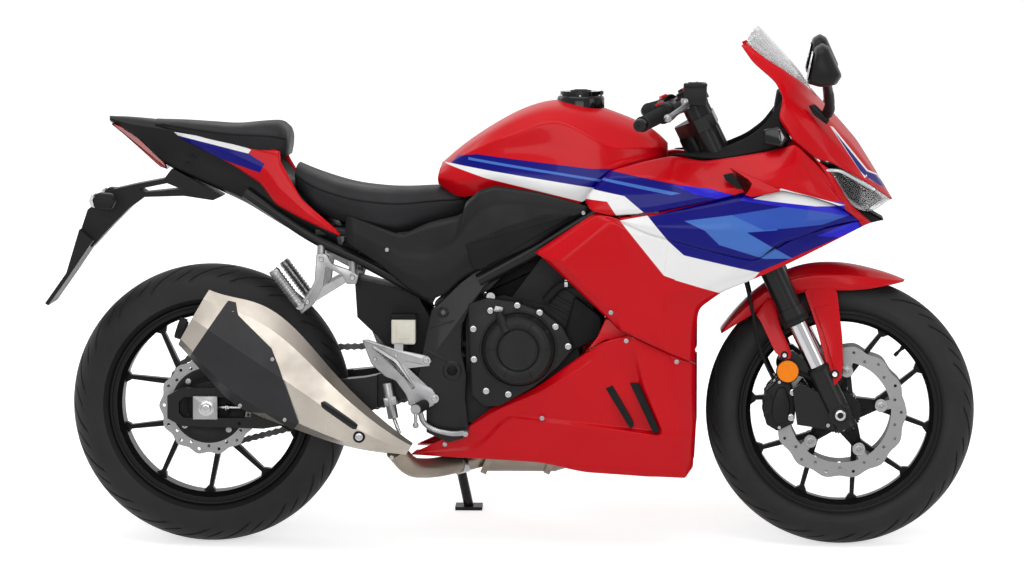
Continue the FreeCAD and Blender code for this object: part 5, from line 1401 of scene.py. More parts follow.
@dataclass(frozen=True)
class Fairing:
    """The side fairings: belly, main panel, upper side and shoulder, with their slots, ducts and screws."""

    belly: Panel = Panel((
        ((330, 150, 52), (415, 146, 60), (470, 143, 62), (530, 140, 66), (594, 126, 68), (640, 122, 66),
         (700, 118, 66), (712, 118, 66), (756, 116, 64), (764, 130, 54)),
        ((323, 145, 73), (415, 140, 82), (470, 137, 85), (530, 134, 90), (594, 119, 90), (640, 116, 88),
         (700, 112, 88), (712, 112, 88), (756, 110, 86), (768, 126, 74)),
        ((324, 148, 75), (429, 154, 84), (478, 207, 106), (531, 202, 111), (600, 195, 113), (650, 190, 113),
         (712, 181, 112), (722, 181, 112), (746, 181, 110), (771, 181, 92)),
        ((326, 149, 75), (425, 161, 82), (475, 213, 101), (532, 208, 106), (601, 201, 107), (650, 195, 105),
         (711, 187, 101), (721, 188, 112), (745, 190, 110), (772, 190, 92)),
        ((328, 150, 75), (414, 191, 90), (464, 222, 104), (535, 252, 116), (600, 292, 124), (622, 302, 124),
         (684, 263, 112), (690, 266, 124), (738, 255, 122), (772, 255, 102)),
        ((330, 151, 74), (405, 186, 86), (452, 224, 94), (517, 253, 106), (588, 304, 116), (628, 331, 130),
         (668, 341, 135), (676, 338, 135), (731, 313, 128), (772, 295, 108)),
        ((330, 151, 68), (408, 184, 78), (453, 224, 84), (517, 253, 92), (588, 304, 98), (628, 331, 118),
         (668, 339, 120), (676, 336, 120), (731, 311, 112), (772, 294, 92)),
    ), along=(0, 0.3, 0.25, 0.3, 0.3, 0.3, 0.06, 0.06, 0.12, 0), across=(0, 0.2, 0.10, 0.10, 0.12, 0.2, 0))
    main: Panel = Panel((
        ((650, 351, 130), (656, 349, 138), (672, 341, 139), (700, 328, 138), (731, 313, 133), (772, 295, 112),
         (772, 350, 118), (778, 384, 128), (813, 410, 138), (870, 433, 134), (930, 460, 122), (990, 489, 100),
         (1040, 513, 74)),
        ((640, 362, 132), (650, 370, 141), (672, 362, 142), (696, 360, 143), (722, 322, 140), (727, 340, 143),
         (719, 385, 147), (733, 409, 151), (790, 417, 148), (862, 437, 138), (925, 463, 124), (987, 492, 101),
         (1038, 515, 76)),
        ((588, 412, 140), (604, 414, 149), (640, 440, 152), (672, 450, 154), (704, 420, 152), (716, 430, 154),
         (735, 445, 156), (765, 450, 156), (815, 436, 152), (872, 445, 142), (928, 476, 127), (988, 500, 103),
         (1036, 516, 77)),
        ((535, 462, 142), (563, 459, 153), (604, 494, 156), (640, 524, 158), (672, 503, 160), (730, 491, 161),
         (780, 478, 160), (820, 468, 158), (866, 458, 152), (890, 470, 145), (925, 493, 130), (980, 509, 106),
         (1034, 518, 79)),
        ((521, 471, 134), (535, 481, 136), (575, 508, 138), (614, 534, 142), (650, 526, 157), (728, 497, 158),
         (779, 483, 157), (820, 472, 155), (866, 462, 149), (891, 476, 142), (926, 497, 127), (979, 512, 103),
         (1033, 520, 76)),
    ), along=(0, 0.06, 0.2, 0.2, 0.25, 0.25, 0.25, 0.25, 0.25, 0.25, 0.3, 0.3, 0), across=(0, 0.12, 0.3, 0.12, 0))
    upper: Panel = Panel((
        ((655, 522, 159), (700, 501, 161), (766, 483, 161), (820, 470, 159), (866, 460, 152), (900, 486, 146),
         (938, 496, 132), (978, 511, 112), (1018, 519, 88), (1040, 519, 72)),
        ((655, 523, 160), (700, 515, 164), (766, 512, 166), (820, 512, 164), (862, 513, 158), (898, 516, 150),
         (938, 518, 136), (980, 522, 116), (1016, 522, 92), (1040, 520, 73)),
        ((654, 527, 154), (700, 533, 156), (766, 547, 156), (820, 559, 152), (856, 568, 146), (905, 569, 140),
         (950, 559, 128), (985, 547, 110), (1012, 532, 92), (1038, 521, 74)),
    ), along=0.3, across=(0, 0.2, 0))
    shoulder: Panel = Panel((
        ((612, 536, 146), (640, 530, 150), (700, 535, 158), (755, 546, 160), (805, 556, 156), (855, 569, 150),
         (907, 570, 144), (955, 559, 130), (1002, 542, 108), (1036, 513, 74)),
        ((606, 541, 146), (640, 538, 152), (700, 543, 160), (755, 554, 162), (805, 563, 158), (855, 575, 152),
         (907, 576, 146), (955, 565, 132), (1001, 547, 110), (1035, 516, 75)),
        ((602, 548, 142), (640, 562, 150), (700, 565, 158), (752, 568, 160), (800, 566, 157), (852, 580, 150),
         (905, 590, 143), (950, 585, 128), (990, 562, 108), (1030, 522, 76)),
        ((600, 553, 138), (636, 590, 140), (699, 592, 148), (744, 582, 158), (800, 568, 155), (850, 585, 146),
         (902, 605, 138), (940, 612, 122), (978, 580, 104), (1024, 530, 78)),
        ((599, 557, 134), (637, 599, 124), (690, 613, 116), (735, 622, 112), (785, 614, 118), (835, 621, 118),
         (896, 631, 116), (928, 641, 112), (966, 604, 104), (1018, 540, 80)),
        ((600, 557, 116), (638, 598, 106), (690, 612, 98), (735, 621, 94), (785, 613, 100), (835, 620, 100),
         (896, 630, 99), (928, 640, 97), (964, 603, 88), (1016, 540, 66)),
    ), along=0.18, across=(0, 0.15, 0.15, 0.12, 0.2, 0))
    slots: tuple[Outline, ...] = (((611, 289), (628, 287), (675, 202), (674, 194), (669, 194)),
        ((669, 265), (684, 264), (716, 188), (706, 186)))
    screws: tuple[Point, ...] = ((376, 163, 80), (531, 208, 111), (664, 333, 137), (743, 300, 134), (640, 378, 145))

    def build(self) -> None:
        """Makes every panel of both sides."""
        put_skin("belly_skins", self.belly, RED_PAINT, "belly_fairings")
        put_skin("main_skins", self.main, MAIN_PAINT, "side_fairings")
        put_skin("upper_skins", self.upper, MAIN_PAINT, "side_fairings")
        put_skin("shoulder_skins", self.shoulder, SHOULDER_PAINT, "side_fairings")
        corner = side_plate(((599, 313), (618, 337), (631, 366), (650, 365), (666, 349), (666, 333), (631, 333)),
            116 * SHARE, 6 * SHARE, 0.002, 0.1)
        put("belly_corners", corner.both(), RED_PAINT, SOLID)
        self.openings()
        self.fasteners()

    def openings(self) -> None:
        """Black plates on the belly's two slots and in the shoulders' ducts, painted shade for the dark inside these
        openings, and the ducts' red fins.
        """
        # Black plates laid on the belly's slots: painted shade that stands for the dark inside them.
        slot_shades = [side_plate(outline, 100 * SHARE, 16 * SHARE, 0.001, 0.08) for outline in self.slots]
        put("belly_slot_shades", Shape.join(slot_shades).both(), DARK_PLASTIC, SOLID)
        # Black plate in each shoulder's hollow: painted shade over a red surface that lies in shadow there.
        duct_shade = side_plate(((815, 595), (832, 598), (852, 587), (858, 581), (850, 571), (837, 574), (819, 586)),
            148 * SHARE, 8 * SHARE, 0.001, 0.15)
        put("shoulder_duct_shades", duct_shade.both(), DARK_PLASTIC, SOLID)
        fin = side_plate(((824, 606), (857, 594), (907, 570), (860, 560), (849, 563), (857, 576), (859, 581),
            (854, 587)), 150 * SHARE, 6 * SHARE, 0.0015, 0.12)
        put("duct_fins", fin.both(), RED_PAINT, SOLID)

    def fasteners(self) -> None:
        """The bright screws that hold the panels."""
        heads = [cap_screw(shares((x, -w - 0.5, z)), OUT, 0.0052, 0.003) for x, z, w in self.screws]
        put("fairing_screws", Shape.join(heads).both(), BARE_ALLOY)


@dataclass(frozen=True)
class Nose:
    """The upper front: nose panels, windscreen, headlights, inner panels and what carries them."""

    side: Panel = Panel((
        ((843, 794, 84), (861, 768, 91), (896, 738, 97), (909, 713, 102), (901, 681, 107), (923, 647, 108),
         (963, 616, 102), (982, 613, 97), (1027, 587, 78), (1080, 549, 13)),
        ((844, 795, 83), (865, 772, 89), (899, 742, 95), (912, 716, 100), (910, 704, 104), (936, 672, 104),
         (972, 634, 96), (985, 619, 94), (1030, 588, 74), (1080, 550, 12)),
        ((846, 796, 82), (870, 775, 88), (903, 747, 93), (918, 722, 96), (923, 710, 98), (950, 685, 92),
         (985, 645, 84), (1000, 630, 76), (1038, 592, 54), (1081, 550, 9)),
        ((849, 797, 81), (875, 775, 86), (908, 751, 89), (926, 731, 84), (936, 718, 78), (962, 697, 52),
         (995, 660, 50), (1015, 640, 44), (1048, 597, 30), (1081, 550, 5)),
        ((851, 797, 80), (880, 774, 84), (910, 755, 84), (935, 737, 68), (948, 726, 46), (966, 709, 0),
         (1000, 672, 0), (1025, 643, 0), (1055, 595, 0), (1082, 549, 0)),
    ), along=0.25, across=(0, 0.2, 0.14, 0.2, 0))
    lamp_side: Panel = Panel((
        ((1036, 511, 74), (1022, 524, 84), (1000, 552, 96), (978, 590, 98), (960, 616, 104)),
        ((1048, 515, 58), (1030, 531, 66), (1014, 546, 80), (989, 588, 92), (976, 605, 97)),
    ), along=0.3, across=0.0)
    screen: Panel = Panel((
        ((962, 712, 14), (948, 727, 46), (923, 747, 72), (885, 771, 82), (851, 797, 78)),
        ((963, 711, 10), (949, 729, 36), (926, 756, 56), (892, 786, 64), (860, 815, 58)),
        ((965, 709, 0), (949, 731, 0), (928, 763, 0), (900, 795, 0), (872, 827, 0)),
    ), along=0.5, across=0.5, straight=2, bend=8)
    lens: Panel = Panel((
        ((976, 603, 97), (1000, 602, 93), (1027, 586, 77), (1054, 570, 49), (1079, 549, 14)),
        ((981, 597, 98), (1006, 585, 93), (1031, 569, 76), (1053, 556, 52), (1072, 545, 24)),
        ((989, 589, 93), (1014, 546, 81), (1032, 533, 67), (1047, 532, 53), (1057, 535, 37)),
    ), along=0.4, across=(0, 0.2, 0))
    inner: Panel = Panel((
        ((735, 624, 92), (800, 616, 98), (859, 625, 98), (896, 631, 99), (923, 645, 99)),
        ((766, 626, 88), (826, 626, 94), (866, 636, 96), (892, 658, 97), (901, 681, 98)),
        ((800, 628, 80), (849, 648, 88), (876, 668, 92), (893, 690, 94), (909, 713, 96)),
    ), along=0.3, across=0.3)
    chin: Outline = ((1012, 552), (1030, 536), (1047, 528), (1068, 518), (1034, 510), (1000, 540))

    def build(self) -> None:
        """Makes the nose, the screen, the lamps, the inner panels and their carrier."""
        put_skin("nose_skins", self.side, NOSE_PAINT, "nose_fairing")
        put_skin("lamp_frames", self.lamp_side, RED_PAINT)
        grid = net_surface(np.concatenate([self.screen.net(), (self.screen.net()[::-1] * MIRROR)[1:]]),
            self.screen.along, self.screen.across, 2, 8)
        put("screen_sheet", face_towards(from_grid(grid), (0.3, 0, 1)), SCREEN, Trim(thickness=0.0026, sharp=60.0),
            replaces=["windscreen"])
        put("headlight_lenses", self.lens.skin().both(), LENS, Trim(thickness=0.0022, sharp=35.0),
            replaces=["headlights"])
        self.lamp_insides()
        put_skin("inner_panels", self.inner, DARK_PLASTIC, "cockpit")
        self.carrier()

    def carrier(self) -> None:
        """The chin and the stays that carry the nose on the steering head."""
        chin = plate(np.asarray(self.chin) * SHARE, (0, 0.060, 0), (1, 0, 0), (0, 0, 1), 0.120, 0.003, 0.06)
        stay = pin(steer_point(0.027, 0.0, 0.640), shares((1000, 0, 570)), 0.012)
        tie = pin(shares((910, -101, 660)), shares((910, 101, 660)), 0.008)
        post = pin(shares((905, 0, 590)), shares((912, 0, 690)), 0.012)
        put("nose_carrier", Shape.join([chin, stay, tie, post]), DARK_PLASTIC, SOLID, replaces=["cockpit"])

    def lamp_insides(self) -> None:
        """The dark reflector bowls and the white light strips behind the lenses."""
        back = self.lens.net() * np.array([1.0, 0.9, 1.0]) - np.array([0.018, 0.0, 0.0])
        grid = net_surface(back, 0.1, 0.1, 2, 2)
        put("lamp_bowls", face_towards(from_grid(grid), OUT).both(), GLOSS_BLACK, Trim(thickness=0.002))
        line = self.lens.net()[0] * np.array([1.0, 0.985, 1.0]) - np.array([0.003, 0.0, 0.0055])
        put("light_strips", tube(bent_path(line[:4], 0.3), 0.0034, 10).both(), LAMP_WHITE)
        low = self.lens.net()[2] * np.array([1.0, 0.97, 1.0]) + np.array([-0.008, 0.0, 0.010])
        put("lamp_ribs", tube(bent_path(low[:4], 0.3), 0.005, 8).both(), BARE_ALLOY)


@dataclass(frozen=True)
class FrontFender:
    """The front mudguard over the tyre, with its stays."""

    shell: Panel = Panel((
        ((812, 338, 49), (838, 354, 49), (868, 372, 49), (905, 392, 49.5), (950, 407, 49.5), (1000, 406, 49.5),
         (1040, 408, 48), (1078, 415, 40), (1100, 420, 18)),
        ((811, 341, 47), (833, 364, 48), (864, 392, 49), (905, 420, 50), (950, 432, 50), (1000, 432, 49),
         (1041, 427, 45), (1079, 422, 34), (1101, 421, 12)),
        ((810, 343, 26), (831, 369, 27), (862, 400, 28), (907, 431, 28), (951, 444, 27), (1000, 445, 25),
         (1042, 438, 21), (1079, 429, 14), (1102, 421, 5)),
        ((810, 344, 0), (831, 372, 0), (862, 404, 0), (908, 436, 0), (952, 449, 0), (1000, 450, 0), (1042, 442, 0),
         (1079, 431, 0), (1102, 421, 0)),
    ), along=0.5, across=(0, 0.16, 0.3, 0.4), straight=2, bend=6)
    lean_out: float = 0.050
    stay_top: float = 404
    stay_drop: float = 146

    def build(self) -> None:
        """Makes the shell, the stays and their bolts."""
        right = self.shell.net()
        whole = np.concatenate([right, (right[::-1] * MIRROR)[1:]])
        across = (0, 0.16, 0.3, 0.4, 0.3, 0.16, 0)
        grid = net_surface(whole, 0.5, across, 2, 6)
        put("fender_shell", face_towards(from_grid(grid), (0, 0, 1)), RED_PAINT, Trim(thickness=0.0028, sharp=26.0),
            Body.FORK, replaces=["front_fender"])
        front = side_plate(((943, 404), (960, 356), (975, 302), (982, 266), (990, 258), (1002, 272), (1004, 296),
            (1003, 333), (995, 402), (990, 412), (950, 414)), 46.5 * SHARE, 0.0062, 0.0018, 0.1)
        rear = side_plate(((866, 368), (874, 358), (897, 310), (912, 298), (921, 300), (923, 309), (905, 352),
            (896, 392), (884, 394)), 46.5 * SHARE, 0.0062, 0.0018, 0.1)
        ridge = side_plate(((958, 380), (973, 340), (989, 284), (997, 298), (995, 336), (987, 384)), 50.6 * SHARE,
            0.0034, 0.0016, 0.12)
        stays = Shape.join([self.leaned(stay) for stay in (front, ridge, rear)])
        put("fender_stays", stays.both(), RED_PAINT, SOLID, Body.FORK)
        bolts, washers = [], []
        for x, z, r in ((991, 277, 0.0062), (912, 306, 0.0052)):
            bolts.append(self.leaned(cap_screw(shares((x, -52.8, z)), OUT, r, 0.005)))
            washers.append(self.leaned(turned(shares((x, -49, z)), OUT, [(0, r + 0.0036), (0.0052, r + 0.0032)], 28)))
        put("fender_bolts", Shape.join(bolts).both(), BRIGHT_STEEL, body=Body.FORK)
        put("fender_washers", Shape.join(washers).both(), DARK_PLASTIC, body=Body.FORK)

    def leaned(self, shape: Shape) -> Shape:
        """A stay's shape leaned outward: y less the lean times the share of the way down to its foot."""
        down = (self.stay_top - shape.points[:, 2] / SHARE) / self.stay_drop
        return Shape(shape.points - np.stack([0 * down, self.lean_out * down, 0 * down], 1), shape.faces)


@dataclass(frozen=True)
class Tail:
    """The tail: black body, coloured side panels, red lamp and plug."""

    body: Panel = Panel((
        ((-160, 668, 3), (-110, 640, 10), (-72, 600, 16), (0, 568, 24), (60, 541, 30), (120, 504, 36), (160, 486, 42),
         (208, 466, 46)),
        ((-161, 670, 8), (-118, 645, 20), (-76, 606, 28), (6, 571, 38), (62, 546, 46), (120, 509, 54), (158, 490, 60),
         (206, 470, 64)),
        ((-161, 672, 12), (-128, 652, 30), (-72, 642, 44), (8, 604, 60), (66, 574, 70), (100, 550, 78), (150, 520, 86),
         (205, 492, 89)),
        ((-161, 675, 12), (-130, 666, 34), (-70, 659, 52), (8, 644, 64), (66, 632, 74), (112, 610, 80), (150, 554, 84),
         (207, 496, 86)),
        ((-162, 677, 6), (-128, 675, 18), (-84, 671, 30), (-20, 660, 40), (40, 640, 50), (100, 600, 56), (150, 556, 58),
         (208, 498, 60)),
        ((-162, 678, 0), (-128, 677, 0), (-84, 673, 0), (-20, 662, 0), (40, 642, 0), (100, 602, 0), (150, 558, 0),
         (208, 500, 0)),
    ), along=0.3, across=(0.1, 0.2, 0.14, 0.14, 0.3, 0.3))
    side: Panel = Panel((
        ((-46, 646, 57), (40, 604, 70), (85, 575, 78), (110, 542, 84), (154, 519, 92), (210, 494, 98)),
        ((-48, 650, 60), (40, 620, 74), (92, 598, 82), (112, 572, 88), (156, 532, 95), (211, 496, 99)),
        ((-54, 655, 57), (40, 641, 72), (116, 627, 80), (117, 610, 82), (150, 552, 92), (213, 498, 97)),
    ), along=0.12, across=(0, 0.12, 0))

    def build(self) -> None:
        """Makes the tail's pieces."""
        put("tail_body", self.body.hull(), BLACK_PLASTIC, SOLID, replaces=["tail_cowl"])
        put_skin("tail_side_skins", self.side, TAIL_PAINT, "tail_panels")
        lamp = side_plate(((-158, 667), (-138, 650), (-80, 598), (-68, 594), (-74, 606), (-128, 657)), 0.0,
            24 * SHARE, 0.002, 0.1)
        put("tail_lamp", lamp.both(), LAMP_RED, SOLID, replaces=["tail_light"])
        plug = turned(shares((-33, -58, 606)), (0.1, -1, 0.1), mm(0, 9, 3, 9, 4.5, 7, 4.5, 4.5, 2, 4), 24)
        put("tail_plugs", plug.both(), RUBBER)


@dataclass(frozen=True)
class Seats:
    """The rider's and the passenger's seats, with their piping."""

    rider: Panel = Panel((
        ((141, 560, 56), (170, 530, 74), (222, 512, 86), (270, 502, 90), (308, 495, 84), (357, 508, 66), (402, 520, 50),
         (416, 532, 34)),
        ((139, 574, 66), (166, 548, 88), (222, 528, 104), (270, 516, 106), (308, 508, 97), (357, 522, 76),
         (403, 530, 60), (418, 540, 42)),
        ((138, 590, 66), (166, 570, 92), (222, 553, 107), (270, 546, 107), (310, 544, 97), (358, 548, 76),
         (403, 549, 61), (418, 554, 42)),
        ((140, 602, 50), (166, 590, 76), (222, 572, 82), (270, 566, 80), (311, 564, 70), (358, 566, 54), (402, 564, 42),
         (416, 562, 28)),
        ((141, 606, 0), (166, 592, 0), (222, 572, 0), (270, 565, 0), (311, 566, 0), (358, 571, 0), (402, 570, 0),
         (416, 566, 0)),
    ), along=0.5, across=(0.2, 0.4, 0.4, 0.4, 0.5), straight=2, bend=7)
    pillion: Panel = Panel((
        ((-80, 655, 30), (-46, 645, 48), (0, 634, 60), (40, 626, 66), (80, 620, 72), (112, 616, 70), (124, 616, 60)),
        ((-85, 664, 40), (-46, 656, 58), (0, 648, 68), (40, 641, 75), (80, 634, 82), (114, 628, 80), (126, 628, 68)),
        ((-86, 669, 40), (-46, 664, 59), (0, 658, 70), (40, 654, 78), (80, 654, 86), (114, 652, 83), (127, 646, 70)),
        ((-86, 672, 26), (-46, 671, 44), (0, 668, 54), (40, 665, 60), (80, 669, 64), (112, 670, 60), (124, 660, 50)),
        ((-87, 674, 0), (-46, 672, 0), (0, 668, 0), (40, 664, 0), (80, 669, 0), (112, 673, 0), (124, 662, 0)),
    ), along=0.45, across=(0.2, 0.4, 0.4, 0.4, 0.5), straight=2, bend=6)

    def build(self) -> None:
        rider = put("rider_saddle", self.rider.hull(), SEAT_VINYL, Trim(sharp=60.0), replaces=["rider_seat"])
        pillion = put("pillion_saddle", self.pillion.hull(), SEAT_VINYL, Trim(sharp=60.0), replaces=["pillion_seat"])
        for name, panel in (("rider_piping", self.rider), ("pillion_piping", self.pillion)):
            edge = net_surface(panel.net(), panel.along, panel.across, panel.straight, panel.bend)
            line = edge[self.piping_row(panel, edge)]
            put(name, tube(line[1:-1], 0.0023, 8).both(), DARK_PLASTIC)

    def piping_row(self, panel: Panel, edge: Array) -> int:
        """The row of a seat's surface that runs nearest its third net row, where cover and top meet.

        Args:
            panel: the seat's net.
            edge: its surface.

        Returns:
            The row's number.
        """
        target = panel.net()[2][len(panel.net()[2]) // 2]
        column = edge[:, edge.shape[1] // 2]
        return int(np.argmin(np.linalg.norm(column - target, axis=1)))


# Wheels, fork and controls


def steer_point(forward: float, side: float, height: float) -> Array:
    """A point given in metres by its place ahead of, beside and up the steering axis."""
    return STEER_FOOT + STEER_FORWARD * forward + STEER_UP * height + np.array([0.0, side, 0.0])


def turned_about(path: Array, centre: Array, angles: Array) -> Array:
    """A grid: points (y, radius) of a cross-section carried round a wheel's axle, one row per point.

    Each point at radius r and angle a lies at the centre plus r times (cos a, 0, sin a), moved by y along the
    axle. The angles may differ from row to row, which slants the columns.

    Args:
        path: points (y, radius), for each row and angle.
        centre: the axle's middle.
        angles: angle of each point.

    Returns:
        Grid of points.
    """
    y, r = path[..., 0], path[..., 1]
    return np.stack([centre[0] + r * np.cos(angles), np.broadcast_to(y, angles.shape),
        centre[2] + r * np.sin(angles)], -1)


@dataclass(frozen=True)
class Tyre:
    """A road tyre with slanting grooves.

    Attributes:
        name: the piece's name.
        node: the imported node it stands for.
        body: the wheel it rides on.
        centre: the axle's middle.
        radius: outer radius in metres.
        crown: radius of the round crown.
        half_flat: half the flat at its top.
        rim_half: half the width at the beads.
        repeats: number of groove pairs round the tyre.
        depth: depth of the grooves.
        bead: radius at the beads.
        flange: height of the straight foot above a bead.
        wall: thickness of the sidewall.
    """

    name: str
    node: str
    body: Body
    centre: Point
    radius: float
    crown: float
    half_flat: float
    rim_half: float
    repeats: int
    depth: float = 0.0034
    bead: float = 0.216
    flange: float = 0.010
    wall: float = 0.009

    def build(self) -> None:
        """Makes the tyre: its section is carried round, and slanting columns sink into grooves."""
        turn = np.linspace(0, np.pi / 2, 22)
        arc = np.stack([-self.half_flat - self.crown * np.sin(turn), self.radius - self.crown * (1 - np.cos(turn))],
            1)[::-1]
        foot = self.radius - self.crown
        rise = foot - self.bead - self.flange
        low = [(-self.rim_half, self.bead), (-self.rim_half, self.bead + self.flange),
            (-self.rim_half - 0.3 * (self.half_flat + self.crown - self.rim_half),
            self.bead + self.flange + 0.35 * rise)]
        left = np.vstack([low, arc])
        section = np.vstack([left, left[::-1] * (-1, 1)])
        share = np.clip(np.abs(section[:, 0]) / (self.half_flat + self.crown), 0, 1)
        share[:4] = share[-4:] = 1.0
        cut = [0.0, 0.03, 0.06, 0.13, 0.16, 0.3, 0.44, 0.52, 0.54, 0.58, 0.60, 0.75, 0.9]
        long_groove = np.array([0, 0, 1, 1, 0, 0, 0, 0, 0, 0, 0, 0, 0.0])
        slot_groove = np.array([0, 0, 0, 0, 0, 0, 0, 0, 1, 1, 0, 0, 0.0])
        column = (np.arange(self.repeats)[:, None] + np.array(cut)).ravel() / self.repeats
        slant = 0.075 * share ** 1.4
        angles = 2 * np.pi * (column[None] + slant[:, None])
        along = np.clip((share - 0.13) / 0.06, 0, 1) * np.clip((0.86 - share) / 0.06, 0, 1)
        short = np.clip((share - 0.52) / 0.05, 0, 1) * np.clip((0.78 - share) / 0.05, 0, 1)
        sunk = along[:, None] * np.tile(long_groove, self.repeats) + short[:, None] * np.tile(slot_groove, self.repeats)
        path = np.broadcast_to(section[:, None], angles.shape + (2,)).copy()
        path[..., 1] -= self.depth * sunk * (0.35 + 0.65 * (1 - share[:, None]))
        path[..., 0] -= np.sign(section[:, None, 0]) * self.depth * sunk * share[:, None]
        outer = turned_about(path, np.array(self.centre), angles)
        bore = np.array([(self.rim_half - self.wall, self.bead), (self.rim_half - self.wall, self.bead + self.flange),
            (0.0, self.radius - 2 * self.wall), (self.wall - self.rim_half, self.bead + self.flange),
            (self.wall - self.rim_half, self.bead)])
        flat = np.broadcast_to(angles[0], (5, angles.shape[1]))
        inner = turned_about(np.broadcast_to(bore[:, None], flat.shape + (2,)), np.array(self.centre), flat)
        put(self.name, from_grid(np.concatenate([outer, inner]), True, True), TYRE_RUBBER, Trim(sharp=34.0),
            self.body, replaces=[self.node])


@dataclass(frozen=True)
class Wheels:
    """Tyres, bobbins, bolts, axle ends, chain adjusters, tone ring and valves."""

    bobbin_radius: float = 0.093
    disc_face: float = 0.055
    rear_disc_face: float = 0.087

    def build(self) -> None:
        """Makes the small pieces of both wheels."""
        Tyre("front_tread", "front_tyre", Body.FRONT_WHEEL, tuple(FRONT_AXLE), 0.300, 0.055, 0.0, 0.0445, 17).build()
        Tyre("rear_tread", "rear_tyre", Body.REAR_WHEEL, tuple(REAR_AXLE), 0.312, 0.074, 0.006, 0.057, 19).build()
        self.front()
        self.rear()

    def front(self) -> None:
        """The front discs' bobbins, the tone ring, the rim's beads and the valve."""
        bobbins, centres = [], []
        for k in range(5):
            spot = polar(FRONT_AXLE, self.bobbin_radius, 9 + 72 * k, -self.disc_face)
            bobbins.append(turned(spot, OUT, mm(-6, 14.5, 1.2, 14.5, 2, 13.7, 2, 9.5, 3.2, 9, 3.6, 5.5, 1.2, 5), 28))
            centres.append(hex_bolt(spot - (0, 0.0008, 0), OUT, 0.0036, 0.002))
        put("disc_bobbins", Shape.join(bobbins).both(), BARE_ALLOY, body=Body.FRONT_WHEEL)
        put("bobbin_pins", Shape.join(centres).both(), BARE_ALLOY, body=Body.FRONT_WHEEL)
        angle = np.linspace(0, 2 * np.pi, 4 * 44, endpoint=False)
        reach = 0.0485 - 0.004 * (np.arange(len(angle)) % 4 < 2)
        ring = plate(np.stack([reach * np.cos(angle), reach * np.sin(angle)], 1), FRONT_AXLE + (0, -0.0575, 0),
            (1, 0, 0), (0, 0, 1), 0.0022, 0.0003)
        put("tone_ring", ring, CALIPER_PAINT, body=Body.FRONT_WHEEL)
        self.rim_beads("front_rim_beads", FRONT_AXLE, 0.0505, Body.FRONT_WHEEL)
        self.valve("front_valve", FRONT_AXLE, 45.0, Body.FRONT_WHEEL)

    def rim_beads(self, name: str, centre: Array, half: float, body: Body) -> None:
        """Round lips on both edges of a rim: a small ring section carried round the wheel.

        Args:
            name: the piece's name.
            centre: the axle's middle.
            half: half the width over the lips.
            body: the wheel.
        """
        angle = np.linspace(0, 2 * np.pi, 96, endpoint=False)
        turn = np.linspace(0, 2 * np.pi, 10, endpoint=False)
        section = np.stack([-half + 0.0035 * np.cos(turn), 0.2225 + 0.0045 * np.sin(turn)], 1)
        grid = turned_about(np.broadcast_to(section[:, None], (10, 96, 2)), centre, np.broadcast_to(angle, (10, 96)))
        put(name, from_grid(grid, True, True).both(), WHEEL_PAINT, body=body)

    def valve(self, name: str, centre: Array, degrees: float, body: Body) -> None:
        """A tyre valve that stands inward from the rim's well.

        Args:
            name: the piece's name.
            centre: the axle's middle.
            degrees: where it stands.
            body: the wheel.
        """
        start, end = polar(centre, 0.203, degrees), polar(centre, 0.172, degrees)
        stem = turned(start, end - start, mm(0, 5.5, 8, 5, 10, 3.5, 20, 3.5, 20.5, 4.4, 29, 4.4, 31, 3), 16)
        put(name, stem, RUBBER, body=body)

    def rear(self) -> None:
        """The rear disc's bolts and face rings, the axle nuts and adjusters, the sprocket's bolts."""
        spots = [polar(REAR_AXLE, 0.070, 40 + 90 * k, -self.rear_disc_face) for k in range(4)]
        put("rear_disc_bolts", Shape.join([cap_screw(s, OUT, 0.0068, 0.004) for s in spots]), BARE_ALLOY,
            body=Body.REAR_WHEEL)
        face = turned(REAR_AXLE + (0, -self.rear_disc_face + 0.001, 0), OUT, mm(-4, 84.5, 1.2, 84.5, 2, 83, 2.1, 80, 2,
            62, 1.7, 60.5, 1.7, 52, 4, 50, 5, 46, 5, 24), 72)
        put("rear_disc_carrier", face, CALIPER_PAINT, body=Body.REAR_WHEEL)
        nuts = [hex_bolt(REAR_AXLE + (0, -0.1485, 0), OUT, 0.0125, 0.0095),
            turned(REAR_AXLE + (0, -0.1478, 0), OUT, mm(0, 18.5, 1.6, 18, 2, 17), 32),
            turned(REAR_AXLE + (0, -0.156, 0), OUT, mm(0, 10.2, 2.8, 10.2, 3.4, 9.4, 3.4, 5), 28)]
        put("axle_nuts", Shape.join(nuts).both(), BRIGHT_STEEL)
        block = side_plate(((-21, 203), (18, 203), (18, 240), (-21, 240)), 0.138, 0.0105, 0.0014, 0.03)
        put("axle_blocks", block.both(), BARE_ALLOY, SOLID)
        rods = [pin(shares((16, -91, 221.5)), shares((66, -91, 221.5)), 0.0042),
            hex_bolt(shares((30, -91, 221.5)), (1, 0, 0), 0.0072, 0.008)]
        put("adjuster_bolts", Shape.join(rods).both(), BRIGHT_STEEL)
        studs = [hex_bolt(polar(REAR_AXLE, 0.064, 72 * k + 10, 0.0993), (0, 1, 0), 0.0062, 0.0055) for k in range(5)]
        put("sprocket_bolts", Shape.join(studs), BRIGHT_STEEL, body=Body.REAR_WHEEL)
        self.rim_beads("rear_rim_beads", REAR_AXLE, 0.063, Body.REAR_WHEEL)
        self.valve("rear_valve", REAR_AXLE, 126.0, Body.REAR_WHEEL)


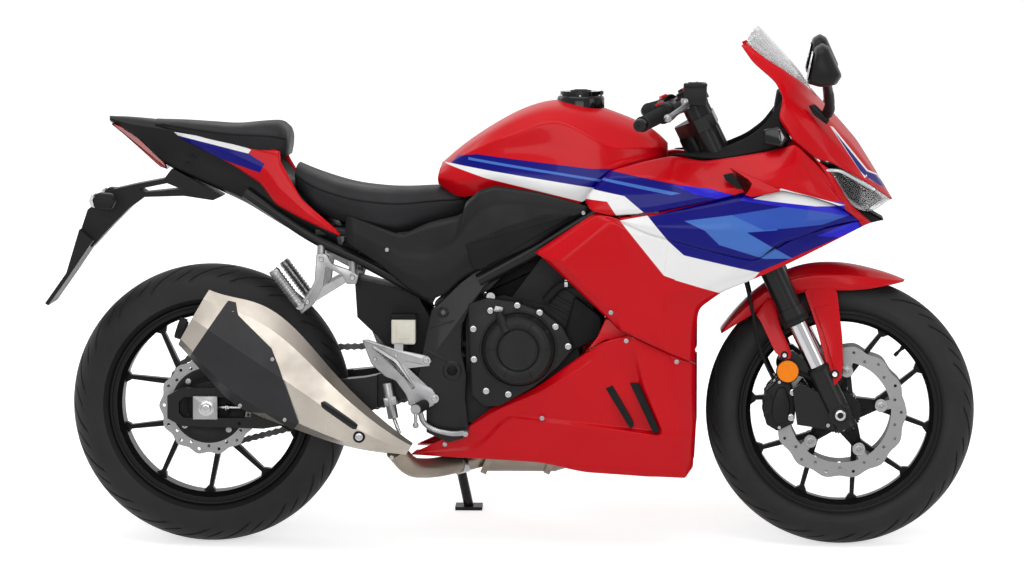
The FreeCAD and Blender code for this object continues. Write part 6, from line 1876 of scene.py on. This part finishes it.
@dataclass(frozen=True)
class ForkDetails:
    """Fork caps, caliper covers and bolts, reflectors, axle ends and the brake hoses."""

    leg_side: float = 0.102
    offset: float = 0.037
    hose_route: tuple[Point, ...] = ((819, 50, 523), (829, 56, 488), (847, 64, 436), (861, 67, 378), (870, 66, 322),
        (888, 52, 278), (900, 46, 256))

    def build(self) -> None:
        """Makes the fork's small pieces."""
        for side in Side:
            self.hose(side)
        top = steer_point(self.offset, -self.leg_side, 0.790)
        cap = turned(top, STEER_UP, mm(0, 25.5, 7, 25.5, 8.5, 24, 8.5, 19, 6, 18, 6, 11), 32)
        put("fork_caps", cap.both(), DARK_PLASTIC, body=Body.FORK)
        put("fork_adjusters", hex_bolt(top + STEER_UP * 0.006, STEER_UP, 0.0085, 0.008).both(), RED_SWITCH,
            body=Body.FORK)
        seal = turned(steer_point(self.offset, -self.leg_side, 0.2225), STEER_UP,
            mm(0, 22.5, 2, 28.5, 10, 30.5, 14, 30.8, 18, 30.5), 36)
        put("fork_seals", seal.both(), RUBBER, body=Body.FORK)
        ring = turned(steer_point(self.offset, -self.leg_side, 0.108), STEER_UP,
            mm(0, 25.5, 4, 26.2, 8, 25.5, 11, 22.5), 36)
        put("fork_collars", ring.both(), CALIPER_PAINT, body=Body.FORK)
        self.axle_ends()
        self.calipers()
        self.reflectors()

    def hose(self, side: Side) -> None:
        """One brake hose, from the lower yoke down to its caliper, as a smooth free curve.

        Args:
            side: which side.
        """
        name = "brake_hose_" + side.name.lower()
        curve = bpy.data.curves.new(name, "CURVE")
        curve.dimensions = "3D"
        spline = curve.splines.new("NURBS")
        points = STANCE.place(to_side(shares(self.hose_route), side))
        spline.points.add(len(points) - 1)
        spline.points.foreach_set("co", np.hstack([points, np.ones((len(points), 1))]).ravel())
        spline.order_u = 3
        spline.use_endpoint_u = True
        spline.resolution_u = 10
        curve.bevel_depth = 0.004
        curve.bevel_resolution = 4
        curve.use_fill_caps = True
        curve.materials.append(RUBBER.material())
        piece = bpy.data.objects.new(name, curve)
        into_scene(piece)
        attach(piece, Body.FORK.value)
        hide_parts("brake_hoses")
        union = Shape.join([pin(shares((900, -46, 252)), shares((900, -46, 262)), 0.0062),
            hex_bolt(shares((896, -48, 262)), (0, 0, 1), 0.0055, 0.006)])
        fitting = put("hose_union_" + side.name.lower(), union if side is Side.RIGHT else union.mirrored(),
            BARE_ALLOY, body=Body.FORK)

    def axle_ends(self) -> None:
        """The rings and hexagon sockets at the front axle's ends."""
        ring = turned(FRONT_AXLE + (0, -0.1268, 0), OUT, mm(0, 16.5, 6, 16.5, 7.2, 15, 7.2, 12.5, 4, 12), 36)
        put("front_axle_rings", ring.both(), CALIPER_PAINT, body=Body.FORK)
        tip = turned(FRONT_AXLE + (0, -0.1298, 0), OUT, mm(0, 11.8, 5.2, 11.8, 6.2, 10.6, 6.2, 6.8, 1, 6), 30)
        put("front_axle_tips", tip.both(), BRIGHT_STEEL, body=Body.FORK)
        pinch = [cap_screw(shares((x, -72, z)) + (0, -0.012, 0), (0.2, -1, 0), 0.0048, 0.006)
            for x, z in ((980, 196), (1004, 190))]
        put("axle_pinch_bolts", Shape.join(pinch).both(), BRIGHT_STEEL, body=Body.FORK)

    def calipers(self) -> None:
        """The calipers' outer halves with piston covers, bridge bolts and bleed nipples."""
        shell = side_plate(((876, 222), (884, 250), (905, 269), (922, 264), (931, 228), (927, 197), (901, 184),
            (884, 194)), 0.0595, 0.0262, 0.005, 0.12)
        pads = side_plate(((900, 194), (918, 201), (922, 226), (914, 254), (902, 254), (893, 232), (892, 208)), 0.084,
            0.0042, 0.0026, 0.2)
        put("caliper_shells", Shape.join([shell, pads]).both(), CALIPER_PAINT, SOLID, Body.FORK)
        covers = [turned(beside(886, z, 0.084), OUT, mm(0, 9.8, 2.4, 9.6, 3, 8.8, 3, 5, 1.2, 4.6), 28)
            for z in (210, 238)]
        put("caliper_covers", Shape.join(covers).both(), CALIPER_PAINT, body=Body.FORK)
        bolts = [hex_bolt(beside(x, z, 0.0855), OUT, 0.0058, 0.006) for x, z in ((923, 206), (926, 246))]
        bolts += [cap_screw(beside(x, z, 0.0855), OUT, 0.0042, 0.004) for x, z in ((904, 190), (904, 262))]
        put("caliper_bolts", Shape.join(bolts).both(), BRIGHT_STEEL, body=Body.FORK)

    def reflectors(self) -> None:
        """Round amber reflectors in black rims, on brackets from the fork feet."""
        centre = beside(917, 281, 0.112)
        lens = turned(centre, OUT, mm(0, 24, 5.5, 24, 6.8, 22.6, 7, 14, 7.2, 1), 40)
        rim = turned(centre + (0, 0.006, 0), OUT, mm(0, 25, 9, 26.2, 10, 25.8, 10, 24.1), 40)
        arm = tube(bent_path(np.array([centre + (0, 0.004, 0), centre + (0.03, 0.01, -0.006),
            shares((958, -72, 268))]), 0.4), 0.006, 10)
        put("reflector_rims", Shape.join([rim, arm]).both(), DARK_PLASTIC, body=Body.FORK)
        put("reflectors", lens.both(), AMBER, body=Body.FORK)


@dataclass(frozen=True)
class Controls:
    """Ribbed grips, bar weights, switch housings and the front brake's fluid box."""

    grip_length: float = 0.128
    housing_length: float = 0.040

    def bar(self, share: float) -> Array:
        """A point on the right-hand bar: 0 at the fork tube and 1 at its end."""
        start = steer_point(0.010, -0.1155, 0.773)
        return start + (shares((690, -238, 677)) - start) * share

    def way(self) -> Array:
        """The way the right-hand bar points, outward."""
        step = self.bar(1.0) - self.bar(0.0)
        return step / np.linalg.norm(step)

    def build(self) -> None:
        """Makes the pieces on the bars."""
        end, way = self.bar(1.0), self.way()
        start = end - way * self.grip_length
        ribs = [(0, 0.0215), (0.004, 0.0215), (0.005, 0.0180), (0.008, 0.0166)]
        for k in range(16):
            t = 0.010 + 0.0070 * k
            ribs += [(t, 0.0166), (t + 0.0014, 0.0156), (t + 0.0052, 0.0156), (t + 0.0062, 0.0166)]
        ribs += [(0.1235, 0.0172), (0.1275, 0.0172), (0.128, 0.0165), (0.128, 0.0113)]
        put("ribbed_grips", turned(start, way, ribs, 40, 0.00035, 20).both(), RUBBER, Trim(sharp=50.0), Body.FORK,
            replaces=["grips"])
        cap = turned(end + way * 0.0004, way, mm(0, 14.5, 12, 14, 17.2, 12.8, 18.2, 11.8, 18.2, 6, 15, 5.5), 32)
        put("bar_weights", cap.both(), GLOSS_BLACK, body=Body.FORK)
        self.housings(end, way)
        self.reservoir(end, way)

    def housings(self, end: Array, way: Array) -> None:
        """The two-part switch housings with their rockers and buttons.

        Args:
            end: the bar's end.
            way: the way it points.
        """
        inner = end - way * (self.grip_length + self.housing_length)
        shell = turned(inner, way, mm(0, 19.5, 2, 21.5, 18, 22.5, 19.5, 21.8, 21, 22.5, 37, 21.8, 39.2, 20), 30,
            0.0009, 4)
        put("switch_housings", shell.both(), BLACK_PLASTIC, body=Body.FORK)
        back = np.cross(way, STEER_UP)
        back /= np.linalg.norm(back)
        back = back if back[0] < 0 else -back
        up = np.cross(back, way)
        up = up if up[2] > 0 else -up
        spot = inner + way * 0.016 + up * 0.021 + back * 0.006
        rocker = plate(mm(-12, -7, 12, -7, 12, 7, -12, 7), spot - up * 0.002, way, np.cross(up, way), 0.007, 0.002,
            0.2)
        put("stop_switches", rocker.both(), RED_SWITCH, body=Body.FORK)
        buttons = [turned(inner + way * t + back * 0.0205 - up * low, back, mm(0, 5.5, 4, 5.2, 5, 4.2), 20)
            for t, low in ((0.01, 0.004), (0.026, 0.004), (0.018, 0.012))]
        put("buttons", Shape.join(buttons).both(), DARK_PLASTIC, body=Body.FORK)

    def reservoir(self, end: Array, way: Array) -> None:
        """The front brake's fluid box: rounded body, lid with a lip and two screws.

        Args:
            end: the bar's end.
            way: the way it points.
        """
        spot = end - way * (self.grip_length + self.housing_length) + way * 0.015
        centre = spot + (0.063, 0, 0)
        outline = [(-0.026, -0.027), (0.026, -0.027), (0.026, 0.027), (-0.026, 0.027)]
        body = plate([(x * 0.97, y * 0.97) for x, y in outline], centre + (0, 0, 0.017), (1, 0, 0), (0, 1, 0), 0.039,
            0.004, 0.12)
        lid = plate(outline, centre + (0, 0, 0.054), (1, 0, 0), (0, 1, 0), 0.010, 0.0028, 0.12)
        rise = plate([(x * 0.62, y * 0.62) for x, y in outline], centre + (0, 0, 0.062), (1, 0, 0), (0, 1, 0), 0.0042,
            0.002, 0.14)
        put("brake_fluid_box", Shape.join([body, lid, rise]), BLACK_PLASTIC, SOLID, Body.FORK)
        screws = [cap_screw(centre + (dx, dy, 0.0638), (0, 0, 1), 0.0034, 0.002)
            for dx, dy in ((-0.019, -0.02), (0.019, 0.02))]
        put("fluid_box_screws", Shape.join(screws), BARE_ALLOY, body=Body.FORK)
        pivot = spot + way * 0.020 + STEER_FORWARD * 0.053
        knob = turned(pivot - (0, 0, 0.011), (0, 0, 1), mm(0, 9.5, 4, 10, 18, 10, 22, 8.5), 24)
        put("lever_pivots", knob.both(), BARE_ALLOY, body=Body.FORK)


@dataclass(frozen=True)
class Mirrors:
    """The mirrors: rounded heads, glass, stalks and feet."""

    outline: Outline = ((944, 740), (949, 770), (956, 796), (968, 803), (979, 797), (990, 772), (999, 752), (990, 738),
        (966, 734))
    stations: Outline = ((-176, 0.5), (-180, 0.78), (-192, 0.95), (-215, 1.0), (-240, 0.98), (-256, 0.85),
        (-262, 0.55))

    def build(self) -> None:
        """Makes both mirrors: one closed outline scaled from station to station across the bike."""
        ring = run_weights(len(self.outline), 0.22, 1, 4, closed=True) @ np.asarray(self.outline, float)
        middle = np.array([970.0, 768.0])
        rows = []
        for y, size in self.stations:
            flat = middle + (ring - middle) * size
            rows.append(np.stack([flat[:, 0], np.full(len(flat), y), flat[:, 1]], 1))
        dense = run_weights(len(rows), 0.5, 1, 3) @ np.stack(rows).reshape(len(rows), -1)
        grid = shares(dense.reshape(-1, len(ring), 3))
        arm = tube(smooth_path(shares(((978, -88, 688), (981, -106, 700), (979, -134, 724), (974, -176, 746),
            (971, -200, 756))), 5), shares(np.array([9, 8, 7, 6.5, 7.5]))[np.minimum(np.arange(21) // 5, 4)], 14)
        foot = side_plate(((948, 700), (958, 703), (982, 679), (977, 670), (956, 686)), 82 * SHARE, 0.016, 0.004, 0.2)
        put("mirror_heads", Shape.join([from_grid(grid, wrap_columns=True, capped=True), arm, foot]).both(),
            BLACK_PLASTIC, Trim(sharp=48.0), replaces=["mirrors"])
        low, high = shares((945.5, -219, 744)), shares((955.5, -219, 792))
        rise = (high - low) / np.linalg.norm(high - low)
        height = float(np.linalg.norm(high - low))
        flat = [(-0.05, 0.004), (0.05, 0.004), (0.054, height * 0.5), (0.044, height - 0.004),
            (-0.044, height - 0.004), (-0.054, height * 0.5)]
        glass = plate(flat, low - np.array([0.001, 0, 0]), OUT, rise, 0.0022, 0.0006, 0.15)
        put("mirror_glass", glass.both(), CHROME, SOLID)


# Engine, exhaust and footrests


def radial_bars(centre: Array, inner: float, outer: float, width: float, y: float,
        degrees: Sequence[float]) -> list[Shape]:
    """Thin bars in the side plane that run out from a centre, on the right-hand side.

    Args:
        centre: the centre.
        inner: radius where they start.
        outer: radius where they end.
        width: their width.
        y: where their faces lie.
        degrees: the way of each bar.

    Returns:
        The bars.
    """
    bars = []
    for angle in degrees:
        start, end = polar(centre, inner, angle, y), polar(centre, outer, angle, y)
        across = np.cross((end - start) / np.linalg.norm(end - start), (0, 1, 0)) * width / 2
        corners = np.stack([start - across, end - across, end + across, start + across])
        flat = corners[:, [0, 2]]
        bars.append(plate(flat, (0, y, 0), (1, 0, 0), (0, 0, 1), 0.0022, 0.0006))
    return bars


@dataclass(frozen=True)
class EngineDetails:
    """Covers, screws, fins and small parts of the engine and the frame."""

    cover: Outline = ((414, 388), (445, 398), (493, 391), (535, 375), (562, 355), (581, 319), (556, 289), (516, 256),
        (464, 227), (438, 227), (420, 244))
    left: Outline = ((423, 243), (423, 382), (501, 394), (572, 351), (580, 321), (553, 295), (514, 263), (470, 236))
    bolts: Outline = ((450, 378), (492, 386), (527, 375), (552, 353), (572, 322), (423, 349), (424, 301), (443, 251),
        (478, 246), (520, 272))
    left_bolts: Outline = ((430, 374), (498, 386), (564, 347), (570, 322), (548, 302), (510, 272), (469, 245),
        (430, 252), (430, 312), (534, 370))

    def build(self) -> None:
        """Makes the engine's outer pieces."""
        right = side_plate(self.cover, 0.124, 0.0375, 0.004, 0.1, 4)
        left = side_plate(self.left, 0.124, 0.0375, 0.004, 0.1, 4, side=Side.LEFT)
        put("case_covers", Shape.join([right, left]), ENGINE_COVER, SOLID)
        self.clutch()
        self.generator()
        self.screws()
        self.cylinders()
        self.frame_parts()

    def clutch(self) -> None:
        """The round clutch cover: flange, bevelled bowl, groove and raised cap, carried round its axis."""
        centre = beside(494, 317, 0.16)
        profile = [(0, 0.0865), (0.0045, 0.0865), (0.006, 0.085), (0.006, 0.0825), (0.004, 0.0815), (0.005, 0.0805),
            (0.012, 0.0795), (0.024, 0.074), (0.0285, 0.0712), (0.0305, 0.068), (0.0315, 0.06), (0.0322, 0.0485),
            (0.0312, 0.0465), (0.033, 0.0448), (0.0372, 0.0438), (0.0388, 0.0422), (0.039, 0.0405), (0.0378, 0.0392),
            (0.0372, 0.025), (0.0372, 0.002)]
        bars = radial_bars(centre, 0.047, 0.0690, 0.0016, centre[1] - 0.0305, (2, 62, 118, 178, 242, 298))
        put("clutch_cover", turned(centre, OUT, profile, 72), ENGINE_COVER)
        put("clutch_lines", Shape.join(bars), CALIPER_PAINT)
        low, high = shares((475, -131, 346)), shares((462, -128, 382))
        boss = turned(low, high - low, mm(0, 12.5, 30, 11.8, 33, 9.6, 45, 9), 24)
        put("clutch_arm_boss", boss, ENGINE_COVER)
        arm = side_plate(((455, 378), (458, 387), (471, 384), (469, 375)), 0.171, 0.01, 0.0018, 0.12)
        put("clutch_arm", arm, BARE_ALLOY, SOLID)

    def generator(self) -> None:
        """The generator cover on the left, carried round its axis."""
        centre = beside(505, 315, -0.16)
        profile = [(0, 0.072), (0.003, 0.072), (0.005, 0.069), (0.015, 0.0672), (0.018, 0.064), (0.0188, 0.046),
            (0.0172, 0.0445), (0.0172, 0.034), (0.0194, 0.0325), (0.0196, 0.02), (0.018, 0.018), (0.018, 0.002)]
        put("generator_cover", turned(centre, (0, 1, 0), profile, 64), ENGINE_COVER)
        plug = hex_bolt(beside(505, 315, -0.1782), (0, 1, 0), 0.008, 0.005)
        cover = side_plate(((402, 268), (408, 306), (436, 324), (470, 318), (482, 288), (468, 256), (432, 244)), 0.11,
            0.04, 0.005, 0.15, 4, side=Side.LEFT)
        put("sprocket_guard", cover, ENGINE_COVER, SOLID)
        put("generator_plug", plug, BRIGHT_STEEL)

    def screws(self) -> None:
        """The bright screws round both covers, each on a small boss."""
        right = [beside(x, z, 0.16) for x, z in self.bolts]
        left = [beside(x, z, -0.16) for x, z in self.left_bolts]
        bosses, heads = [], []
        for spot in right + left:
            way = 1 if spot[1] > 0 else -1
            bosses.append(turned(spot - (0, 0.030 * way, 0), (0, way, 0), mm(0, 10.5, 30.5, 10, 32, 8.8), 24))
            heads.append(hex_bolt(spot + (0, 0.0018 * way, 0), (0, way, 0), 0.0052, 0.0052))
        put("cover_bosses", Shape.join(bosses), ENGINE_COVER)
        put("cover_screws", Shape.join(heads), BRIGHT_STEEL)

    def cylinders(self) -> None:
        """Fins across the inclined cylinders, head covers, coolant pipe, side tanks and throttle bodies."""
        low, high = np.array([(505, 352), (562, 330)]), np.array([(600, 470), (652, 428)])
        fins = []
        for k in range(7):
            t = 0.22 + 0.1 * k
            a, b = low[0] + (high[0] - low[0]) * t, low[1] + (high[1] - low[1]) * t
            across = (high[0] - low[0]) / np.linalg.norm(high[0] - low[0]) * 2.2
            fins.append(side_plate((a - across, b - across, b + across, a + across), 0.11, 0.0105, 0.0008))
        put("cylinder_fins", Shape.join(fins).both(), ENGINE_CAST_SHADED, SOLID)
        head = side_plate(((566, 500), (585, 512), (640, 462), (660, 424), (650, 412), (632, 440)), 0.095, 0.03, 0.004,
            0.12)
        put("head_covers", head.both(), ENGINE_COVER, SOLID)
        pipe = tube(bent_path(shares(((536, -92, 392), (560, -96, 420), (610, -96, 420), (668, -92, 398))), 0.4),
            0.010, 14)
        clips = [turned(shares((x, -96, 420)), (1, 0, 0), mm(0, 11.8, 7, 11.8), 20) for x in (566, 600)]
        put("coolant_pipe", pipe, RUBBER)
        put("coolant_clips", Shape.join(clips), BRIGHT_STEEL)
        side_tank = side_plate(((582, 400), (624, 367), (624, 336), (560, 303), (556, 320), (570, 356)), 0.112, 0.02,
            0.004, 0.12)
        put("radiator_side_tanks", side_tank.both(), DARK_PLASTIC, SOLID)
        bodies = side_plate(((438, 402), (469, 430), (496, 447), (560, 470), (600, 478), (569, 412), (540, 388),
            (470, 392)), 0.0, 0.078, 0.006, 0.12)
        put("throttle_bodies", bodies.both(), DARK_PLASTIC, SOLID)
        plug = turned(shares((450, -100, 399)), OUT, mm(0, 11, 8, 11, 10, 9.5, 10, 5), 28)
        put("upper_engine_bolt", plug, BRIGHT_STEEL)

    def frame_parts(self) -> None:
        """Pivot plates with raised lines, the frame's webs, their bolts, and the fins of the radiator."""
        skin = side_plate(((461, 449), (461, 436), (438, 411), (416, 376), (404, 352), (404, 313), (412, 275),
            (410, 236), (415, 186), (405, 174), (383, 168), (348, 184), (348, 223), (334, 272), (348, 340), (356, 377),
            (374, 394), (401, 421), (428, 442)), 0.13, 0.0155, 0.003, 0.06)
        boss = [turned(beside(x, z, 0.1435), OUT, [(0, r), (0.004, r), (0.0055, r - 0.002), (0.0055, r * 0.55),
            (0.002, r * 0.5)], 36) for x, z, r in ((389, 282, 0.021), (375, 374, 0.012))]
        lines = [side_plate(outline, 0.142, 0.005, 0.001) for outline in (
            ((352, 352), (371, 358), (392, 362), (392, 359), (372, 354), (353, 348)),
            ((343, 306), (352, 314), (398, 292), (397, 288), (352, 309), (344, 301)))]
        web = side_plate(((359, 382), (362, 391), (391, 418), (429, 440), (461, 445), (464, 427), (448, 409),
            (419, 393), (375, 382)), 0.112, 0.014, 0.002, 0.08)
        put("frame_webs", web.both(), FRAME_PAINT, SOLID)
        put("pivot_plates", Shape.join([skin] + boss + lines).both(), FRAME_PAINT, SOLID)
        head = cap_screw(beside(375, 374, 0.1455), OUT, 0.0058, 0.003)
        put("frame_bolts", head.both(), CHAIN_STEEL)
        fins = []
        low, high = shares((718.5, 0, 250)), shares((736.5, 0, 438))
        for k in range(30):
            spot = low + (high - low) * (k / 29)
            fins.append(plate(mm(-130, 0, 130, 0, 130, 2.2, -130, 2.2), spot, (0, 1, 0), (0, 0, 1), 0.003, 0.0003))
        put("radiator_fins", Shape.join(fins), RADIATOR_BLACK, Trim(smooth=False))


@dataclass(frozen=True)
class Exhaust:
    """The silencer's slot, grommet, screws and tip, the collector's bands and the link pipe's clamp."""

    def build(self) -> None:
        """Makes the exhaust's small pieces."""
        slot = side_plate(((187, 238), (194, 241), (246, 204), (243, 196), (236, 197), (189, 230)), 0.2507, 0.0056,
            0.001, 0.2)
        put("silencer_slot", slot, GLOSS_BLACK, SOLID)
        spot = beside(247, 184, 0.2435)
        rubber = turned(spot, OUT, mm(0, 13.5, 9, 13.2, 10.5, 11, 10.5, 6), 32)
        put("silencer_grommet", rubber, RUBBER)
        bolts = [hex_bolt(spot - (0, 0.0095, 0), OUT, 0.0062, 0.006),
            cap_screw(beside(297, 150, 0.222), OUT, 0.0055, 0.006)]
        put("silencer_bolts", Shape.join(bolts), BRIGHT_STEEL)
        screws = [cap_screw(beside(x, z, y), OUT, 0.0044, 0.003) for x, z, y in ((60, 232, 0.243), (130, 210, 0.244),
            (50, 378, 0.245), (112, 306, 0.2585))]
        put("shield_screws", Shape.join(screws), BARE_ALLOY)
        band = [tube(shares(((x, 0, 140), (x + 9, 0, 136))), 0.0455, 40) for x in (441, 542)]
        put("collector_bands", Shape.join(band), HEADER_STEEL)
        link = shares(((404, -8, 128), (392, -22, 126)))
        clamp = [tube(link, 0.0245, 28), pin(shares((398, -28, 134)), shares((398, -28, 150)), 0.0045)]
        put("link_clamp", Shape.join(clamp), BRIGHT_STEEL)
        mouth = shares((-38, -149, 352))
        tip = turned(mouth + (0.012, 0, -0.004), (-0.92, 0, 0.3), mm(0, 24, 14, 24, 16, 22.5, 16, 20, -4, 19.5), 36)
        put("silencer_tip", tip, DARK_PLASTIC)


@dataclass(frozen=True)
class Footrests:
    """Brackets, bolts and sleeves of the footrests, the rear brake's cup and its cylinder."""

    bracket: Outline = ((247, 330), (256, 331), (300, 316), (349, 306), (357, 297), (352, 290), (312, 297), (327, 268),
        (358, 254), (366, 240), (360, 227), (338, 218), (322, 228), (316, 244), (300, 266), (284, 272), (262, 292))

    def build(self) -> None:
        """Makes the footrests' pieces."""
        plate_shape = side_plate(self.bracket, 0.1435, 0.0115, 0.0022, 0.12)
        ridge = side_plate(((262, 318), (300, 294), (326, 252), (331, 256), (304, 299), (266, 323)), 0.1545, 0.0045,
            0.002, 0.1)
        put("rider_brackets", Shape.join([plate_shape, ridge]).both(), BARE_ALLOY, SOLID)
        spots = ((348, 298), (361, 238), (301, 306), (268, 300), (330, 232))
        heads = [cap_screw(beside(x, z, 0.1545), OUT, 0.0062, 0.005) for x, z in spots[:2]]
        heads += [cap_screw(beside(x, z, 0.1545), OUT, 0.0036, 0.003) for x, z in spots[2:]]
        rings = [turned(beside(x, z, 0.154), OUT, mm(0, 10.8, 1.8, 10.4), 28) for x, z in spots[:2]]
        put("bracket_bolts", Shape.join(heads + rings).both(), BRIGHT_STEEL)
        root, tip = beside(345, 228, 0.15), beside(335, 226, 0.23)
        length = float(np.linalg.norm(tip - root))
        ribs = [(0, 0.0125), (0.004, 0.0125)]
        for k in range(9):
            t = 0.008 + 0.0078 * k
            ribs += [(t, 0.0108), (t + 0.001, 0.0124), (t + 0.0046, 0.0124), (t + 0.0056, 0.0108)]
        ribs += [(length - 0.001, 0.0122), (length, 0.0105)]
        put("peg_sleeves", turned(root, tip - root, ribs, 28).both(), RUBBER, Trim(sharp=50.0))
        feeler = [pin(tip - (0, 0.002, 0.008), tip - (0, 0.002, 0.03), 0.004),
            turned(tip - (0, 0.002, 0.029), (0, 0, -1), mm(0, 3.5, 2, 6, 6, 7, 10, 6, 12, 3), 18)]
        put("peg_feelers", Shape.join(feeler).both(), BARE_ALLOY)
        self.passenger()
        self.cup()

    def passenger(self) -> None:
        """The folded passenger pegs with ribbed sleeves, their brackets and screws."""
        root, tip = [shares(s) - (0, 0.138, 0) for s in ((146, 0, 387), (107, 0, 439))]
        length = float(np.linalg.norm(tip - root))
        ribs = [(0, 0.0112), (0.006, 0.0125)]
        for k in range(9):
            t = 0.012 + 0.0075 * k
            ribs += [(t, 0.0112), (t + 0.001, 0.0128), (t + 0.0044, 0.0128), (t + 0.0054, 0.0112)]
        ribs += [(length - 0.004, 0.0128), (length, 0.0100)]
        put("pillion_sleeves", turned(root, tip - root, ribs, 28).both(), BARE_ALLOY, Trim(sharp=50.0))
        arms = side_plate(((174, 465), (190, 465), (199, 449), (228, 439), (241, 431), (237, 417), (222, 417),
            (214, 432), (189, 444), (185, 413), (170, 385), (150, 369), (143, 384), (158, 398), (171, 421)), 0.1175,
            0.0115, 0.0022, 0.1)
        put("pillion_brackets", arms.both(), BARE_ALLOY, SOLID)
        heads = [cap_screw(beside(x, z, 0.1288), OUT, 0.0052, 0.0042) for x, z in ((182, 456), (231, 427), (160, 388))]
        put("pillion_screws", Shape.join(heads).both(), BRIGHT_STEEL)

    def cup(self) -> None:
        """The rear brake's fluid cup with its black lid, its cylinder and rod."""
        body = side_plate(((293, 323), (331, 323), (331, 364), (293, 364)), 0.1155, 0.0325, 0.004, 0.1, 4)
        label = side_plate(((302, 332), (322, 332), (322, 354), (302, 354)), 0.147, 0.0022, 0.0008, 0.08)
        put("fluid_cup", Shape.join([body, label]), CUP_PLASTIC, SOLID, replaces=["brake_reservoir"])
        lid = side_plate(((291, 362), (333, 362), (332, 371), (292, 371)), 0.114, 0.0355, 0.003, 0.12)
        foot = side_plate(((300, 314), (318, 314), (318, 325), (300, 325)), 0.122, 0.018, 0.002, 0.12)
        put("fluid_cup_lid", Shape.join([lid, foot]), DARK_PLASTIC, SOLID)
        cylinder = [pin(shares((286, -103, 262)), shares((296, -103, 206)), 0.0115),
            side_plate(((280, 238), (300, 242), (303, 228), (283, 224)), 0.134, 0.022, 0.002, 0.1)]
        put("rear_brake_cylinder", Shape.join(cylinder), BARE_ALLOY, SOLID)
        rod = pin(shares((297, -103, 206)), shares((306, -106, 182)), 0.0042)
        put("rear_brake_rod", rod, BRIGHT_STEEL)


@dataclass(frozen=True)
class RearEnd:
    """Turn signals and the dash."""

    def build(self) -> None:
        """Makes the signals and the dash."""
        shell = side_plate(((-178, 536), (-150, 534), (-144, 546), (-150, 558), (-172, 560), (-182, 550)), 62 * SHARE,
            30 * SHARE, 0.005, 0.2, 4)
        stalk = turned(shares((-160, -28, 547)), OUT, mm(0, 9.5, 6, 9.5, 12, 7.5, 44, 7, 50, 10), 20)
        put("rear_signal_bodies", Shape.join([shell, stalk]).both(), BLACK_PLASTIC, SOLID, replaces=["signals"])
        lens = side_plate(((-183, 538), (-176, 536), (-178, 548), (-176, 559), (-182, 557), (-186, 548)), 64 * SHARE,
            27 * SHARE, 0.0022, 0.15)
        put("rear_signal_lenses", lens.both(), LAMP_WHITE_CLEAR, SOLID)
        front = side_plate(((878, 664), (902, 669), (914, 651), (906, 637), (879, 642)), 108 * SHARE, 22 * SHARE,
            0.004, 0.15)
        put("front_signal_bodies", front.both(), GLOSS_BLACK, SOLID)
        clear = side_plate(((902, 667), (911, 652), (905, 641), (901, 653)), 112 * SHARE, 20 * SHARE, 0.003, 0.15)
        put("front_signal_lenses", clear.both(), BARE_ALLOY, SOLID)
        self.dash()

    def dash(self) -> None:
        """The dash: a rounded housing with a dark display, facing the rider."""
        low, high = shares((906, 0, 680)), shares((912, 0, 716))
        rise = (high - low) / np.linalg.norm(high - low)
        outline = [(-0.086, 0), (0.086, 0), (0.078, 0.056), (-0.078, 0.056)]
        housing = plate(outline, low, OUT, rise, 0.02, 0.005, 0.12)
        shift = np.array([-0.0012, 0, 0])
        display = plate([(x * 0.86, 0.006 + y * 0.78) for x, y in outline], low + shift, OUT, rise, 0.004, 0.001, 0.08)
        put("dash_housing", housing, DARK_PLASTIC, SOLID, replaces=["cockpit"])
        put("dash_display", display, GLOSS_BLACK, SOLID)


def dress(finish: Finish, *nodes: str) -> None:
    """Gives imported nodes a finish.

    Args:
        finish: the finish.
        nodes: the nodes' names.
    """
    for name in nodes:
        node = bpy.data.objects[name]
        node.data.materials.clear()
        node.data.materials.append(finish.material())


CAD_FINISHES = (
    (FRAME_PAINT, "frame subframe swingarm yokes handlebars side_stand fork_tubes fork_bottoms"),
    # The engine's body and the shock take the darker cast black, painted shade.
    (ENGINE_CAST_SHADED, "engine rear_shock"),
    (ENGINE_COVER, "engine_covers"),
    (RED_PAINT, "front_fender nose_fairing side_fairings belly_fairings"),
    (TANK_PAINT, "tank"),
    (TAIL_PAINT, "tail_panels"),
    (BLACK_PLASTIC, "tail_cowl plate_bracket side_covers cockpit mirrors inner_fender controls signals"),
    (SEAT_VINYL, "rider_seat pillion_seat"),
    (BARE_ALLOY, "pillion_footrests rider_footrests levers"),
    (WHEEL_PAINT, "front_rim rear_rim"),
    (TITANIUM, "muffler"),
    (SHIELD_BLACK, "muffler_shield"),
    (HEADER_STEEL, "exhaust_pipes"),
    (DISC_STEEL, "front_discs rear_disc"),
    (CHAIN_STEEL, "sprocket chain"),
    (CHROME, "fork_sliders"),
    (CALIPER_PAINT, "front_calipers rear_caliper"),
    (RADIATOR_BLACK, "radiator"),
    (GLOSS_BLACK, "fuel_cap"),
    (RUBBER, "grips brake_hoses"),
    (TYRE_RUBBER, "front_tyre rear_tyre"),
    (SCREEN, "windscreen"),
    (LENS, "headlights"),
    (LAMP_RED, "tail_light"),
    (CUP_PLASTIC, "brake_reservoir"),
)


def main() -> None:
    """Lights the scene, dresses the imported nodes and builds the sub-assemblies in order."""
    logging.basicConfig(level=logging.INFO, format="%(message)s")
    Studio().build()
    for finish, nodes in CAD_FINISHES:
        dress(finish, *nodes.split())
    for assembly in (Tank(), SideCovers(), Fairing(), Nose(), FrontFender(), Tail(), Seats(), Wheels(), ForkDetails(),
        Controls(), Mirrors(), EngineDetails(), Exhaust(), Footrests(), RearEnd()):
        assembly.build()
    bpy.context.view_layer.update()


if __name__ == "__main__":
    main()
